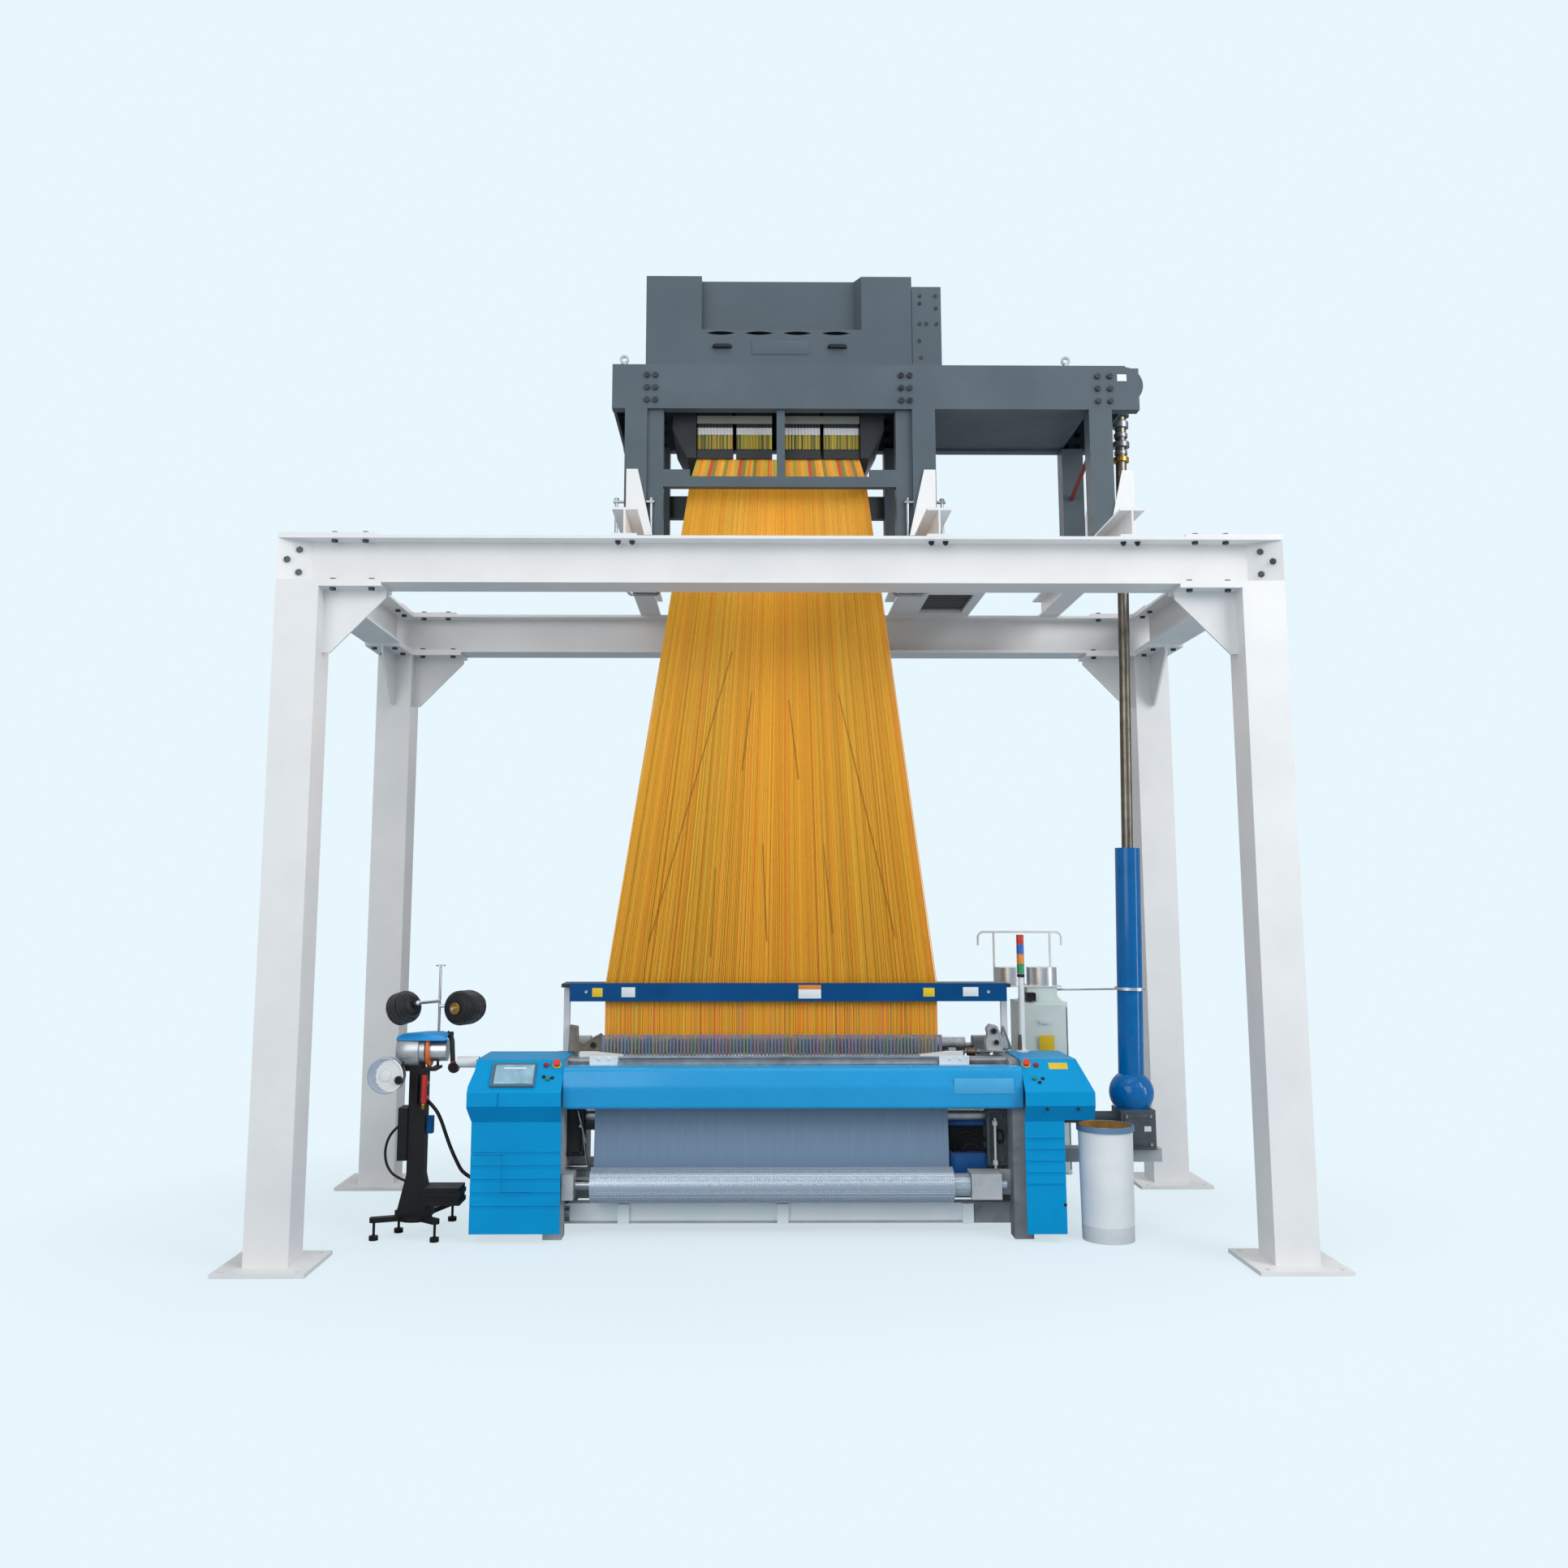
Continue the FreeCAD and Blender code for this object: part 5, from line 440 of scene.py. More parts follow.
# gives a piece its finishes; choose picks one of several by a face's middle and direction
def dress(piece, finishes, choose=None):
    mesh = piece.data
    for i, name in enumerate(finishes):
        if i < len(mesh.materials):
            mesh.materials[i] = finish[name]
        else:
            mesh.materials.append(finish[name])
    if choose:
        for face in mesh.polygons:
            face.material_index = choose(face.center, face.normal)


plainNodes = {
    "gantryEnamel": ["gantry_columns", "gantry_beams", "corner_plates", "bearers"],
    "slateEnamel": ["jacquard_rails", "jacquard_posts", "jacquard_cross_members", "jacquard_ties",
                    "jacquard_gearbox"],
    "brightSteel": ["griffe_upper", "griffe_lower", "back_rest"],
    "paleCasting": ["gearbox_bracket", "roll_bearings"],
    "gripRubber": ["take_up_roller", "press_roller"],
    "cabinetEnamel": ["cabinet", "cabinet_door"],
    "redButton": ["stop_button_left", "stop_button_right"],
    "greenButton": ["start_button_left", "start_button_right"],
    "blackBolt": ["frame_bolts"], "zincPlate": ["hold_down_clamps"], "darkEnamel": ["lift_housing"],
    "hoodEnamel": ["jacquard_hood"], "guardBlue": ["comber_guard"], "oiledShaft": ["drive_shaft"],
    "slateCasting": ["loom_gearbox"], "palePaint": ["cross_beams"], "satinSteel": ["breast_beam"],
    "glossBlue": ["breast_cover"], "screenBezel": ["touch_screen"], "extrudedAluminium": ["sley"],
    "reedDents": ["reed"], "whiteNylon": ["temples"], "moduleFronts": ["hook_modules"],
}
for finishName, nodeNames in plainNodes.items():
    for nodeName in nodeNames:
        dress(nodes[nodeName], [finishName])

# where the finish changes within a node, in metres
change = {"boardPosts": 1.284, "handles": 0.6, "leftFrame": -1.15, "standRod": 1.062, "rollEnd": -1.045,
          "yarnLeft": -0.975, "yarnRight": 0.902, "spoolFront": -0.499, "feederEnd": -1.75,
          "discHub": -1.896, "discRim": -1.8805}
stay = {"axis": (1.983, -0.150), "front": -0.078, "ringLow": 1.268, "ringHigh": 1.286, "ringInner": 0.0715}
bobbins = {"left": 1.355, "right": 1.755, "rear": 0.76, "low": 1.255, "high": 1.372}
lamps = {"foot": 1.358, "tall": 0.055, "count": 4}
wasteBin = {"axis": (1.733, -0.480), "foot": 0.09, "rim": 0.557}


# faces that look down take the second finish: a darker blue that is painted shade
def lowSide(middle, normal):
    return int(normal.z < -0.12)


# the stay at the back and its ring round the tube are bright, the guard itself is blue
def onStay(middle, normal):
    around = math.hypot(middle.x - stay["axis"][0], middle.y - stay["axis"][1])
    onRing = stay["ringLow"] < middle.z < stay["ringHigh"] and around > stay["ringInner"]
    return int(middle.y > stay["front"] or onRing)


def onBobbins(middle, normal):
    return int(bobbins["left"] < middle.x < bobbins["right"] and middle.y < bobbins["rear"]
               and bobbins["low"] < middle.z < bobbins["high"])


def onBeamEnds(middle, normal):
    return int(not change["yarnLeft"] < middle.x < change["yarnRight"] or abs(normal.x) > 0.7)


def lampZone(middle, normal):
    if middle.z < lamps["foot"]:
        return 0
    return min(lamps["count"], 1 + int((middle.z - lamps["foot"]) / lamps["tall"]))


def feederZone(middle, normal):
    return 2 if middle.x > change["feederEnd"] else int(middle.y < change["spoolFront"])


def discZone(middle, normal):
    return 2 if middle.x < change["discHub"] else int(middle.x >= change["discRim"])


def binZone(middle, normal):
    if middle.z < wasteBin["rim"]:
        return 2 if middle.z < wasteBin["foot"] else 0
    x, y = wasteBin["axis"]
    inward = (middle.x - x) * normal.x + (middle.y - y) * normal.y < -0.01
    return 3 if inward else 1


zonedNodes = {
    "comber_board": (["darkEnamel", "gantryEnamel"],
                     lambda middle, normal: int(middle.z < change["boardPosts"])),
    "hood_fittings": (["blackNylon", "zincPlate"],
                      lambda middle, normal: int(abs(middle.x) > change["handles"])),
    # only the slats between the pale rails of the grille are dark
    "bearer_grille": (["gantryEnamel", "darkEnamel"],
                      lambda middle, normal: int(0.3 < abs(normal.z) < 0.95)),
    "side_frames": (["greyCasting", "paleCasting"],
                    lambda middle, normal: int(middle.x < change["leftFrame"])),
    "feeder_stand": (["wrinkleBlack", "spoolSteel"],
                     lambda middle, normal: int(middle.z > change["standRod"])),
    "cloth_roll": (["dottedRoll", "brightSteel"],
                   lambda middle, normal: int(abs(normal.x) > 0.7 or middle.x < change["rollEnd"])),
    "left_cover": (["coverBlue", "coverPaintedShade"], lowSide),
    "right_cover": (["coverBlue", "coverPaintedShade"], lowSide),
    "shaft_guard": (["shaftBlue", "spoolSteel"], onStay),
    "warp_beam": (["woundWarp", "satinSteel"], onBeamEnds),
    "signal_tower": (["whiteNylon", "lampGreen", "lampOrange", "lampBlue", "lampRed"], lampZone),
    "bobbin_rack": (["whiteNylon", "spoolSteel"], onBobbins),
    "feeders": (["dieCast", "spoolSteel", "whiteNylon"], feederZone),
    "feeder_disc": (["orangeNylon", "spoolSteel", "brightSteel"], discZone),
    "waste_bin": (["binWhite", "rimBlue", "binFoot", "goldFilm"], binZone),
}
for nodeName, zones in zonedNodes.items():
    dress(nodes[nodeName], *zones)
print("CAD nodes dressed")


def clearSelection():
    if bpy.context.object and bpy.context.object.mode != "OBJECT":
        bpy.ops.object.mode_set(mode="OBJECT")
    bpy.ops.object.select_all(action="DESELECT")


def makeActive(piece):
    clearSelection()
    piece.select_set(True)
    bpy.context.view_layer.objects.active = piece


# puts a finished piece's place into its mesh, names it, dresses it and ties it to a body
def settle(piece, name, finishName, body="machine", smoothAngle=35):
    makeActive(piece)
    bpy.ops.object.transform_apply(location=True, rotation=True, scale=True)
    if smoothAngle:
        bpy.ops.object.shade_smooth_by_angle(angle=math.radians(smoothAngle))
    piece.name = name
    piece.data.name = name
    if finishName:
        dress(piece, [finishName])
    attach(piece, body)
    return piece


def applyModifiers(piece):
    makeActive(piece)
    for modifier in list(piece.modifiers):
        bpy.ops.object.modifier_apply(modifier=modifier.name)
    return piece


def bevelEdges(piece, width, segments=2, angle=30):
    bevel = piece.modifiers.new("roundedEdges", "BEVEL")
    bevel.width = width
    bevel.segments = segments
    bevel.limit_method = "ANGLE"
    bevel.angle_limit = math.radians(angle)
    return applyModifiers(piece)


# a block between two corners, ready to be shaped further
def block(low, high):
    clearSelection()
    middle = [(a + b) / 2 for a, b in zip(low, high)]
    bpy.ops.mesh.primitive_cube_add(size=1, location=middle)
    piece = bpy.context.object
    piece.scale = [abs(b - a) for a, b in zip(low, high)]
    bpy.ops.object.transform_apply(location=True, rotation=True, scale=True)
    return piece


# opens edit mode with all of a piece selected
def openForm(piece):
    makeActive(piece)
    bpy.ops.object.mode_set(mode="EDIT")
    bpy.ops.mesh.select_all(action="SELECT")


# turns all faces outwards and leaves edit mode
def closeForm():
    bpy.ops.mesh.select_all(action="SELECT")
    bpy.ops.mesh.normals_make_consistent(inside=False)
    bpy.ops.object.mode_set(mode="OBJECT")


# selects the faces that a test picks, by middle and normal, and opens edit mode on them
def pickFaces(piece, test):
    makeActive(piece)
    bpy.ops.object.mode_set(mode="EDIT")
    bpy.ops.mesh.select_all(action="DESELECT")
    bpy.ops.mesh.select_mode(type="FACE")
    bpy.ops.object.mode_set(mode="OBJECT")
    for face in piece.data.polygons:
        face.select = bool(test(face.center, face.normal))
    bpy.ops.object.mode_set(mode="EDIT")


def facesFront(middle, normal):
    return normal.y < -0.9


# sinks or raises a framed field in the picked faces
def insetField(piece, test, margin, depth):
    pickFaces(piece, test)
    bpy.ops.mesh.inset(thickness=margin, depth=0, use_even_offset=True)
    bpy.ops.mesh.inset(thickness=margin * 0.15, depth=depth, use_even_offset=True)
    bpy.ops.object.mode_set(mode="OBJECT")


# a block whose front may have a field, inset by (margin, depth), and whose edges may be rounded
def panel(low, high, inset=None, bevel=None):
    piece = block(low, high)
    if inset:
        insetField(piece, facesFront, *inset)
    return bevelEdges(piece, *bevel) if bevel else piece


# a turned form: a disc drawn out ring by ring along Z, then laid along the wanted axis
def turned(rings, sides, start=(0, 0, 0), along=(0, 0, 1), closed=True):
    clearSelection()
    bpy.ops.mesh.primitive_circle_add(vertices=sides, radius=rings[0][0], location=(0, 0, rings[0][1]),
                                      fill_type="NGON" if closed else "NOTHING")
    piece = bpy.context.object
    bpy.ops.object.transform_apply(location=True)
    openForm(piece)
    draw = bpy.ops.mesh.extrude_region_move if closed else bpy.ops.mesh.extrude_edges_move
    for (radius, height), (nextRadius, nextHeight) in zip(rings, rings[1:]):
        share = nextRadius / radius
        draw(TRANSFORM_OT_translate={"value": (0, 0, nextHeight - height)})
        bpy.ops.transform.resize(value=(share, share, 1), center_override=(0, 0, nextHeight))
    closeForm()
    turn = Vector((0, 0, 1)).rotation_difference(Vector(along).normalized()).to_matrix().to_4x4()
    piece.matrix_world = Matrix.Translation(start) @ turn
    bpy.ops.object.transform_apply(location=True, rotation=True, scale=True)
    return piece


def rod(start, end, radius, sides=16, chamfer=0.0):
    way = Vector(end) - Vector(start)
    rings = [(radius, 0), (radius, way.length)]
    if chamfer:
        rings = [(radius - chamfer, 0), (radius, chamfer), (radius, way.length - chamfer),
                 (radius - chamfer, way.length)]
    return turned(rings, sides, start, way)


# round lines along given points; with steps they are smooth and capped, without they are straight
def layCurve(name, routes, radius, sides, steps=0):
    data = bpy.data.curves.new(name, "CURVE")
    data.dimensions = "3D"
    for route in routes:
        line = data.splines.new("NURBS" if steps else "POLY")
        line.points.add(len(route) - 1)
        for i, point in enumerate(route):
            line.points[i].co = (*point, 1)
        if steps:
            line.order_u = 3
            line.use_endpoint_u = True
    data.bevel_depth = radius
    data.bevel_resolution = sides
    if steps:
        data.resolution_u = steps
        data.use_fill_caps = True
    curve = bpy.data.objects.new(name, data)
    scene.collection.objects.link(curve)
    return curve


def asMesh(curve):
    makeActive(curve)
    bpy.ops.object.convert(target="MESH")
    return bpy.context.object


def bentBar(points, radius, sides=3):
    return asMesh(layCurve("bentBar", [points], radius, sides, 10))


def join(pieces):
    clearSelection()
    for piece in pieces:
        piece.select_set(True)
    bpy.context.view_layer.objects.active = pieces[0]
    bpy.ops.object.join()
    return bpy.context.object


# copies a piece, each copy with its own mesh, to the given shifts, and joins them to it
def repeatAt(piece, shifts):
    copies = [piece]
    for shift in shifts:
        copy = piece.copy()
        copy.data = piece.data.copy()
        scene.collection.objects.link(copy)
        copy.data.transform(Matrix.Translation(shift))
        copies.append(copy)
    return join(copies)


# many straight-sided strands as one mesh, each strand with its own tone, given or drawn
def strandField(name, strands, radius, tones, seed, sides=0):
    field = asMesh(layCurve(name, strands, radius, sides))
    perStrand = len(field.data.vertices) // len(strands)
    chance = random.Random(seed)
    marks = field.data.attributes.new("strandTone", "FLOAT", "POINT")
    values = []
    for i in range(len(strands)):
        values += [tones[i] if tones else chance.random()] * perStrand
    marks.data.foreach_set("value", values)
    return field


# a strand field with its finish, in the place of a CAD node
def hangStrands(name, strands, radius, tones, seed, finishName, node):
    field = strandField(name, strands, radius, tones, seed)
    settle(field, name, finishName, smoothAngle=0)
    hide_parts(node)


# free cords lie on the routes that the CAD gives them, as one smooth line each
cords = {
    "controlCable": {
        "points": [(-2.036, -0.423, 0.575), (-2.072, -0.423, 0.545), (-2.100, -0.423, 0.490),
                   (-2.108, -0.423, 0.425), (-2.092, -0.423, 0.362), (-2.050, -0.423, 0.312),
                   (-1.990, -0.423, 0.290)],
        "radius": 0.007, "length": 0.364, "node": "cable_loop"},
    "weftHose": {
        "points": [(-1.896, -0.400, 0.705), (-1.848, -0.400, 0.660), (-1.815, -0.400, 0.595),
                   (-1.790, -0.400, 0.525), (-1.762, -0.400, 0.455), (-1.728, -0.400, 0.385),
                   (-1.690, -0.400, 0.320), (-1.622, -0.400, 0.290)],
        "radius": 0.010, "length": 0.513, "node": "feeder_hose"},
}


def layCord(name, cord):
    curve = layCurve(name, [cord["points"]], cord["radius"], 4, 16)
    curve.data.materials.append(finish["cableRubber"])
    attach(curve, "machine")
    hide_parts(cord["node"])


for cordName, cord in cords.items():
    layCord(cordName, cord)
print("cords laid")


# where a line crosses a level: across by its column in the field, in depth by its row
def fieldPlace(field, column, row, half, middle, depth):
    across = 2 * (column / field["columns"]) - 1
    return middle + half * across, depth[0] + (depth[1] - depth[0]) * (row / (field["rows"] - 1))


# lines are nudged off their grid, so that rows never line up into gaps; only the front row is even
nudge = {"stagger": 0.38, "across": 0.3, "deep": 0.5}


def nudgedColumn(chance, column, row):
    return column + row * nudge["stagger"] % 1 + chance.uniform(-nudge["across"], nudge["across"])


def nudgedRow(chance, field, row):
    return min(field["rows"] - 1, row + chance.uniform(-nudge["deep"], nudge["deep"])) if row else 0


# neighbours share a band of tone, and each line varies a little in it
def bandTone(chance, column, wide, step, swing, limit=1, shift=0):
    return (column // wide * step + shift + chance.uniform(0, swing)) % limit


# the harness: lines fall straight from the hooks to a neck, then fan out to the comber board
harness = {"columns": 640, "rows": 7, "topHalf": 0.468, "neckHalf": 0.503, "lowHalf": 0.934,
           "lowMiddle": -0.037, "top": 4.2845, "neck": 4.165, "low": 1.3055, "upperDepth": (-0.385, 0.085),
           "lowerDepth": (-0.147, 0.047), "radius": 0.0014, "drift": 0.0012, "foldLift": 0.0022,
           "foldSpread": (0.002, 0.005), "creaseShadeTone": 0.995}
# painted shade in the creases where neighbouring fans cross: darker strands a little in front of the front
# row, as (x, z) at their upper and lower ends on the front row
folds = [((-0.262, 3.176), (-0.733, 1.520)), ((0.342, 2.941), (0.661, 1.565)),
         ((-0.088, 2.084), (-0.065, 1.542)), ((0.256, 2.084), (0.307, 1.587)),
         ((-0.353, 1.948), (-0.382, 1.453)), ((0.060, 2.900), (0.115, 2.450)),
         ((-0.150, 2.950), (-0.205, 2.500))]


def buildHarness():
    h = harness
    chance = random.Random(4)
    fan, drop, fanTones, dropTones = [], [], [], []
    for row in range(h["rows"]):
        for column in range(h["columns"]):
            spot = nudgedColumn(chance, column, row)
            deep = nudgedRow(chance, h, row)
            topX, topY = fieldPlace(h, spot, deep, h["topHalf"], 0, h["upperDepth"])
            neckX, neckY = fieldPlace(h, spot, deep, h["neckHalf"], 0, h["upperDepth"])
            lowX, lowY = fieldPlace(h, spot, deep, h["lowHalf"], h["lowMiddle"], h["lowerDepth"])
            lowX += chance.uniform(-h["drift"], h["drift"])
            drop.append([(topX, topY, h["top"]), (neckX, neckY, h["neck"])])
            fan.append([(neckX, neckY, h["neck"]), (lowX, lowY, h["low"])])
            dropTones.append(bandTone(chance, column, 14, 0.37, 0.06, shift=row * 0.04))
            fanTones.append(bandTone(chance, column, 6, 0.618, 0.4, 0.985))
    frontTop, frontLow = h["upperDepth"][0], h["lowerDepth"][0]
    for fold in folds:
        for side in (-0.5, 0.5):
            ends = []
            for (x, z), spread in zip(fold, h["foldSpread"]):
                share = (h["neck"] - z) / (h["neck"] - h["low"])
                y = frontTop + (frontLow - frontTop) * share - h["foldLift"]
                ends.append((x + side * spread, y, z))
            fan.append(ends)
            fanTones.append(h["creaseShadeTone"])
    hangStrands("hookLines", drop, h["radius"], dropTones, 1, "hookLine", "harness_cords")
    hangStrands("harnessLines", fan, h["radius"], fanTones, 2, "harnessLine",
                "harness_cords")


buildHarness()

# below the comber board each line goes on as a banded tail, then a pastel heddle shank
heddleField = {"columns": 560, "rows": 5, "top": 1.2845, "change": 1.002, "low": 0.9268, "half": 0.934,
               "middle": -0.037, "depth": (-0.147, 0.047), "tail": 0.0016, "shank": 0.0013, "knot": 0.006}
springField = {"columns": 180, "rows": 6, "top": 0.9232, "coilTop": 0.62, "low": 0.3306, "wire": 0.0008,
               "coil": 0.0026, "barLow": (-1.151, -0.160, 0.290), "barHigh": (1.240, 0.060, 0.330)}


def buildHeddles():
    f = heddleField
    chance = random.Random(9)
    tails, shanks, tailTones, shankTones = [], [], [], []
    for row in range(f["rows"]):
        for column in range(f["columns"]):
            deep = nudgedRow(chance, f, row)
            spot = nudgedColumn(chance, column, row)
            x, y = fieldPlace(f, spot, deep, f["half"], f["middle"], f["depth"])
            knot = f["change"] + chance.uniform(-f["knot"], f["knot"])
            tails.append([(x, y, f["top"]), (x, y, knot)])
            shanks.append([(x, y, knot), (x, y, f["low"])])
            tailTones.append(bandTone(chance, column, 3, 0.618, 0.3))
            shankTones.append(bandTone(chance, column, 13, 0.618, 0.15))
    hangStrands("heddleTails", tails, f["tail"], tailTones, 3, "tailLine", "heddles")
    hangStrands("heddleShanks", shanks, f["shank"], shankTones, 5, "heddleShank", "heddles")


buildHeddles()


def buildSprings():
    s = springField
    wires, coils = [], []
    for row in range(s["rows"]):
        for column in range(s["columns"]):
            x, y = fieldPlace(s, column, row, heddleField["half"], heddleField["middle"],
                              heddleField["depth"])
            wires.append([(x, y, s["top"]), (x, y, s["coilTop"])])
            coils.append([(x, y, s["coilTop"]), (x, y, s["low"])])
    thin = strandField("springHooks", wires, s["wire"], None, 6)
    thick = strandField("springCoils", coils, s["coil"], None, 7, 1)
    field = settle(join([thin, thick]), "returnSpringWires", "springWire", smoothAngle=0)
    bar = panel(s["barLow"], s["barHigh"], (0.006, -0.003), (0.003, 2))
    settle(bar, "springRail", "satinSteel")
    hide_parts("return_springs")
    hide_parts("return_springs")


buildSprings()
print("harness, heddles and springs strung")

# the cloth runs over the breast bar, falls to the roll and hugs its back for a sixth of a turn
clothPiece = {"left": -1.000, "right": 0.915, "fell": -0.292, "line": 0.9250, "plane": -0.3600,
              "nose": 0.0213, "rollY": -0.4523, "rollZ": 0.273, "rollRadius": 0.0923, "wrap": 60,
              "across": 150, "thickness": 0.0009, "flatSteps": 3, "noseSteps": 6, "fallSteps": 40,
              "wrapSteps": 8, "slackLow": 0.40, "slackHigh": 0.87, "slackReach": 0.2, "longWave": 0.0016,
              "shortWave": 0.0008, "waist": 0.003}


# the cloth's path from the fell on, as (y, z)
def clothPath():
    c = clothPiece
    bend = c["plane"] + c["nose"]
    top = c["line"] - c["nose"]
    spots = [(c["fell"], c["line"])]
    for i in range(c["flatSteps"]):
        spots.append((c["fell"] + (bend - c["fell"]) * (i + 1) / c["flatSteps"], c["line"]))
    for i in range(1, c["noseSteps"] + 1):
        turn = math.radians(90 * i / c["noseSteps"])
        spots.append((bend - c["nose"] * math.sin(turn), top + c["nose"] * math.cos(turn)))
    for i in range(1, c["fallSteps"] + 1):
        spots.append((c["plane"], top + (c["rollZ"] - top) * i / c["fallSteps"]))
    for i in range(1, c["wrapSteps"] + 1):
        turn = math.radians(c["wrap"] * i / c["wrapSteps"])
        spots.append((c["rollY"] + c["rollRadius"] * math.cos(turn),
                      c["rollZ"] - c["rollRadius"] * math.sin(turn)))
    return spots


def buildCloth():
    c = clothPiece
    spots = clothPath()
    clearSelection()
    bpy.ops.mesh.primitive_grid_add(x_subdivisions=c["across"], y_subdivisions=len(spots) - 1, size=1)
    sheet = bpy.context.object
    width = c["right"] - c["left"]
    for corner in sheet.data.vertices:
        across = corner.co.x + 0.5
        y, z = spots[round((0.5 - corner.co.y) * (len(spots) - 1))]
        x = c["left"] + width * across
        low = min(1, (z - c["slackLow"]) / c["slackReach"])
        slack = max(0, low * min(1, max(0, (c["slackHigh"] - z) / c["slackReach"])))
        wave = (c["longWave"] * math.sin(x * 21 + 1.3 * math.sin(x * 5))
                + c["shortWave"] * math.sin(x * 53 + z * 3))
        corner.co = (x + c["waist"] * slack * (across - 0.5) * -2, y + slack * wave, z)
    solid = sheet.modifiers.new("clothThickness", "SOLIDIFY")
    solid.thickness = c["thickness"]
    solid.offset = 0
    applyModifiers(sheet)
    settle(sheet, "clothSheet", "cloth", smoothAngle=60)
    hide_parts("cloth")


buildCloth()

# warp ends: four through each dent, back over the roller and down to the beam
warpEnds = {"left": -0.969, "right": 0.895, "dents": 96, "perDent": 4, "apart": 0.0024, "radius": 0.0007,
            "fell": -0.2915, "reedY": -0.17, "leaseY": 0.35, "line": 0.9250, "restY": 0.7953,
            "restZ": 0.8690, "restRadius": 0.0562, "beamZ": 0.44}


def buildWarp():
    w = warpEnds
    pitch = (w["right"] - w["left"]) / w["dents"]
    strands = []
    for dent in range(w["dents"]):
        for end in range(w["perDent"]):
            x = w["left"] + pitch * (dent + 0.5) + (end - (w["perDent"] - 1) / 2) * w["apart"]
            spread = w["left"] + pitch * (dent + (end + 0.5) / w["perDent"])
            strand = [(x, w["fell"], w["line"]), (x, w["reedY"], w["line"]),
                      (spread, w["leaseY"], w["line"])]
            for i in range(5):
                turn = math.radians(90 - 22.5 * i)
                strand.append((spread, w["restY"] + w["restRadius"] * math.cos(turn),
                               w["restZ"] + w["restRadius"] * math.sin(turn)))
            strand.append((spread, w["restY"] + w["restRadius"], w["beamZ"]))
            strands.append(strand)
    hangStrands("warpEnds", strands, w["radius"], None, 11, "warpYarn", "warp_sheet")


buildWarp()
print("cloth and warp in place")

# yarn packages: wound on tapered tubes, fatter in the middle, black yarn laid crosswise
packages = {
    "leftPackage": {"middle": (-2.033, -0.400, 1.194), "turn": 35, "dip": 15, "length": 0.150, "sign": 1,
                    "radii": (0.050, 0.087, 0.058), "ring": 1.0, "peg": 0.060, "tube": "blackNylon"},
    "rightPackage": {"middle": (-1.702, -0.400, 1.194), "turn": 65, "dip": 0, "length": 0.190, "sign": -1,
                     "radii": (0.068, 0.092, 0.070), "ring": 1.35, "peg": 0.012, "tube": "brass"},
}
lay = {"steps": 900, "turns": 34, "strokes": 9, "sunk": 0.0006, "radius": 0.0011}


def packageRadius(p, share):
    rodEnd, middle, free = p["radii"]
    if share < 0.4:
        return rodEnd + (middle - rodEnd) * math.sin(share / 0.4 * math.pi / 2)
    return middle - (middle - free) * max(0, (share - 0.8) / 0.2) ** 2


def buildPackage(name, p):
    turn = math.radians(p["turn"])
    dip = math.radians(p["dip"])
    length = p["length"]
    wide = p["ring"]
    level = math.cos(dip)
    axis = Vector((-math.cos(turn) * level, p["sign"] * math.sin(turn) * level, -math.sin(dip)))
    start = Vector(p["middle"]) - axis * (length / 2)
    rings = [(0.0245, 0.001), (packageRadius(p, 0) - 0.004, 0.001)]
    rings += [(packageRadius(p, i / 14) - 0.0012, 0.003 + (length - 0.006) * i / 14) for i in range(15)]
    rings += [(p["radii"][2] - 0.006, length - 0.001), (0.026, length - 0.004)]
    body = turned(rings, 48, start, axis)
    settle(body, name + "Body", "blackNylon", smoothAngle=50)
    frameTurn = Vector((0, 0, 1)).rotation_difference(axis)
    route = []
    for i in range(lay["steps"] + 1):
        spin = 2 * math.pi * lay["turns"] * i / lay["steps"]
        share = 0.03 + 0.94 * (1 - abs(1 - (i * lay["strokes"] / lay["steps"]) % 2))
        radius = packageRadius(p, share) - lay["sunk"]
        spot = Vector((radius * math.cos(spin), radius * math.sin(spin), share * length))
        route.append(tuple(start + frameTurn @ spot))
    yarn = strandField(name + "Yarn", [route], lay["radius"], [0.4], 12)
    settle(yarn, name + "Yarn", "blackYarn", smoothAngle=0)
    tube = turned([(0.0125, -0.012), (0.0175, -0.012), (0.0205, length * 0.5), (0.0235, length - 0.004),
                   (0.0235 * wide, length - 0.002), (0.0240 * wide, length + 0.006),
                   (0.0220 * wide, length + 0.009), (0.0130 * wide, length + 0.009)], 32, start, axis)
    peg = rod(start + axis * (length - 0.02), start + axis * (length + p["peg"]), 0.0055, 16, 0.002)
    settle(peg, name + "Peg", "blackNylon")
    settle(tube, name + "Tube", p["tube"])
    for piece in (body, yarn, tube):
        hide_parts("yarn_cones")


for packageName, package in packages.items():
    buildPackage(packageName, package)
print("yarn packages wound")

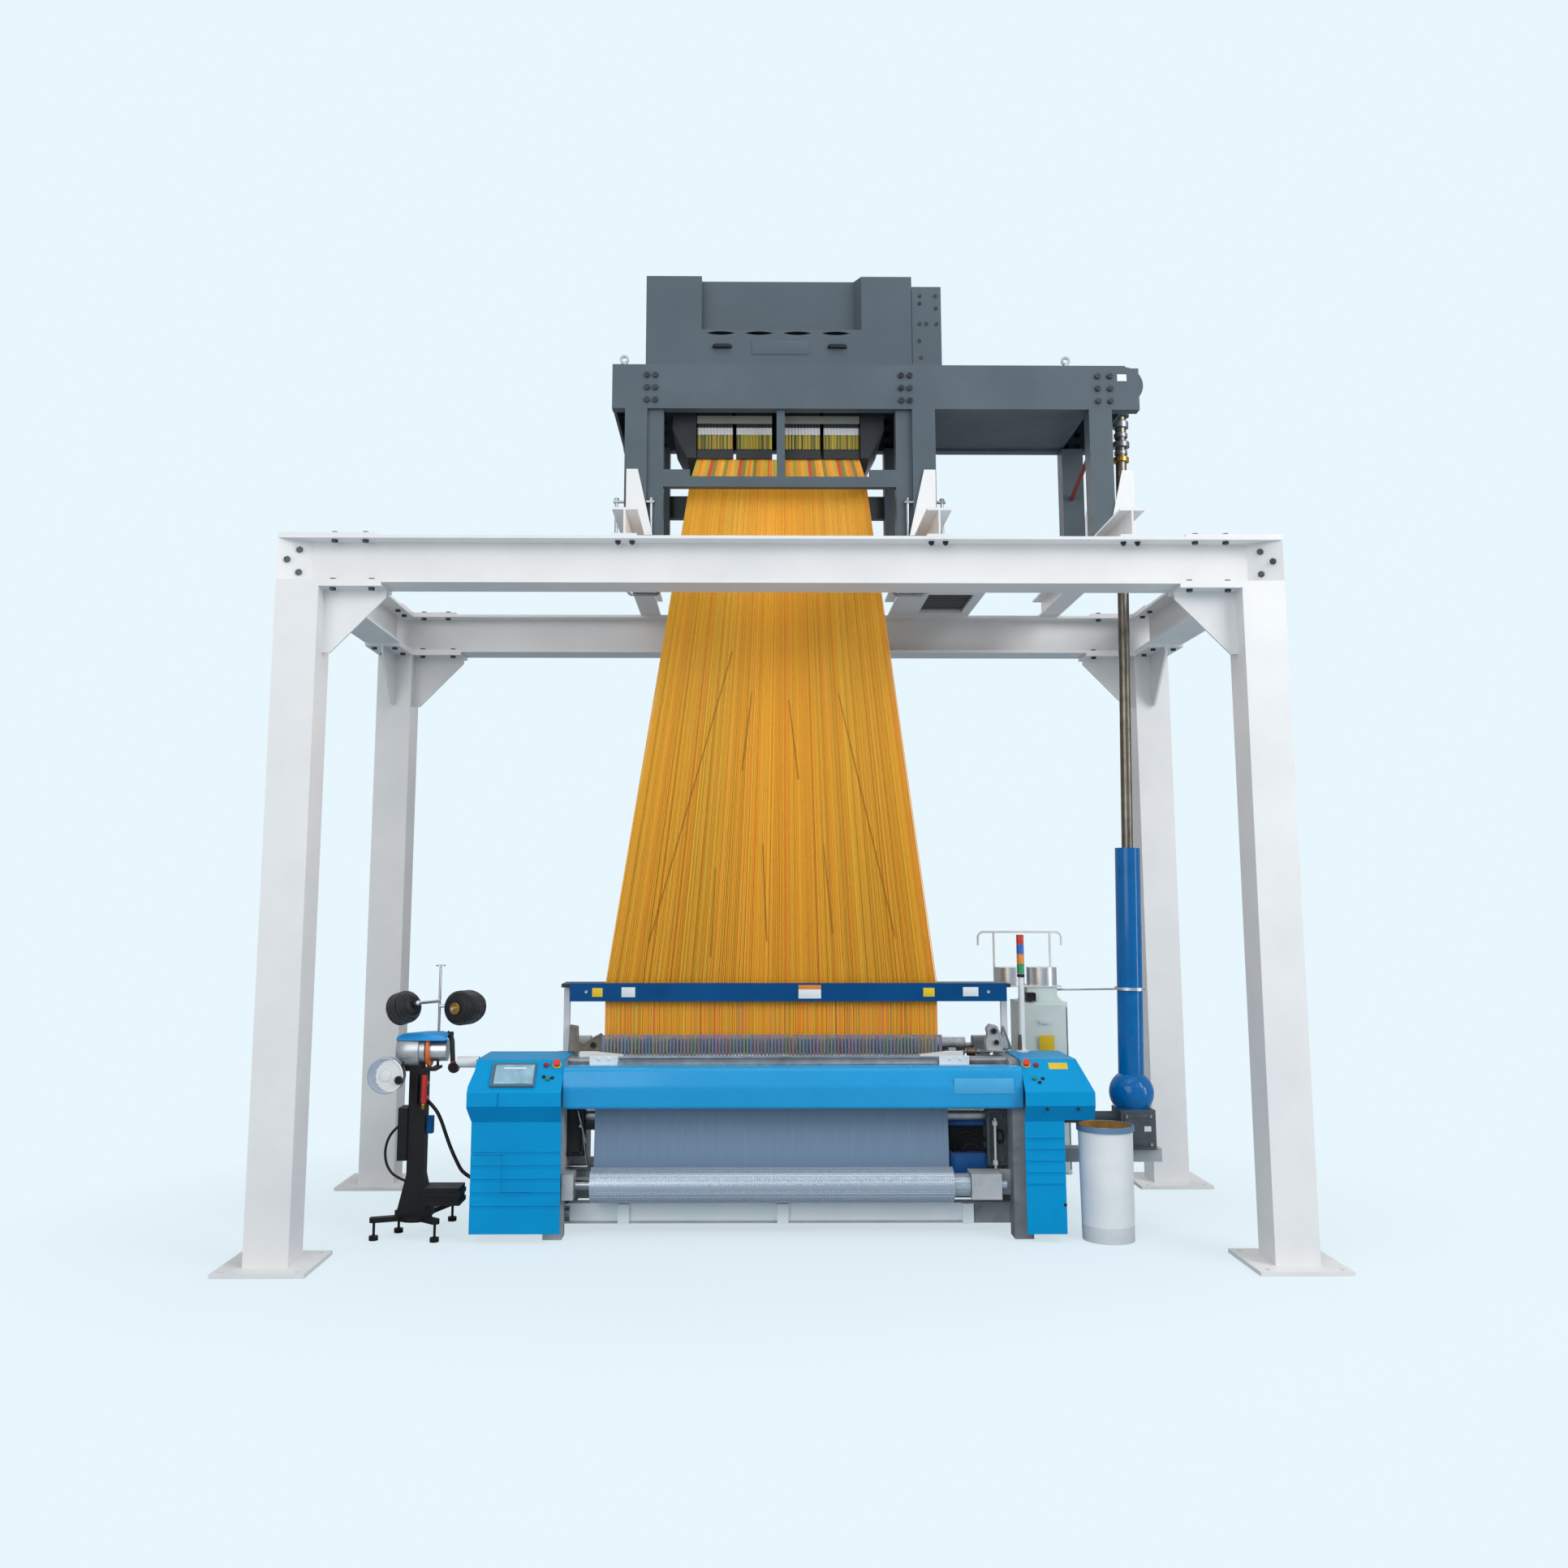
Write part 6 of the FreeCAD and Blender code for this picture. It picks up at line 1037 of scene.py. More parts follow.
# pieces that are one panel each: a bare raised plate and a seam on the hood, plain colour fields where
# the real machine has labels, the grooved rail between the temples, small boxes and cover plates
panels = {
    "hoodBarePlate": {"box": ((-0.155, -0.5535, 4.850), (0.169, -0.5495, 4.931)), "inset": (0.006, 0.001),
                      "bevel": (0.001, 2), "finish": "hoodEnamel", "slot": "slate_paint"},
    "hoodSeam": {"box": ((0.760, -0.5515, 4.800), (0.764, -0.5495, 5.245)), "bevel": (0.0005, 1),
                 "finish": "darkEnamel", "slot": "slate_paint"},
    "railEndField": {"box": ((1.926, -0.5530, 4.698), (1.980, -0.5495, 4.738)), "bevel": (0.001, 1),
                     "finish": "whiteField", "slot": "slate_paint"},
    "breastColourField": {"box": ((0.921, -0.5562, 0.757), (1.238, -0.5546, 0.836)),
                          "inset": (0.003, 0.0003), "finish": "paleBlueField", "slot": "blue_gloss"},
    "templeRail": {"box": ((-0.872, -0.4385, 0.890), (0.860, -0.4265, 0.936)), "inset": (0.009, -0.004),
                   "bevel": (0.0015, 2), "finish": "satinSteel", "slot": "steel"},
    "junctionBox": {"box": ((-1.890, -0.428, 0.535), (-1.857, -0.384, 0.625)), "inset": (0.005, -0.002),
                    "bevel": (0.003, 2), "finish": "guardBlue", "slot": "blue_paint"},
    "neckSwitch": {"box": ((1.528, 0.482, 1.162), (1.584, 0.551, 1.212)), "inset": (0.006, -0.004),
                   "bevel": (0.003, 2), "finish": "blackNylon", "slot": "dark_paint"},
    "doorYellowField": {"box": ((1.594, 0.4648, 0.872), (1.684, 0.4664, 0.960)), "inset": (0.005, 0.0003),
                        "finish": "yellowField", "slot": "cabinet_paint", "body": "door"},
    "doorPaleField": {"box": ((1.602, 0.4648, 1.030), (1.670, 0.4664, 1.054)), "inset": (0.004, 0.0003),
                      "finish": "whiteField", "slot": "cabinet_paint", "body": "door"},
    "beamEndPlate": {"box": ((1.046, -0.3560, 0.0556), (1.2405, -0.3502, 0.1580)),
                     "inset": (0.010, -0.002), "bevel": (0.0015, 1), "finish": "greyCasting",
                     "slot": "grey_casting"},
    "gearboxCover": {"box": ((1.900, -0.2560, 0.432), (2.056, -0.2495, 0.606)), "inset": (0.022, -0.003),
                     "bevel": (0.003, 2), "finish": "slateCasting", "slot": "grey_casting"},
    "gearboxField": {"box": ((2.006, -0.2572, 0.512), (2.044, -0.2555, 0.540)), "bevel": (0.0004, 1),
                     "finish": "whiteField", "slot": "grey_casting"},
}
for name, p in panels.items():
    plate = panel(*p["box"], p.get("inset"), p.get("bevel"))
    settle(plate, name, p["finish"], p.get("body", "machine"))

# rows of panels along X: pale shelves over the hook modules, white front plates that carry the temples,
# with two low bumps each, and the front cross beam's turned-down lips between its ribs, greyer than the
# beam as painted shade along its lower edge
panelRows = {
    "moduleShelves": {"spans": [(-0.468, -0.036), (0.036, 0.468)], "depth": (-0.4075, -0.3995),
                      "height": (4.492, 4.538), "inset": (0.004, -0.002), "bevel": (0.001, 1),
                      "finish": "shelfPaint", "slot": "steel"},
    "templePlates": {"spans": [(-1.023, -0.872), (0.860, 1.022)], "depth": (-0.4400, -0.4365),
                     "height": (0.886, 0.9395), "inset": (0.006, -0.001), "bevel": (0.001, 1),
                     "finish": "whiteNylon", "slot": "white_plastic", "bumps": (0.35, 0.7)},
    # the lips' greyer finish is painted shade along the beam's lower edge
    "beamLips": {"spans": [(-1.1515, -0.870), (-0.810, -0.010), (0.050, 0.980)],
                 "depth": (-0.3550, -0.3502), "height": (0.0556, 0.0690), "bevel": (0.0015, 1),
                 "finish": "paleCasting", "slot": "pale_paint"},
}
for name, r in panelRows.items():
    pieces = []
    (front, rear), (low, high) = r["depth"], r["height"]
    for left, right in r["spans"]:
        pieces.append(panel((left, front, low), (right, rear, high), r.get("inset"), r["bevel"]))
        for share in r.get("bumps", ()):
            pieces.append(turned([(0.008, 0), (0.007, 0.004), (0.004, 0.006)], 20,
                                 (left + (right - left) * share, front + 0.001, high - 0.016), (0, -1, 0)))
    settle(join(pieces), name, r["finish"])


# a prism whose outline is given in X and Z, drawn out along Y
def plateXZ(outline, front, rear):
    mesh = bpy.data.meshes.new("plate")
    mesh.from_pydata([(x, front, z) for x, z in outline], [], [list(range(len(outline)))])
    piece = bpy.data.objects.new("plate", mesh)
    scene.collection.objects.link(piece)
    openForm(piece)
    bpy.ops.mesh.extrude_region_move(TRANSFORM_OT_translate={"value": (0, rear - front, 0)})
    closeForm()
    return piece


# a screw head with a hexagon socket, its head standing out towards the front
def socketScrew(spot, radius, head):
    screw = turned([(radius, 0), (radius, head * 0.8), (radius * 0.85, head)], 16, spot, (0, -1, 0))
    pickFaces(screw, facesFront)
    bpy.ops.mesh.inset(thickness=radius * 0.4, depth=-head * 0.4)
    bpy.ops.object.mode_set(mode="OBJECT")
    return screw


# screws that stand on one upright face each, at (x, z)
screwRows = {
    "sideBoxScrews": {"y": -0.5495, "radius": 0.010, "head": 0.006, "finish": "blackBolt",
                      "spots": [(0.809, 5.205), (0.898, 5.205), (0.808, 5.159), (0.900, 5.130),
                                (0.806, 5.037), (0.845, 5.037), (0.903, 5.037), (0.804, 4.935),
                                (0.812, 4.835)]},
    "guardScrews": {"y": -0.1925, "radius": 0.009, "head": 0.005, "finish": "zincPlate",
                    "spots": [(-1.076, 1.263), (1.177, 1.263)]},
    "coverScrews": {"y": -0.6095, "radius": 0.009, "head": 0.004, "finish": "blackBolt",
                    "spots": [(1.400, 0.683), (1.563, 0.683), (1.480, 0.200)]},
    "gearboxBolts": {"y": -0.2555, "radius": 0.009, "head": 0.008, "finish": "zincPlate",
                     "spots": [(1.912, 0.444), (2.044, 0.444), (1.912, 0.594), (2.044, 0.594)]},
}
for name, row in screwRows.items():
    screws = [socketScrew((x, row["y"], z), row["radius"], row["head"]) for x, z in row["spots"]]
    settle(join(screws), name, row["finish"])

# under the head gearbox: the collars of a cross joint on the slanted shaft, brass-faced below
headJoint = {"foot": (1.973, -0.150, 0.786), "head": (2.051, -0.150, 4.653), "radius": 0.034,
             "collars": [(4.560, 0.046, 0.040), (4.500, 0.040, 0.028), (4.440, 0.050, 0.034),
                         (4.395, 0.038, 0.026), (4.350, 0.046, 0.030)], "brassBelow": 4.385}


def buildHeadJoint():
    foot = headJoint["foot"]
    axis = Vector(headJoint["head"]) - Vector(foot)
    pieces = []
    for height, radius, tall in headJoint["collars"]:
        spot = Vector(foot) + axis * ((height - foot[2]) / axis.z)
        rings = [(headJoint["radius"], 0), (radius, 0.001), (radius, tall - 0.004), (radius - 0.004, tall)]
        collar = turned(rings, 32, spot, axis)
        insetField(collar, lambda middle, normal: normal.z > 0.95, 0.003, -0.002)
        pieces.append(collar)
    joint = settle(join(pieces), "crossJointCollars", None, "head_drive")
    dress(joint, ["satinSteel", "brass"], lambda middle, normal: int(middle.z < headJoint["brassBelow"]))


buildHeadJoint()

# flat brace between the rear and the front right post, in oxide red
braceEnds = ((1.812, 0.1400, 4.205), (1.838, -0.4350, 4.430))
settle(rod(*braceEnds, 0.014, 8, 0.003), "postBrace", "braceRed")

# generic colour fields on the guard bar, without any sign or lettering
guardFields = [("yellowField", -1.042, 1.236, -0.984, 1.284), ("whiteField", -0.878, 1.234, -0.802, 1.288),
               ("yellowField", 0.811, 1.236, 0.874, 1.284), ("whiteField", 1.034, 1.238, 1.120, 1.288),
               ("whiteField", 0.112, 1.226, 0.238, 1.276), ("orangeField", 0.112, 1.276, 0.238, 1.300)]


def buildGuardFields():
    pieces = []
    for name, left, low, right, high in guardFields:
        field = panel((left, -0.1942, low), (right, -0.1929, high), (0.004, 0.0003))
        dress(field, [name])
        pieces.append(field)
    settle(join(pieces), "guardColourFields", None)


buildGuardFields()
print("upper details placed")

# the slope of both covers: foot, and the way up it
slope = {"footY": -0.610, "footZ": 0.770, "angle": math.radians(47.9)}
slopeOut = Vector((0, -math.sin(slope["angle"]), math.cos(slope["angle"])))


def onSlope(x, up):
    angle = slope["angle"]
    return x, slope["footY"] + up * math.cos(angle), slope["footZ"] + up * math.sin(angle)


# plates that lie on the slope: display glass, a plain field on it and one on the right cover
slopePlates = {
    "screenGlass": {"spot": (-1.407, 0.106), "size": (0.204, 0.120), "layer": (0.0135, 0.0148),
                    "inset": (0.004, -0.0006), "finish": "screenGlass", "slot": "dark_plastic"},
    "screenField": {"spot": (-1.407, 0.144), "size": (0.120, 0.010), "layer": (0.0140, 0.0150),
                    "bevel": (0.0003, 1), "finish": "whiteField", "slot": "dark_plastic"},
    "coverColourField": {"spot": (1.487, 0.164), "size": (0.100, 0.040), "layer": (-0.0003, 0.0009),
                         "inset": (0.004, 0.0002), "finish": "yellowField", "slot": "blue_cover"},
}
for name, s in slopePlates.items():
    (wide, tall), (low, high) = s["size"], s["layer"]
    plate = block((-wide / 2, -tall / 2, low), (wide / 2, tall / 2, high))
    plate.data.transform(Matrix.Translation(onSlope(*s["spot"])) @ Matrix.Rotation(slope["angle"], 4, "X"))
    if "inset" in s:
        insetField(plate, lambda middle, normal: normal.dot(slopeOut) > 0.9, *s["inset"])
    if "bevel" in s:
        bevelEdges(plate, *s["bevel"])
    settle(plate, name, s["finish"])

# beside each stop button: a ring under it, a dark red push button and small dark ones
slopeButtons = {
    "stopButtonRings": {"rings": [(0.0235, -0.001), (0.0235, 0.0035), (0.0215, 0.0045), (0.0165, 0.0045)],
                        "sides": 32, "finish": "yellowField", "slot": "red_plastic",
                        "spots": [(-1.190, 0.176), (1.318, 0.176)]},
    "darkRedButtons": {"rings": [(0.0150, -0.001), (0.0150, 0.0060), (0.0115, 0.0065), (0.0115, 0.0105),
                                 (0.0100, 0.0120)],
                       "sides": 28, "finish": "darkRed", "slot": "red_plastic",
                       "spots": [(-1.246, 0.171), (1.369, 0.168)]},
    "smallDarkButtons": {"rings": [(0.0095, -0.001), (0.0095, 0.0040), (0.0070, 0.0045), (0.0070, 0.0070),
                                   (0.0060, 0.0080)],
                         "sides": 20, "finish": "blackNylon", "slot": "dark_paint",
                         "spots": [(-1.206, 0.092), (-1.252, 0.098), (1.392, 0.084), (1.372, 0.060)]},
}
for name, b in slopeButtons.items():
    buttons = [turned(b["rings"], b["sides"], onSlope(*spot), slopeOut) for spot in b["spots"]]
    settle(join(buttons), name, b["finish"])

# left cover: the seam of a hatch, as (x, z)
hatchSeam = [(-1.300, 0.268), (-1.452, 0.268), (-1.452, 0.455), (-1.598, 0.455)]


def buildHatchSeam():
    half = 0.0015
    lines = []
    for (ax, az), (bx, bz) in zip(hatchSeam, hatchSeam[1:]):
        low = (min(ax, bx) - half, -0.6112, min(az, bz) - half)
        high = (max(ax, bx) + half, -0.6090, max(az, bz) + half)
        lines.append(panel(low, high, bevel=(0.0005, 1)))
    settle(join(lines), "hatchSeam", "seamBlue")


buildHatchSeam()

# brackets beside the heddles: a grey-brown arm on the left, a pale casting and a gusset on the right
heddleBrackets = {
    "leftArm": {"outline": [(-1.181, 0.9285), (-0.992, 0.9285), (-0.986, 0.960), (-0.986, 1.004),
                            (-1.000, 1.026), (-1.030, 1.012), (-1.052, 1.000), (-1.096, 0.974),
                            (-1.126, 0.992), (-1.130, 1.066), (-1.174, 1.074), (-1.176, 1.010)],
                "depth": (-0.120, -0.055), "finish": "brownGreyCasting"},
    "rightCasting": {"outline": [(1.172, 0.9285), (1.262, 0.9285), (1.266, 0.975), (1.250, 1.034),
                                 (1.236, 1.068), (1.196, 1.076), (1.176, 1.052), (1.182, 1.020),
                                 (1.168, 0.985)],
                     "depth": (-0.120, -0.050), "finish": "paleCasting"},
    "rightGusset": {"outline": [(1.240, 0.9285), (1.330, 0.9285), (1.322, 0.960), (1.284, 1.062),
                                (1.272, 1.060), (1.262, 1.000)],
                    "depth": (-0.049, -0.037), "finish": "greyCasting"},
}
bracketBosses = [(1.214, 1.040, 0.016), (1.228, 0.978, 0.014), (-1.040, 0.966, 0.016)]  # x, z, radius


def buildHeddleBrackets():
    for name, b in heddleBrackets.items():
        piece = plateXZ(b["outline"], *b["depth"])
        insetField(piece, facesFront, 0.009, -0.004)
        settle(bevelEdges(piece, 0.002, 2, 40), name, b["finish"])
    bosses = []
    for x, z, radius in bracketBosses:
        bosses.append(turned([(radius, 0), (radius, 0.012), (radius * 0.55, 0.012), (radius * 0.55, 0.002)],
                             24, (x, -0.117, z), (0, -1, 0)))
    settle(join(bosses), "bracketBosses", "darkEnamel")


buildHeddleBrackets()

# weft cutter and feeler on the right end of the sley: they swing with it
sleyEnd = {"shaft": (0.930, 1.190), "y": -0.200, "z": 0.936, "top": 0.8845, "ribs": 9,
           "ribDepth": (-0.2380, -0.2350), "ribHeight": (0.888, 0.912),
           "box": ((1.050, -0.236, 0.8845), (1.232, -0.176, 0.916)), "legs": (0.926, 1.020, 1.128),
           "roller": (1.046, 28, [(0.018, 0), (0.021, 0.003), (0.021, 0.045), (0.018, 0.048)]),
           "ring": (1.104, 24, [(0.013, 0), (0.013, 0.014), (0.010, 0.016)]),
           "nut": (0.944, 6, [(0.024, 0), (0.024, 0.040), (0.018, 0.044)])}


def buildSleyEnd():
    e = sleyEnd
    y, z = e["y"], e["z"]
    box = panel(*e["box"], bevel=(0.003, 2))
    left, right = e["box"][0][0], e["box"][1][0]
    pitch = (right - left) / (e["ribs"] + 1)
    (front, rear), (low, high) = e["ribDepth"], e["ribHeight"]
    rib = panel((left + pitch - 0.003, front, low), (left + pitch + 0.003, rear, high), bevel=(0.001, 1))
    ribs = repeatAt(rib, [(pitch * i, 0, 0) for i in range(1, e["ribs"])])
    settle(join([box, ribs]), "feelerBox", "darkEnamel", "sley_body")
    shaft = rod((e["shaft"][0], y, z), (e["shaft"][1], y, z), 0.006, 16, 0.001)
    roller, ring, nut = [turned(rings, sides, (x, y, z), (1, 0, 0))
                         for x, sides, rings in (e["roller"], e["ring"], e["nut"])]
    legs = [panel((x, y - 0.007, e["top"]), (x + 0.012, y + 0.007, z + 0.009), bevel=(0.002, 1))
            for x in e["legs"]]
    settle(join([shaft, ring, nut] + legs), "cutterShaft", "satinSteel", "sley_body")
    settle(roller, "cutterRoller", "brownSteel", "sley_body")


buildSleyEnd()
print("covers, buttons and brackets detailed")

# drives between the left cover and the cloth: a black case, a gear pair and two levers
leftDrive = {"wall": -1.1515, "case": ((-1.1515, -0.335, 0.400), (-1.058, -0.240, 0.655)),
             "lugs": [(-1.136, 0.640), (-1.074, 0.640), (-1.136, 0.415), (-1.074, 0.415)],
             "gears": [(0.072, 0.205, -0.300, 0.018, 22), (0.045, 0.105, -0.330, 0.026, 15)],
             "levers": [[(-1.092, -0.338, 0.640), (-1.070, -0.345, 0.560), (-1.046, -0.345, 0.470)],
                        [(-1.064, -0.336, 0.520), (-1.050, -0.330, 0.420), (-1.040, -0.325, 0.345)]],
             "pin": ((-1.076, -0.330, 0.560), (-1.076, -0.352, 0.560)),
             "foot": ((-1.1515, -0.325, 0.345), (-1.034, -0.325, 0.345))}


# a gear seen from its end: a disc whose every other rim face is drawn out
def gear(radius, z, y, thick, teeth):
    root = radius * 0.86
    disc = turned([(root, 0), (root, thick)], teeth * 2, (leftDrive["wall"], y, z), (1, 0, 0))
    pickFaces(disc, lambda middle, normal: abs(normal.x) < 0.2 and int(
        ((math.atan2(middle.z - z, middle.y - y) + math.pi) / math.pi * teeth)) % 2 == 0)
    bpy.ops.mesh.extrude_faces_move(TRANSFORM_OT_shrink_fatten={"value": radius * 0.14})
    bpy.ops.object.mode_set(mode="OBJECT")
    insetField(disc, lambda middle, normal: normal.x > 0.9 and abs(middle.z - z) < 0.001,
               radius * 0.3, -0.004)
    return disc


def buildLeftDrive():
    d = leftDrive
    case = panel(*d["case"], (0.016, -0.012))
    lugs = [turned([(0.013, 0), (0.013, 0.012), (0.009, 0.014)], 20, (x, -0.334, z), (0, -1, 0))
            for x, z in d["lugs"]]
    settle(join([bevelEdges(case, 0.004)] + lugs), "leftDriveCase", "blackNylon")
    settle(join([gear(*measures) for measures in d["gears"]]), "leftGears", "satinSteel")
    levers = [bentBar(points, 0.0055, 2) for points in d["levers"]]
    pin = rod(*d["pin"], 0.008, 16, 0.001)
    foot = rod(*d["foot"], 0.009, 16, 0.001)
    settle(join(levers + [pin, foot]), "leftLevers", "brightSteel")


buildLeftDrive()

# drives between the cloth and the right frame: grey case, blue tank and pipe, hoses, white lift rod
rightDrive = {"case": ((1.128, -0.330, 0.345), (1.2405, -0.200, 0.640)),
              "rear": ((0.930, -0.130, 0.332), (1.205, -0.060, 0.800)), "rim": (1.060, -0.118, 0.560),
              "tank": ((0.932, -0.300, 0.300), (1.129, -0.190, 0.405)),
              "pipe": ((0.930, -0.230, 0.556), (1.129, -0.230, 0.556)),
              "coil": {"x": 1.196, "y": -0.345, "z": 0.500, "radius": 0.034, "turns": 4},
              "hoses": [[(0.955, -0.240, 0.404), (0.965, -0.245, 0.470), (1.010, -0.250, 0.520),
                         (1.080, -0.255, 0.500), (1.130, -0.260, 0.470)],
                        [(1.000, -0.260, 0.404), (1.010, -0.265, 0.440), (1.050, -0.270, 0.455),
                         (1.100, -0.275, 0.435), (1.130, -0.275, 0.420)]],
              "lift": ((1.168, -0.352, 0.320), (1.168, -0.352, 0.600)),
              "clamps": [((1.156, -0.362, 0.352), (1.180, -0.3295, 0.378)),
                         ((1.156, -0.362, 0.560), (1.180, -0.3295, 0.586))]}


def buildRightDrive():
    d = rightDrive
    case = panel(*d["case"], (0.018, -0.010))
    insetField(case, lambda middle, normal: normal.x < -0.9, 0.018, -0.006)
    settle(bevelEdges(case, 0.004), "rightDriveCase", "slateCasting")
    rear = panel(*d["rear"], (0.020, -0.012))
    rim = turned([(0.052, 0), (0.058, 0.006), (0.058, 0.018), (0.030, 0.022)], 36, d["rim"], (0, -1, 0))
    settle(join([bevelEdges(rear, 0.004), rim]), "rearDriveCase", "darkEnamel")
    tank = panel(*d["tank"], (0.012, 0.004))
    pipe = rod(*d["pipe"], 0.016, 24, 0.002)
    settle(join([bevelEdges(tank, 0.008, 3), pipe]), "blueTank", "tankBlue")
    hoses = [bentBar(points, 0.008, 3) for points in d["hoses"]]
    coil = d["coil"]
    spiral = []
    for i in range(coil["turns"] * 10 + 1):
        turn = i / 10 * 2 * math.pi
        spiral.append((coil["x"] + coil["radius"] * 0.6 * math.cos(turn), coil["y"] + 0.006 * i / 10,
                       coil["z"] + coil["radius"] * math.sin(turn)))
    hoses.append(bentBar(spiral, 0.0045, 2))
    settle(join(hoses), "driveHoses", "cableRubber")
    lift = rod(*d["lift"], 0.0065, 20, 0.001)
    clamps = [panel(*box, bevel=(0.003, 1)) for box in d["clamps"]]
    settle(join([lift] + clamps), "liftRod", "whiteNylon")


buildRightDrive()
print("drives beside the cloth placed")

# feeder: blue hood over housing and drum, an outlet arm with a red eye, a push button
feederHead = {"y": -0.400, "z": 0.968, "hoodLift": 0.056,
              "hood": [(0.0760, -2.060), (0.0870, -2.030), (0.0930, -1.960), (0.0975, -1.905),
                       (0.0985, -1.830), (0.0900, -1.786)],
              "shell": [(0.0450, -2.064), (0.0700, -2.058), (0.0835, -2.030), (0.0865, -1.985),
                        (0.0850, -1.937), (0.0700, -1.935)],
              "seat": ((-2.030, -0.415, 1.046), (-1.970, -0.385, 1.0585)),
              "arm": [(-1.800, -0.400, 1.060), (-1.772, -0.404, 1.040), (-1.766, -0.415, 0.980),
                      (-1.762, -0.412, 0.905)],
              "clip": ((-1.790, -0.420, 1.030), (-1.764, -0.396, 1.066)), "eye": (-1.758, 0.880, 0.028),
              "button": (-2.036, -0.452, 0.936), "buttonWay": (-0.25, -0.9, -0.35)}
spool = {"middle": (-2.085, -0.5585, 0.851), "eye": (-2.012, -0.566, 0.830), "shadeCrescentFrom": 0.080,
         "aside": 0.030, "arm": [(-2.012, -0.560, 0.838), (-2.004, -0.545, 0.880), (-2.010, -0.490, 0.915)]}


def buildFeederHead():
    f = feederHead
    y, z = f["y"], f["z"]
    hood, shell = [turned([(radius, x - f[part][0][1]) for radius, x in f[part]], 48,
                          (f[part][0][1], y, z), (1, 0, 0), part == "shell") for part in ("hood", "shell")]
    openForm(hood)
    bpy.ops.mesh.bisect(plane_co=(0, 0, z + f["hoodLift"]), plane_no=(0, 0, -1), clear_outer=True)
    bpy.ops.object.mode_set(mode="OBJECT")
    wall = hood.modifiers.new("hoodWall", "SOLIDIFY")
    wall.thickness = 0.003
    wall.offset = 1
    applyModifiers(hood)
    settle(shell, "feederShell", "dieCast", smoothAngle=40)
    seat = panel(*f["seat"], bevel=(0.003, 2))
    settle(join([hood, seat]), "feederHood", "feederBlue", smoothAngle=40)
    arm = bentBar(f["arm"], 0.0135)
    x, eyeZ, radius = f["eye"]
    eye = turned([(radius - 0.002, 0), (radius, 0.004), (radius, 0.016), (radius - 0.004, 0.020),
                  (radius - 0.010, 0.020), (radius - 0.012, 0.006)], 32, (x, y - 0.016, eyeZ), (0.3, -1, 0))
    eyeRing = []
    reach = radius + 0.001
    for i in range(25):
        turn = i * math.pi / 12
        eyeRing.append((x + 0.005 + reach * math.cos(turn), y - 0.022 + 0.3 * radius * math.cos(turn),
                        eyeZ + reach * math.sin(turn)))
    clip = panel(*f["clip"], bevel=(0.003, 1))
    settle(join([arm, clip, eye]), "outletArm", "blackNylon")
    settle(bentBar(eyeRing, 0.0028, 2), "outletEye", "redButton")
    push = turned([(0.0120, 0), (0.0120, 0.006), (0.0090, 0.007), (0.0090, 0.014), (0.0075, 0.016)], 24,
                  f["button"], f["buttonWay"])
    settle(push, "feederButton", "redButton")


# second spool: a white dished face with a rim, grey towards its left side as a crescent of painted shade,
# and the dark outlet eye before it
def buildSpoolFace():
    x, z = spool["middle"][0] + spool["aside"], spool["middle"][2]
    rings = [(0.0945, 0), (0.0945, 0.004), (0.0880, 0.0060)]
    rings += [(0.0820 - 0.0065 * i, 0.0030 - 0.0002 * i) for i in range(9)]
    rings += [(0.0280, 0.0060), (0.0180, 0.0070)]
    face = settle(turned(rings, 64, spool["middle"], (0, -1, 0)), "spoolFace", None)
    # faces far from a centre shifted to the right turn grey: painted shade on the face's left side
    dress(face, ["whiteNylon", "spoolShadeCrescent"],
          lambda middle, normal: int(math.hypot(middle.x - x, middle.z - z) > spool["shadeCrescentFrom"]))
    eye = turned([(0.0220, 0), (0.0220, 0.010), (0.0180, 0.014), (0.0110, 0.014), (0.0100, 0.004)], 28,
                 spool["eye"], (0.2, -1, 0))
    settle(join([eye, bentBar(spool["arm"], 0.007, 2)]), "spoolEye", "blackNylon")


buildFeederHead()
buildSpoolFace()

# stand: a red release bar with two lugs and a brass end
standDetail = {"bar": [(-1.896, -0.478, 0.846), (-1.898, -0.478, 0.700)], "brass": (-1.8985, -0.478, 0.668),
               "lugs": [((-1.914, -0.472, 0.716), (-1.880, -0.436, 0.734)),
                        ((-1.914, -0.472, 0.792), (-1.880, -0.436, 0.810))]}


def buildStandDetail():
    bar = rod(*standDetail["bar"], 0.0150, 24, 0.003)
    lugs = [panel(*box, bevel=(0.003, 1)) for box in standDetail["lugs"]]
    settle(join([bar] + lugs), "releaseBar", "standRed")
    tip = turned([(0.010, 0), (0.012, 0.004), (0.012, 0.024), (0.010, 0.030)], 20, standDetail["brass"],
                 (0.014, 0, 1))
    settle(tip, "releaseTip", "brass")


buildStandDetail()

# tower: dark collar under the lamps and a heat-tinted foot; bin: amber film inside
towerDetail = {"collar": (1.379, -0.100, 1.338), "footDepth": (-0.118, -0.084),
               "foot": [(1.352, 0.9245), (1.374, 0.9245), (1.371, 1.018), (1.358, 1.022)]}
binLiner = {"rings": [(0.1395, 0.440), (0.1400, 0.500), (0.1410, 0.580)], "film": 0.0012}


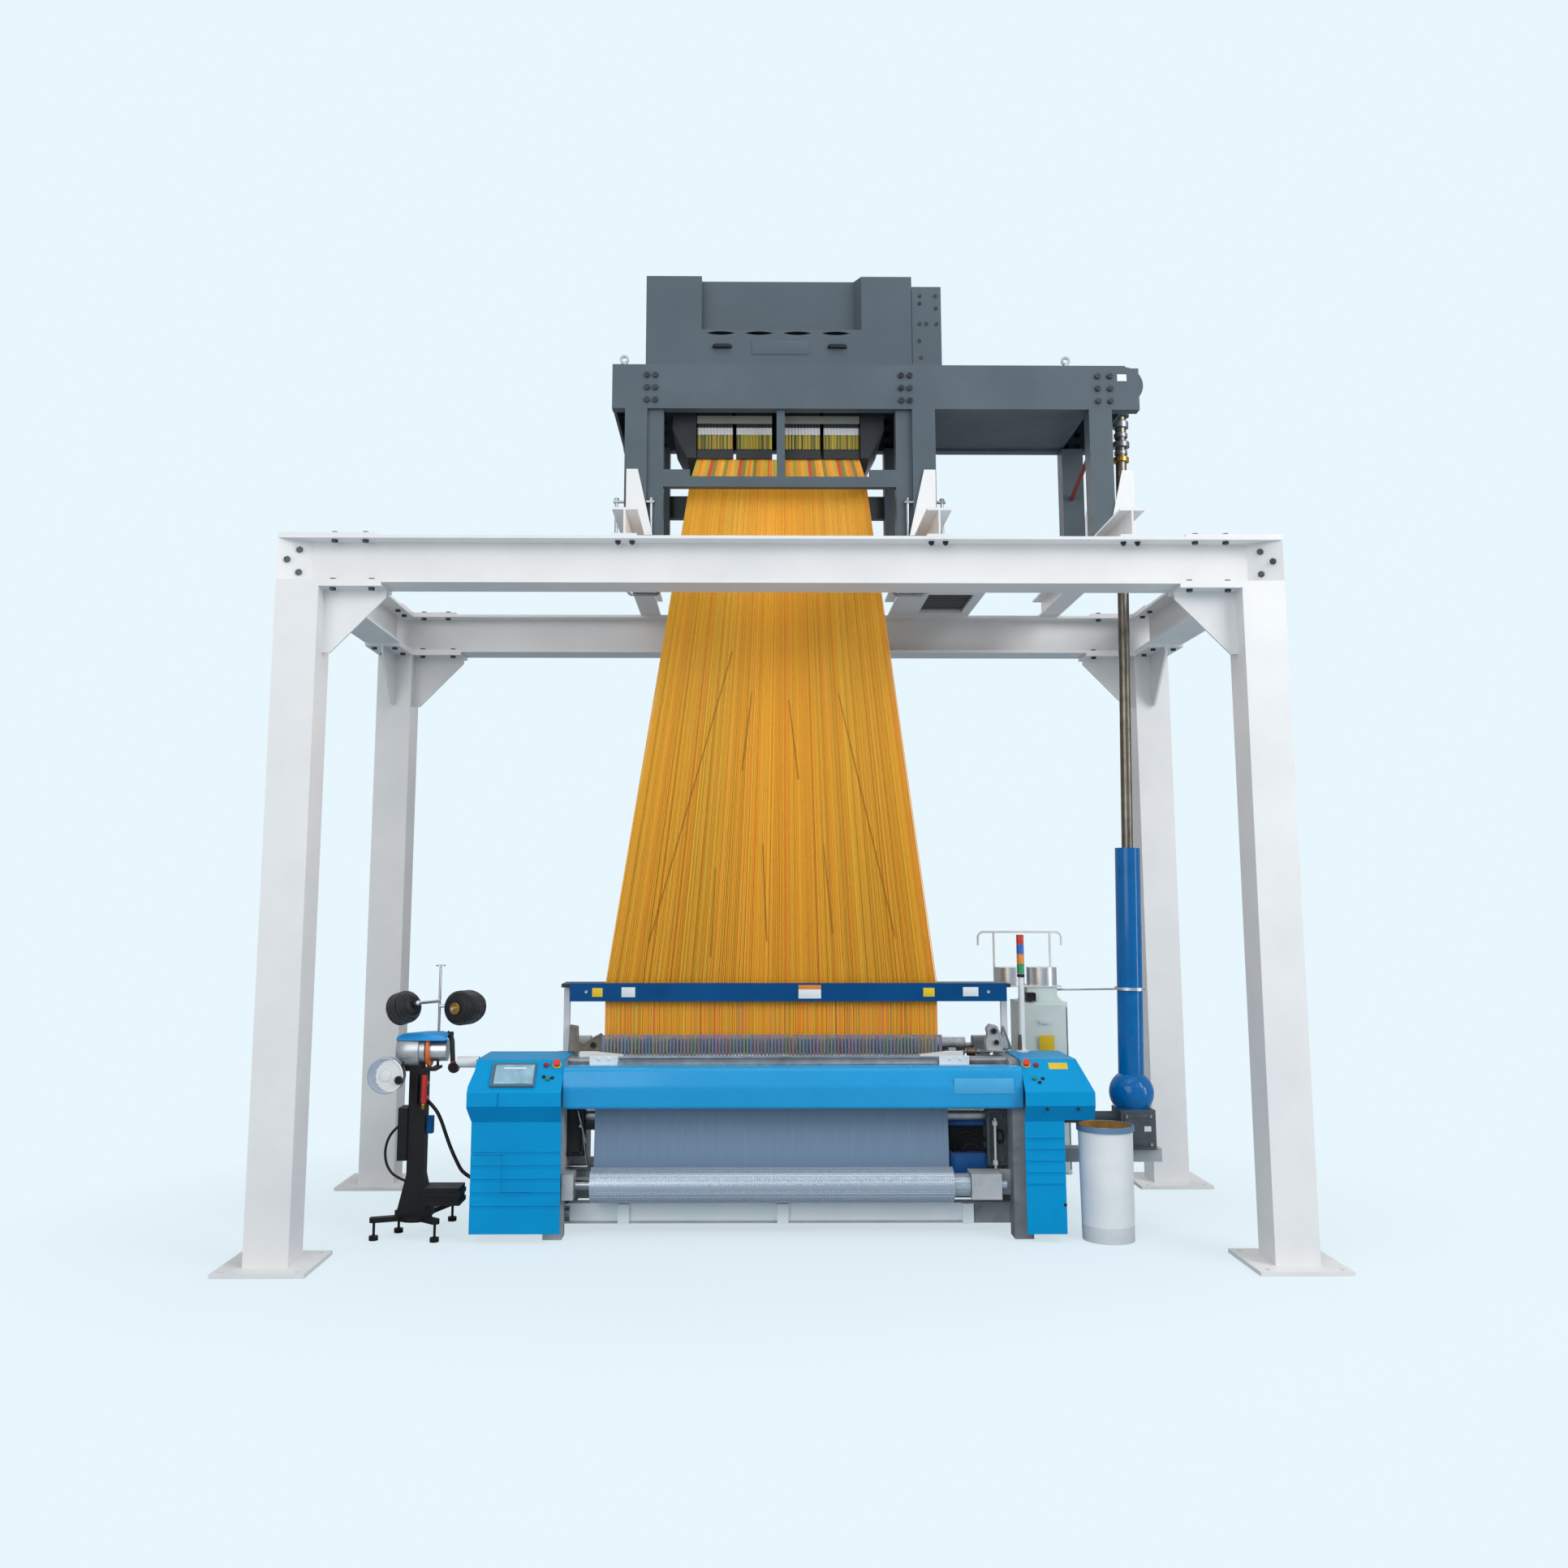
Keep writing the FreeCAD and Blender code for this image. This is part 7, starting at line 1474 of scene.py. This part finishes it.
def buildTowerAndBin():
    collar = turned([(0.0200, 0), (0.0215, 0.002), (0.0215, 0.016), (0.0195, 0.018)], 28,
                    towerDetail["collar"])
    settle(collar, "towerCollar", "blackNylon")
    foot = bevelEdges(plateXZ(towerDetail["foot"], *towerDetail["footDepth"]), 0.002, 1)
    settle(foot, "towerFoot", "brownSteel")
    liner = turned(binLiner["rings"], 56, (*wasteBin["axis"], 0), closed=False)
    film = liner.modifiers.new("filmWall", "SOLIDIFY")
    film.thickness = binLiner["film"]
    film.offset = -1
    settle(applyModifiers(liner), "binLiner", "goldFilm")


buildTowerAndBin()

# nuts that hold the three bearers to the top flanges of the gantry
bearerNuts = {"bearers": [-0.815, 0.820, 1.825], "aside": 0.037, "rows": [-1.045, -0.935, 1.045],
              "underside": 3.6235, "stack": [(0.0165, 0.003, 20), (0.0140, 0.014, 6), (0.0075, 0.020, 12)]}


# each is a washer, a nut and the end of the thread
def buildBearerNuts():
    spots = [Vector((x + side * bearerNuts["aside"], y, bearerNuts["underside"]))
             for x in bearerNuts["bearers"] for side in (-1, 1) for y in bearerNuts["rows"]]
    stack = join([turned([(radius, 0), (radius, length - 0.001), (radius - 0.001, length)], sides, spots[0],
                         (0, 0, -1)) for radius, length, sides in bearerNuts["stack"]])
    nuts = repeatAt(stack, [spot - spots[0] for spot in spots[1:]])
    settle(nuts, "bearerNuts", "blackBolt")


buildBearerNuts()
print("machine details placed")

# soft daylight: a pale world, a broad key from the upper right, a fill, a top light
# and a tall strip at the right that puts a long gleam on upright tubes
lights = {
    "key": {"place": (7.5, -7.0, 7.0), "size": 5, "power": 490},
    "fill": {"place": (-4.5, -9.5, 5.0), "size": 7, "power": 370},
    "top": {"place": (0.5, -1.0, 9.0), "size": 7, "power": 250},
    "back": {"place": (1.0, 8.5, 6.5), "size": 6, "power": 140},
    "strip": {"place": (8.5, -3.6, 1.9), "size": 1.2, "tall": 4, "power": 90},
}


def placeLights():
    for name, light in lights.items():
        data = bpy.data.lights.new(name, "AREA")
        data.shape = "RECTANGLE"
        data.size = light["size"]
        data.size_y = light.get("tall", light["size"])
        data.energy = light["power"]
        lamp = bpy.data.objects.new(name, data)
        lamp.location = light["place"]
        aim = Vector((0, 0, 2.2)) - Vector(light["place"])
        lamp.rotation_euler = aim.to_track_quat("-Z", "Y").to_euler()
        scene.collection.objects.link(lamp)


# the camera and glass see the pale backdrop; everything else, gloss too, gets a plain sky level
def setWorld():
    world = bpy.data.worlds.new("paleDaylight")
    world.use_nodes = True
    tree = world.node_tree
    tree.nodes.clear()
    rays = addNode(tree, "LightPath")
    seen = addNode(tree, "Math", {"operation": "MAXIMUM"},
                   {0: rays.outputs["Is Camera Ray"], 1: rays.outputs["Is Transmission Ray"]})
    sky = addNode(tree, "Background", {"Color": hexColour("#F4F8FC"), "Strength": 0.46})
    pale = addNode(tree, "Background", {"Color": hexColour("#E8F6FD"), "Strength": 1.0})
    mix = addNode(tree, "MixShader", {}, {0: seen, 1: sky, 2: pale})
    addNode(tree, "OutputWorld", {}, {"Surface": mix})
    scene.world = world


# a pale floor: it keeps the shadow near the loom and fades to the backdrop's colour farther off;
# it throws back less light than it shows, so that undersides stay dark
def layFloor():
    clearSelection()
    bpy.ops.mesh.primitive_plane_add(size=120, location=(0, 0, -0.001))
    floor = bpy.context.object
    floor.name = "paleFloor"
    material, tree = startMaterial("paleStudioFloor")
    camera = addNode(tree, "LightPath").outputs["Is Camera Ray"]
    away = addNode(tree, "VectorMath", {"operation": "LENGTH"}, {0: ownSpace(tree, (0.30, 0.42, 1))})
    fade = addNode(tree, "MapRange", {"From Min": 0.75, "From Max": 1.35, "To Min": 0.70, "To Max": 1.0},
                   {"Value": away.outputs["Value"]})
    pale = addNode(tree, "Mix", {"data_type": "RGBA", 6: hexColour("#A9B7C0"), 7: hexColour("#DDEBF2")},
                   {0: camera})
    cast = addNode(tree, "BsdfDiffuse", {}, {"Color": pale.outputs[2]})
    glow = addNode(tree, "Emission", {"Color": hexColour("#E8F6FD"), "Strength": 1.0})
    share = addNode(tree, "Math", {"operation": "MULTIPLY"}, {0: camera, 1: fade})
    mix = addNode(tree, "MixShader", {}, {0: share, 1: cast, 2: glow})
    floor.data.materials.append(closeMaterial(material, tree, mix))


placeLights()
setWorld()
layFloor()
print("stage set")
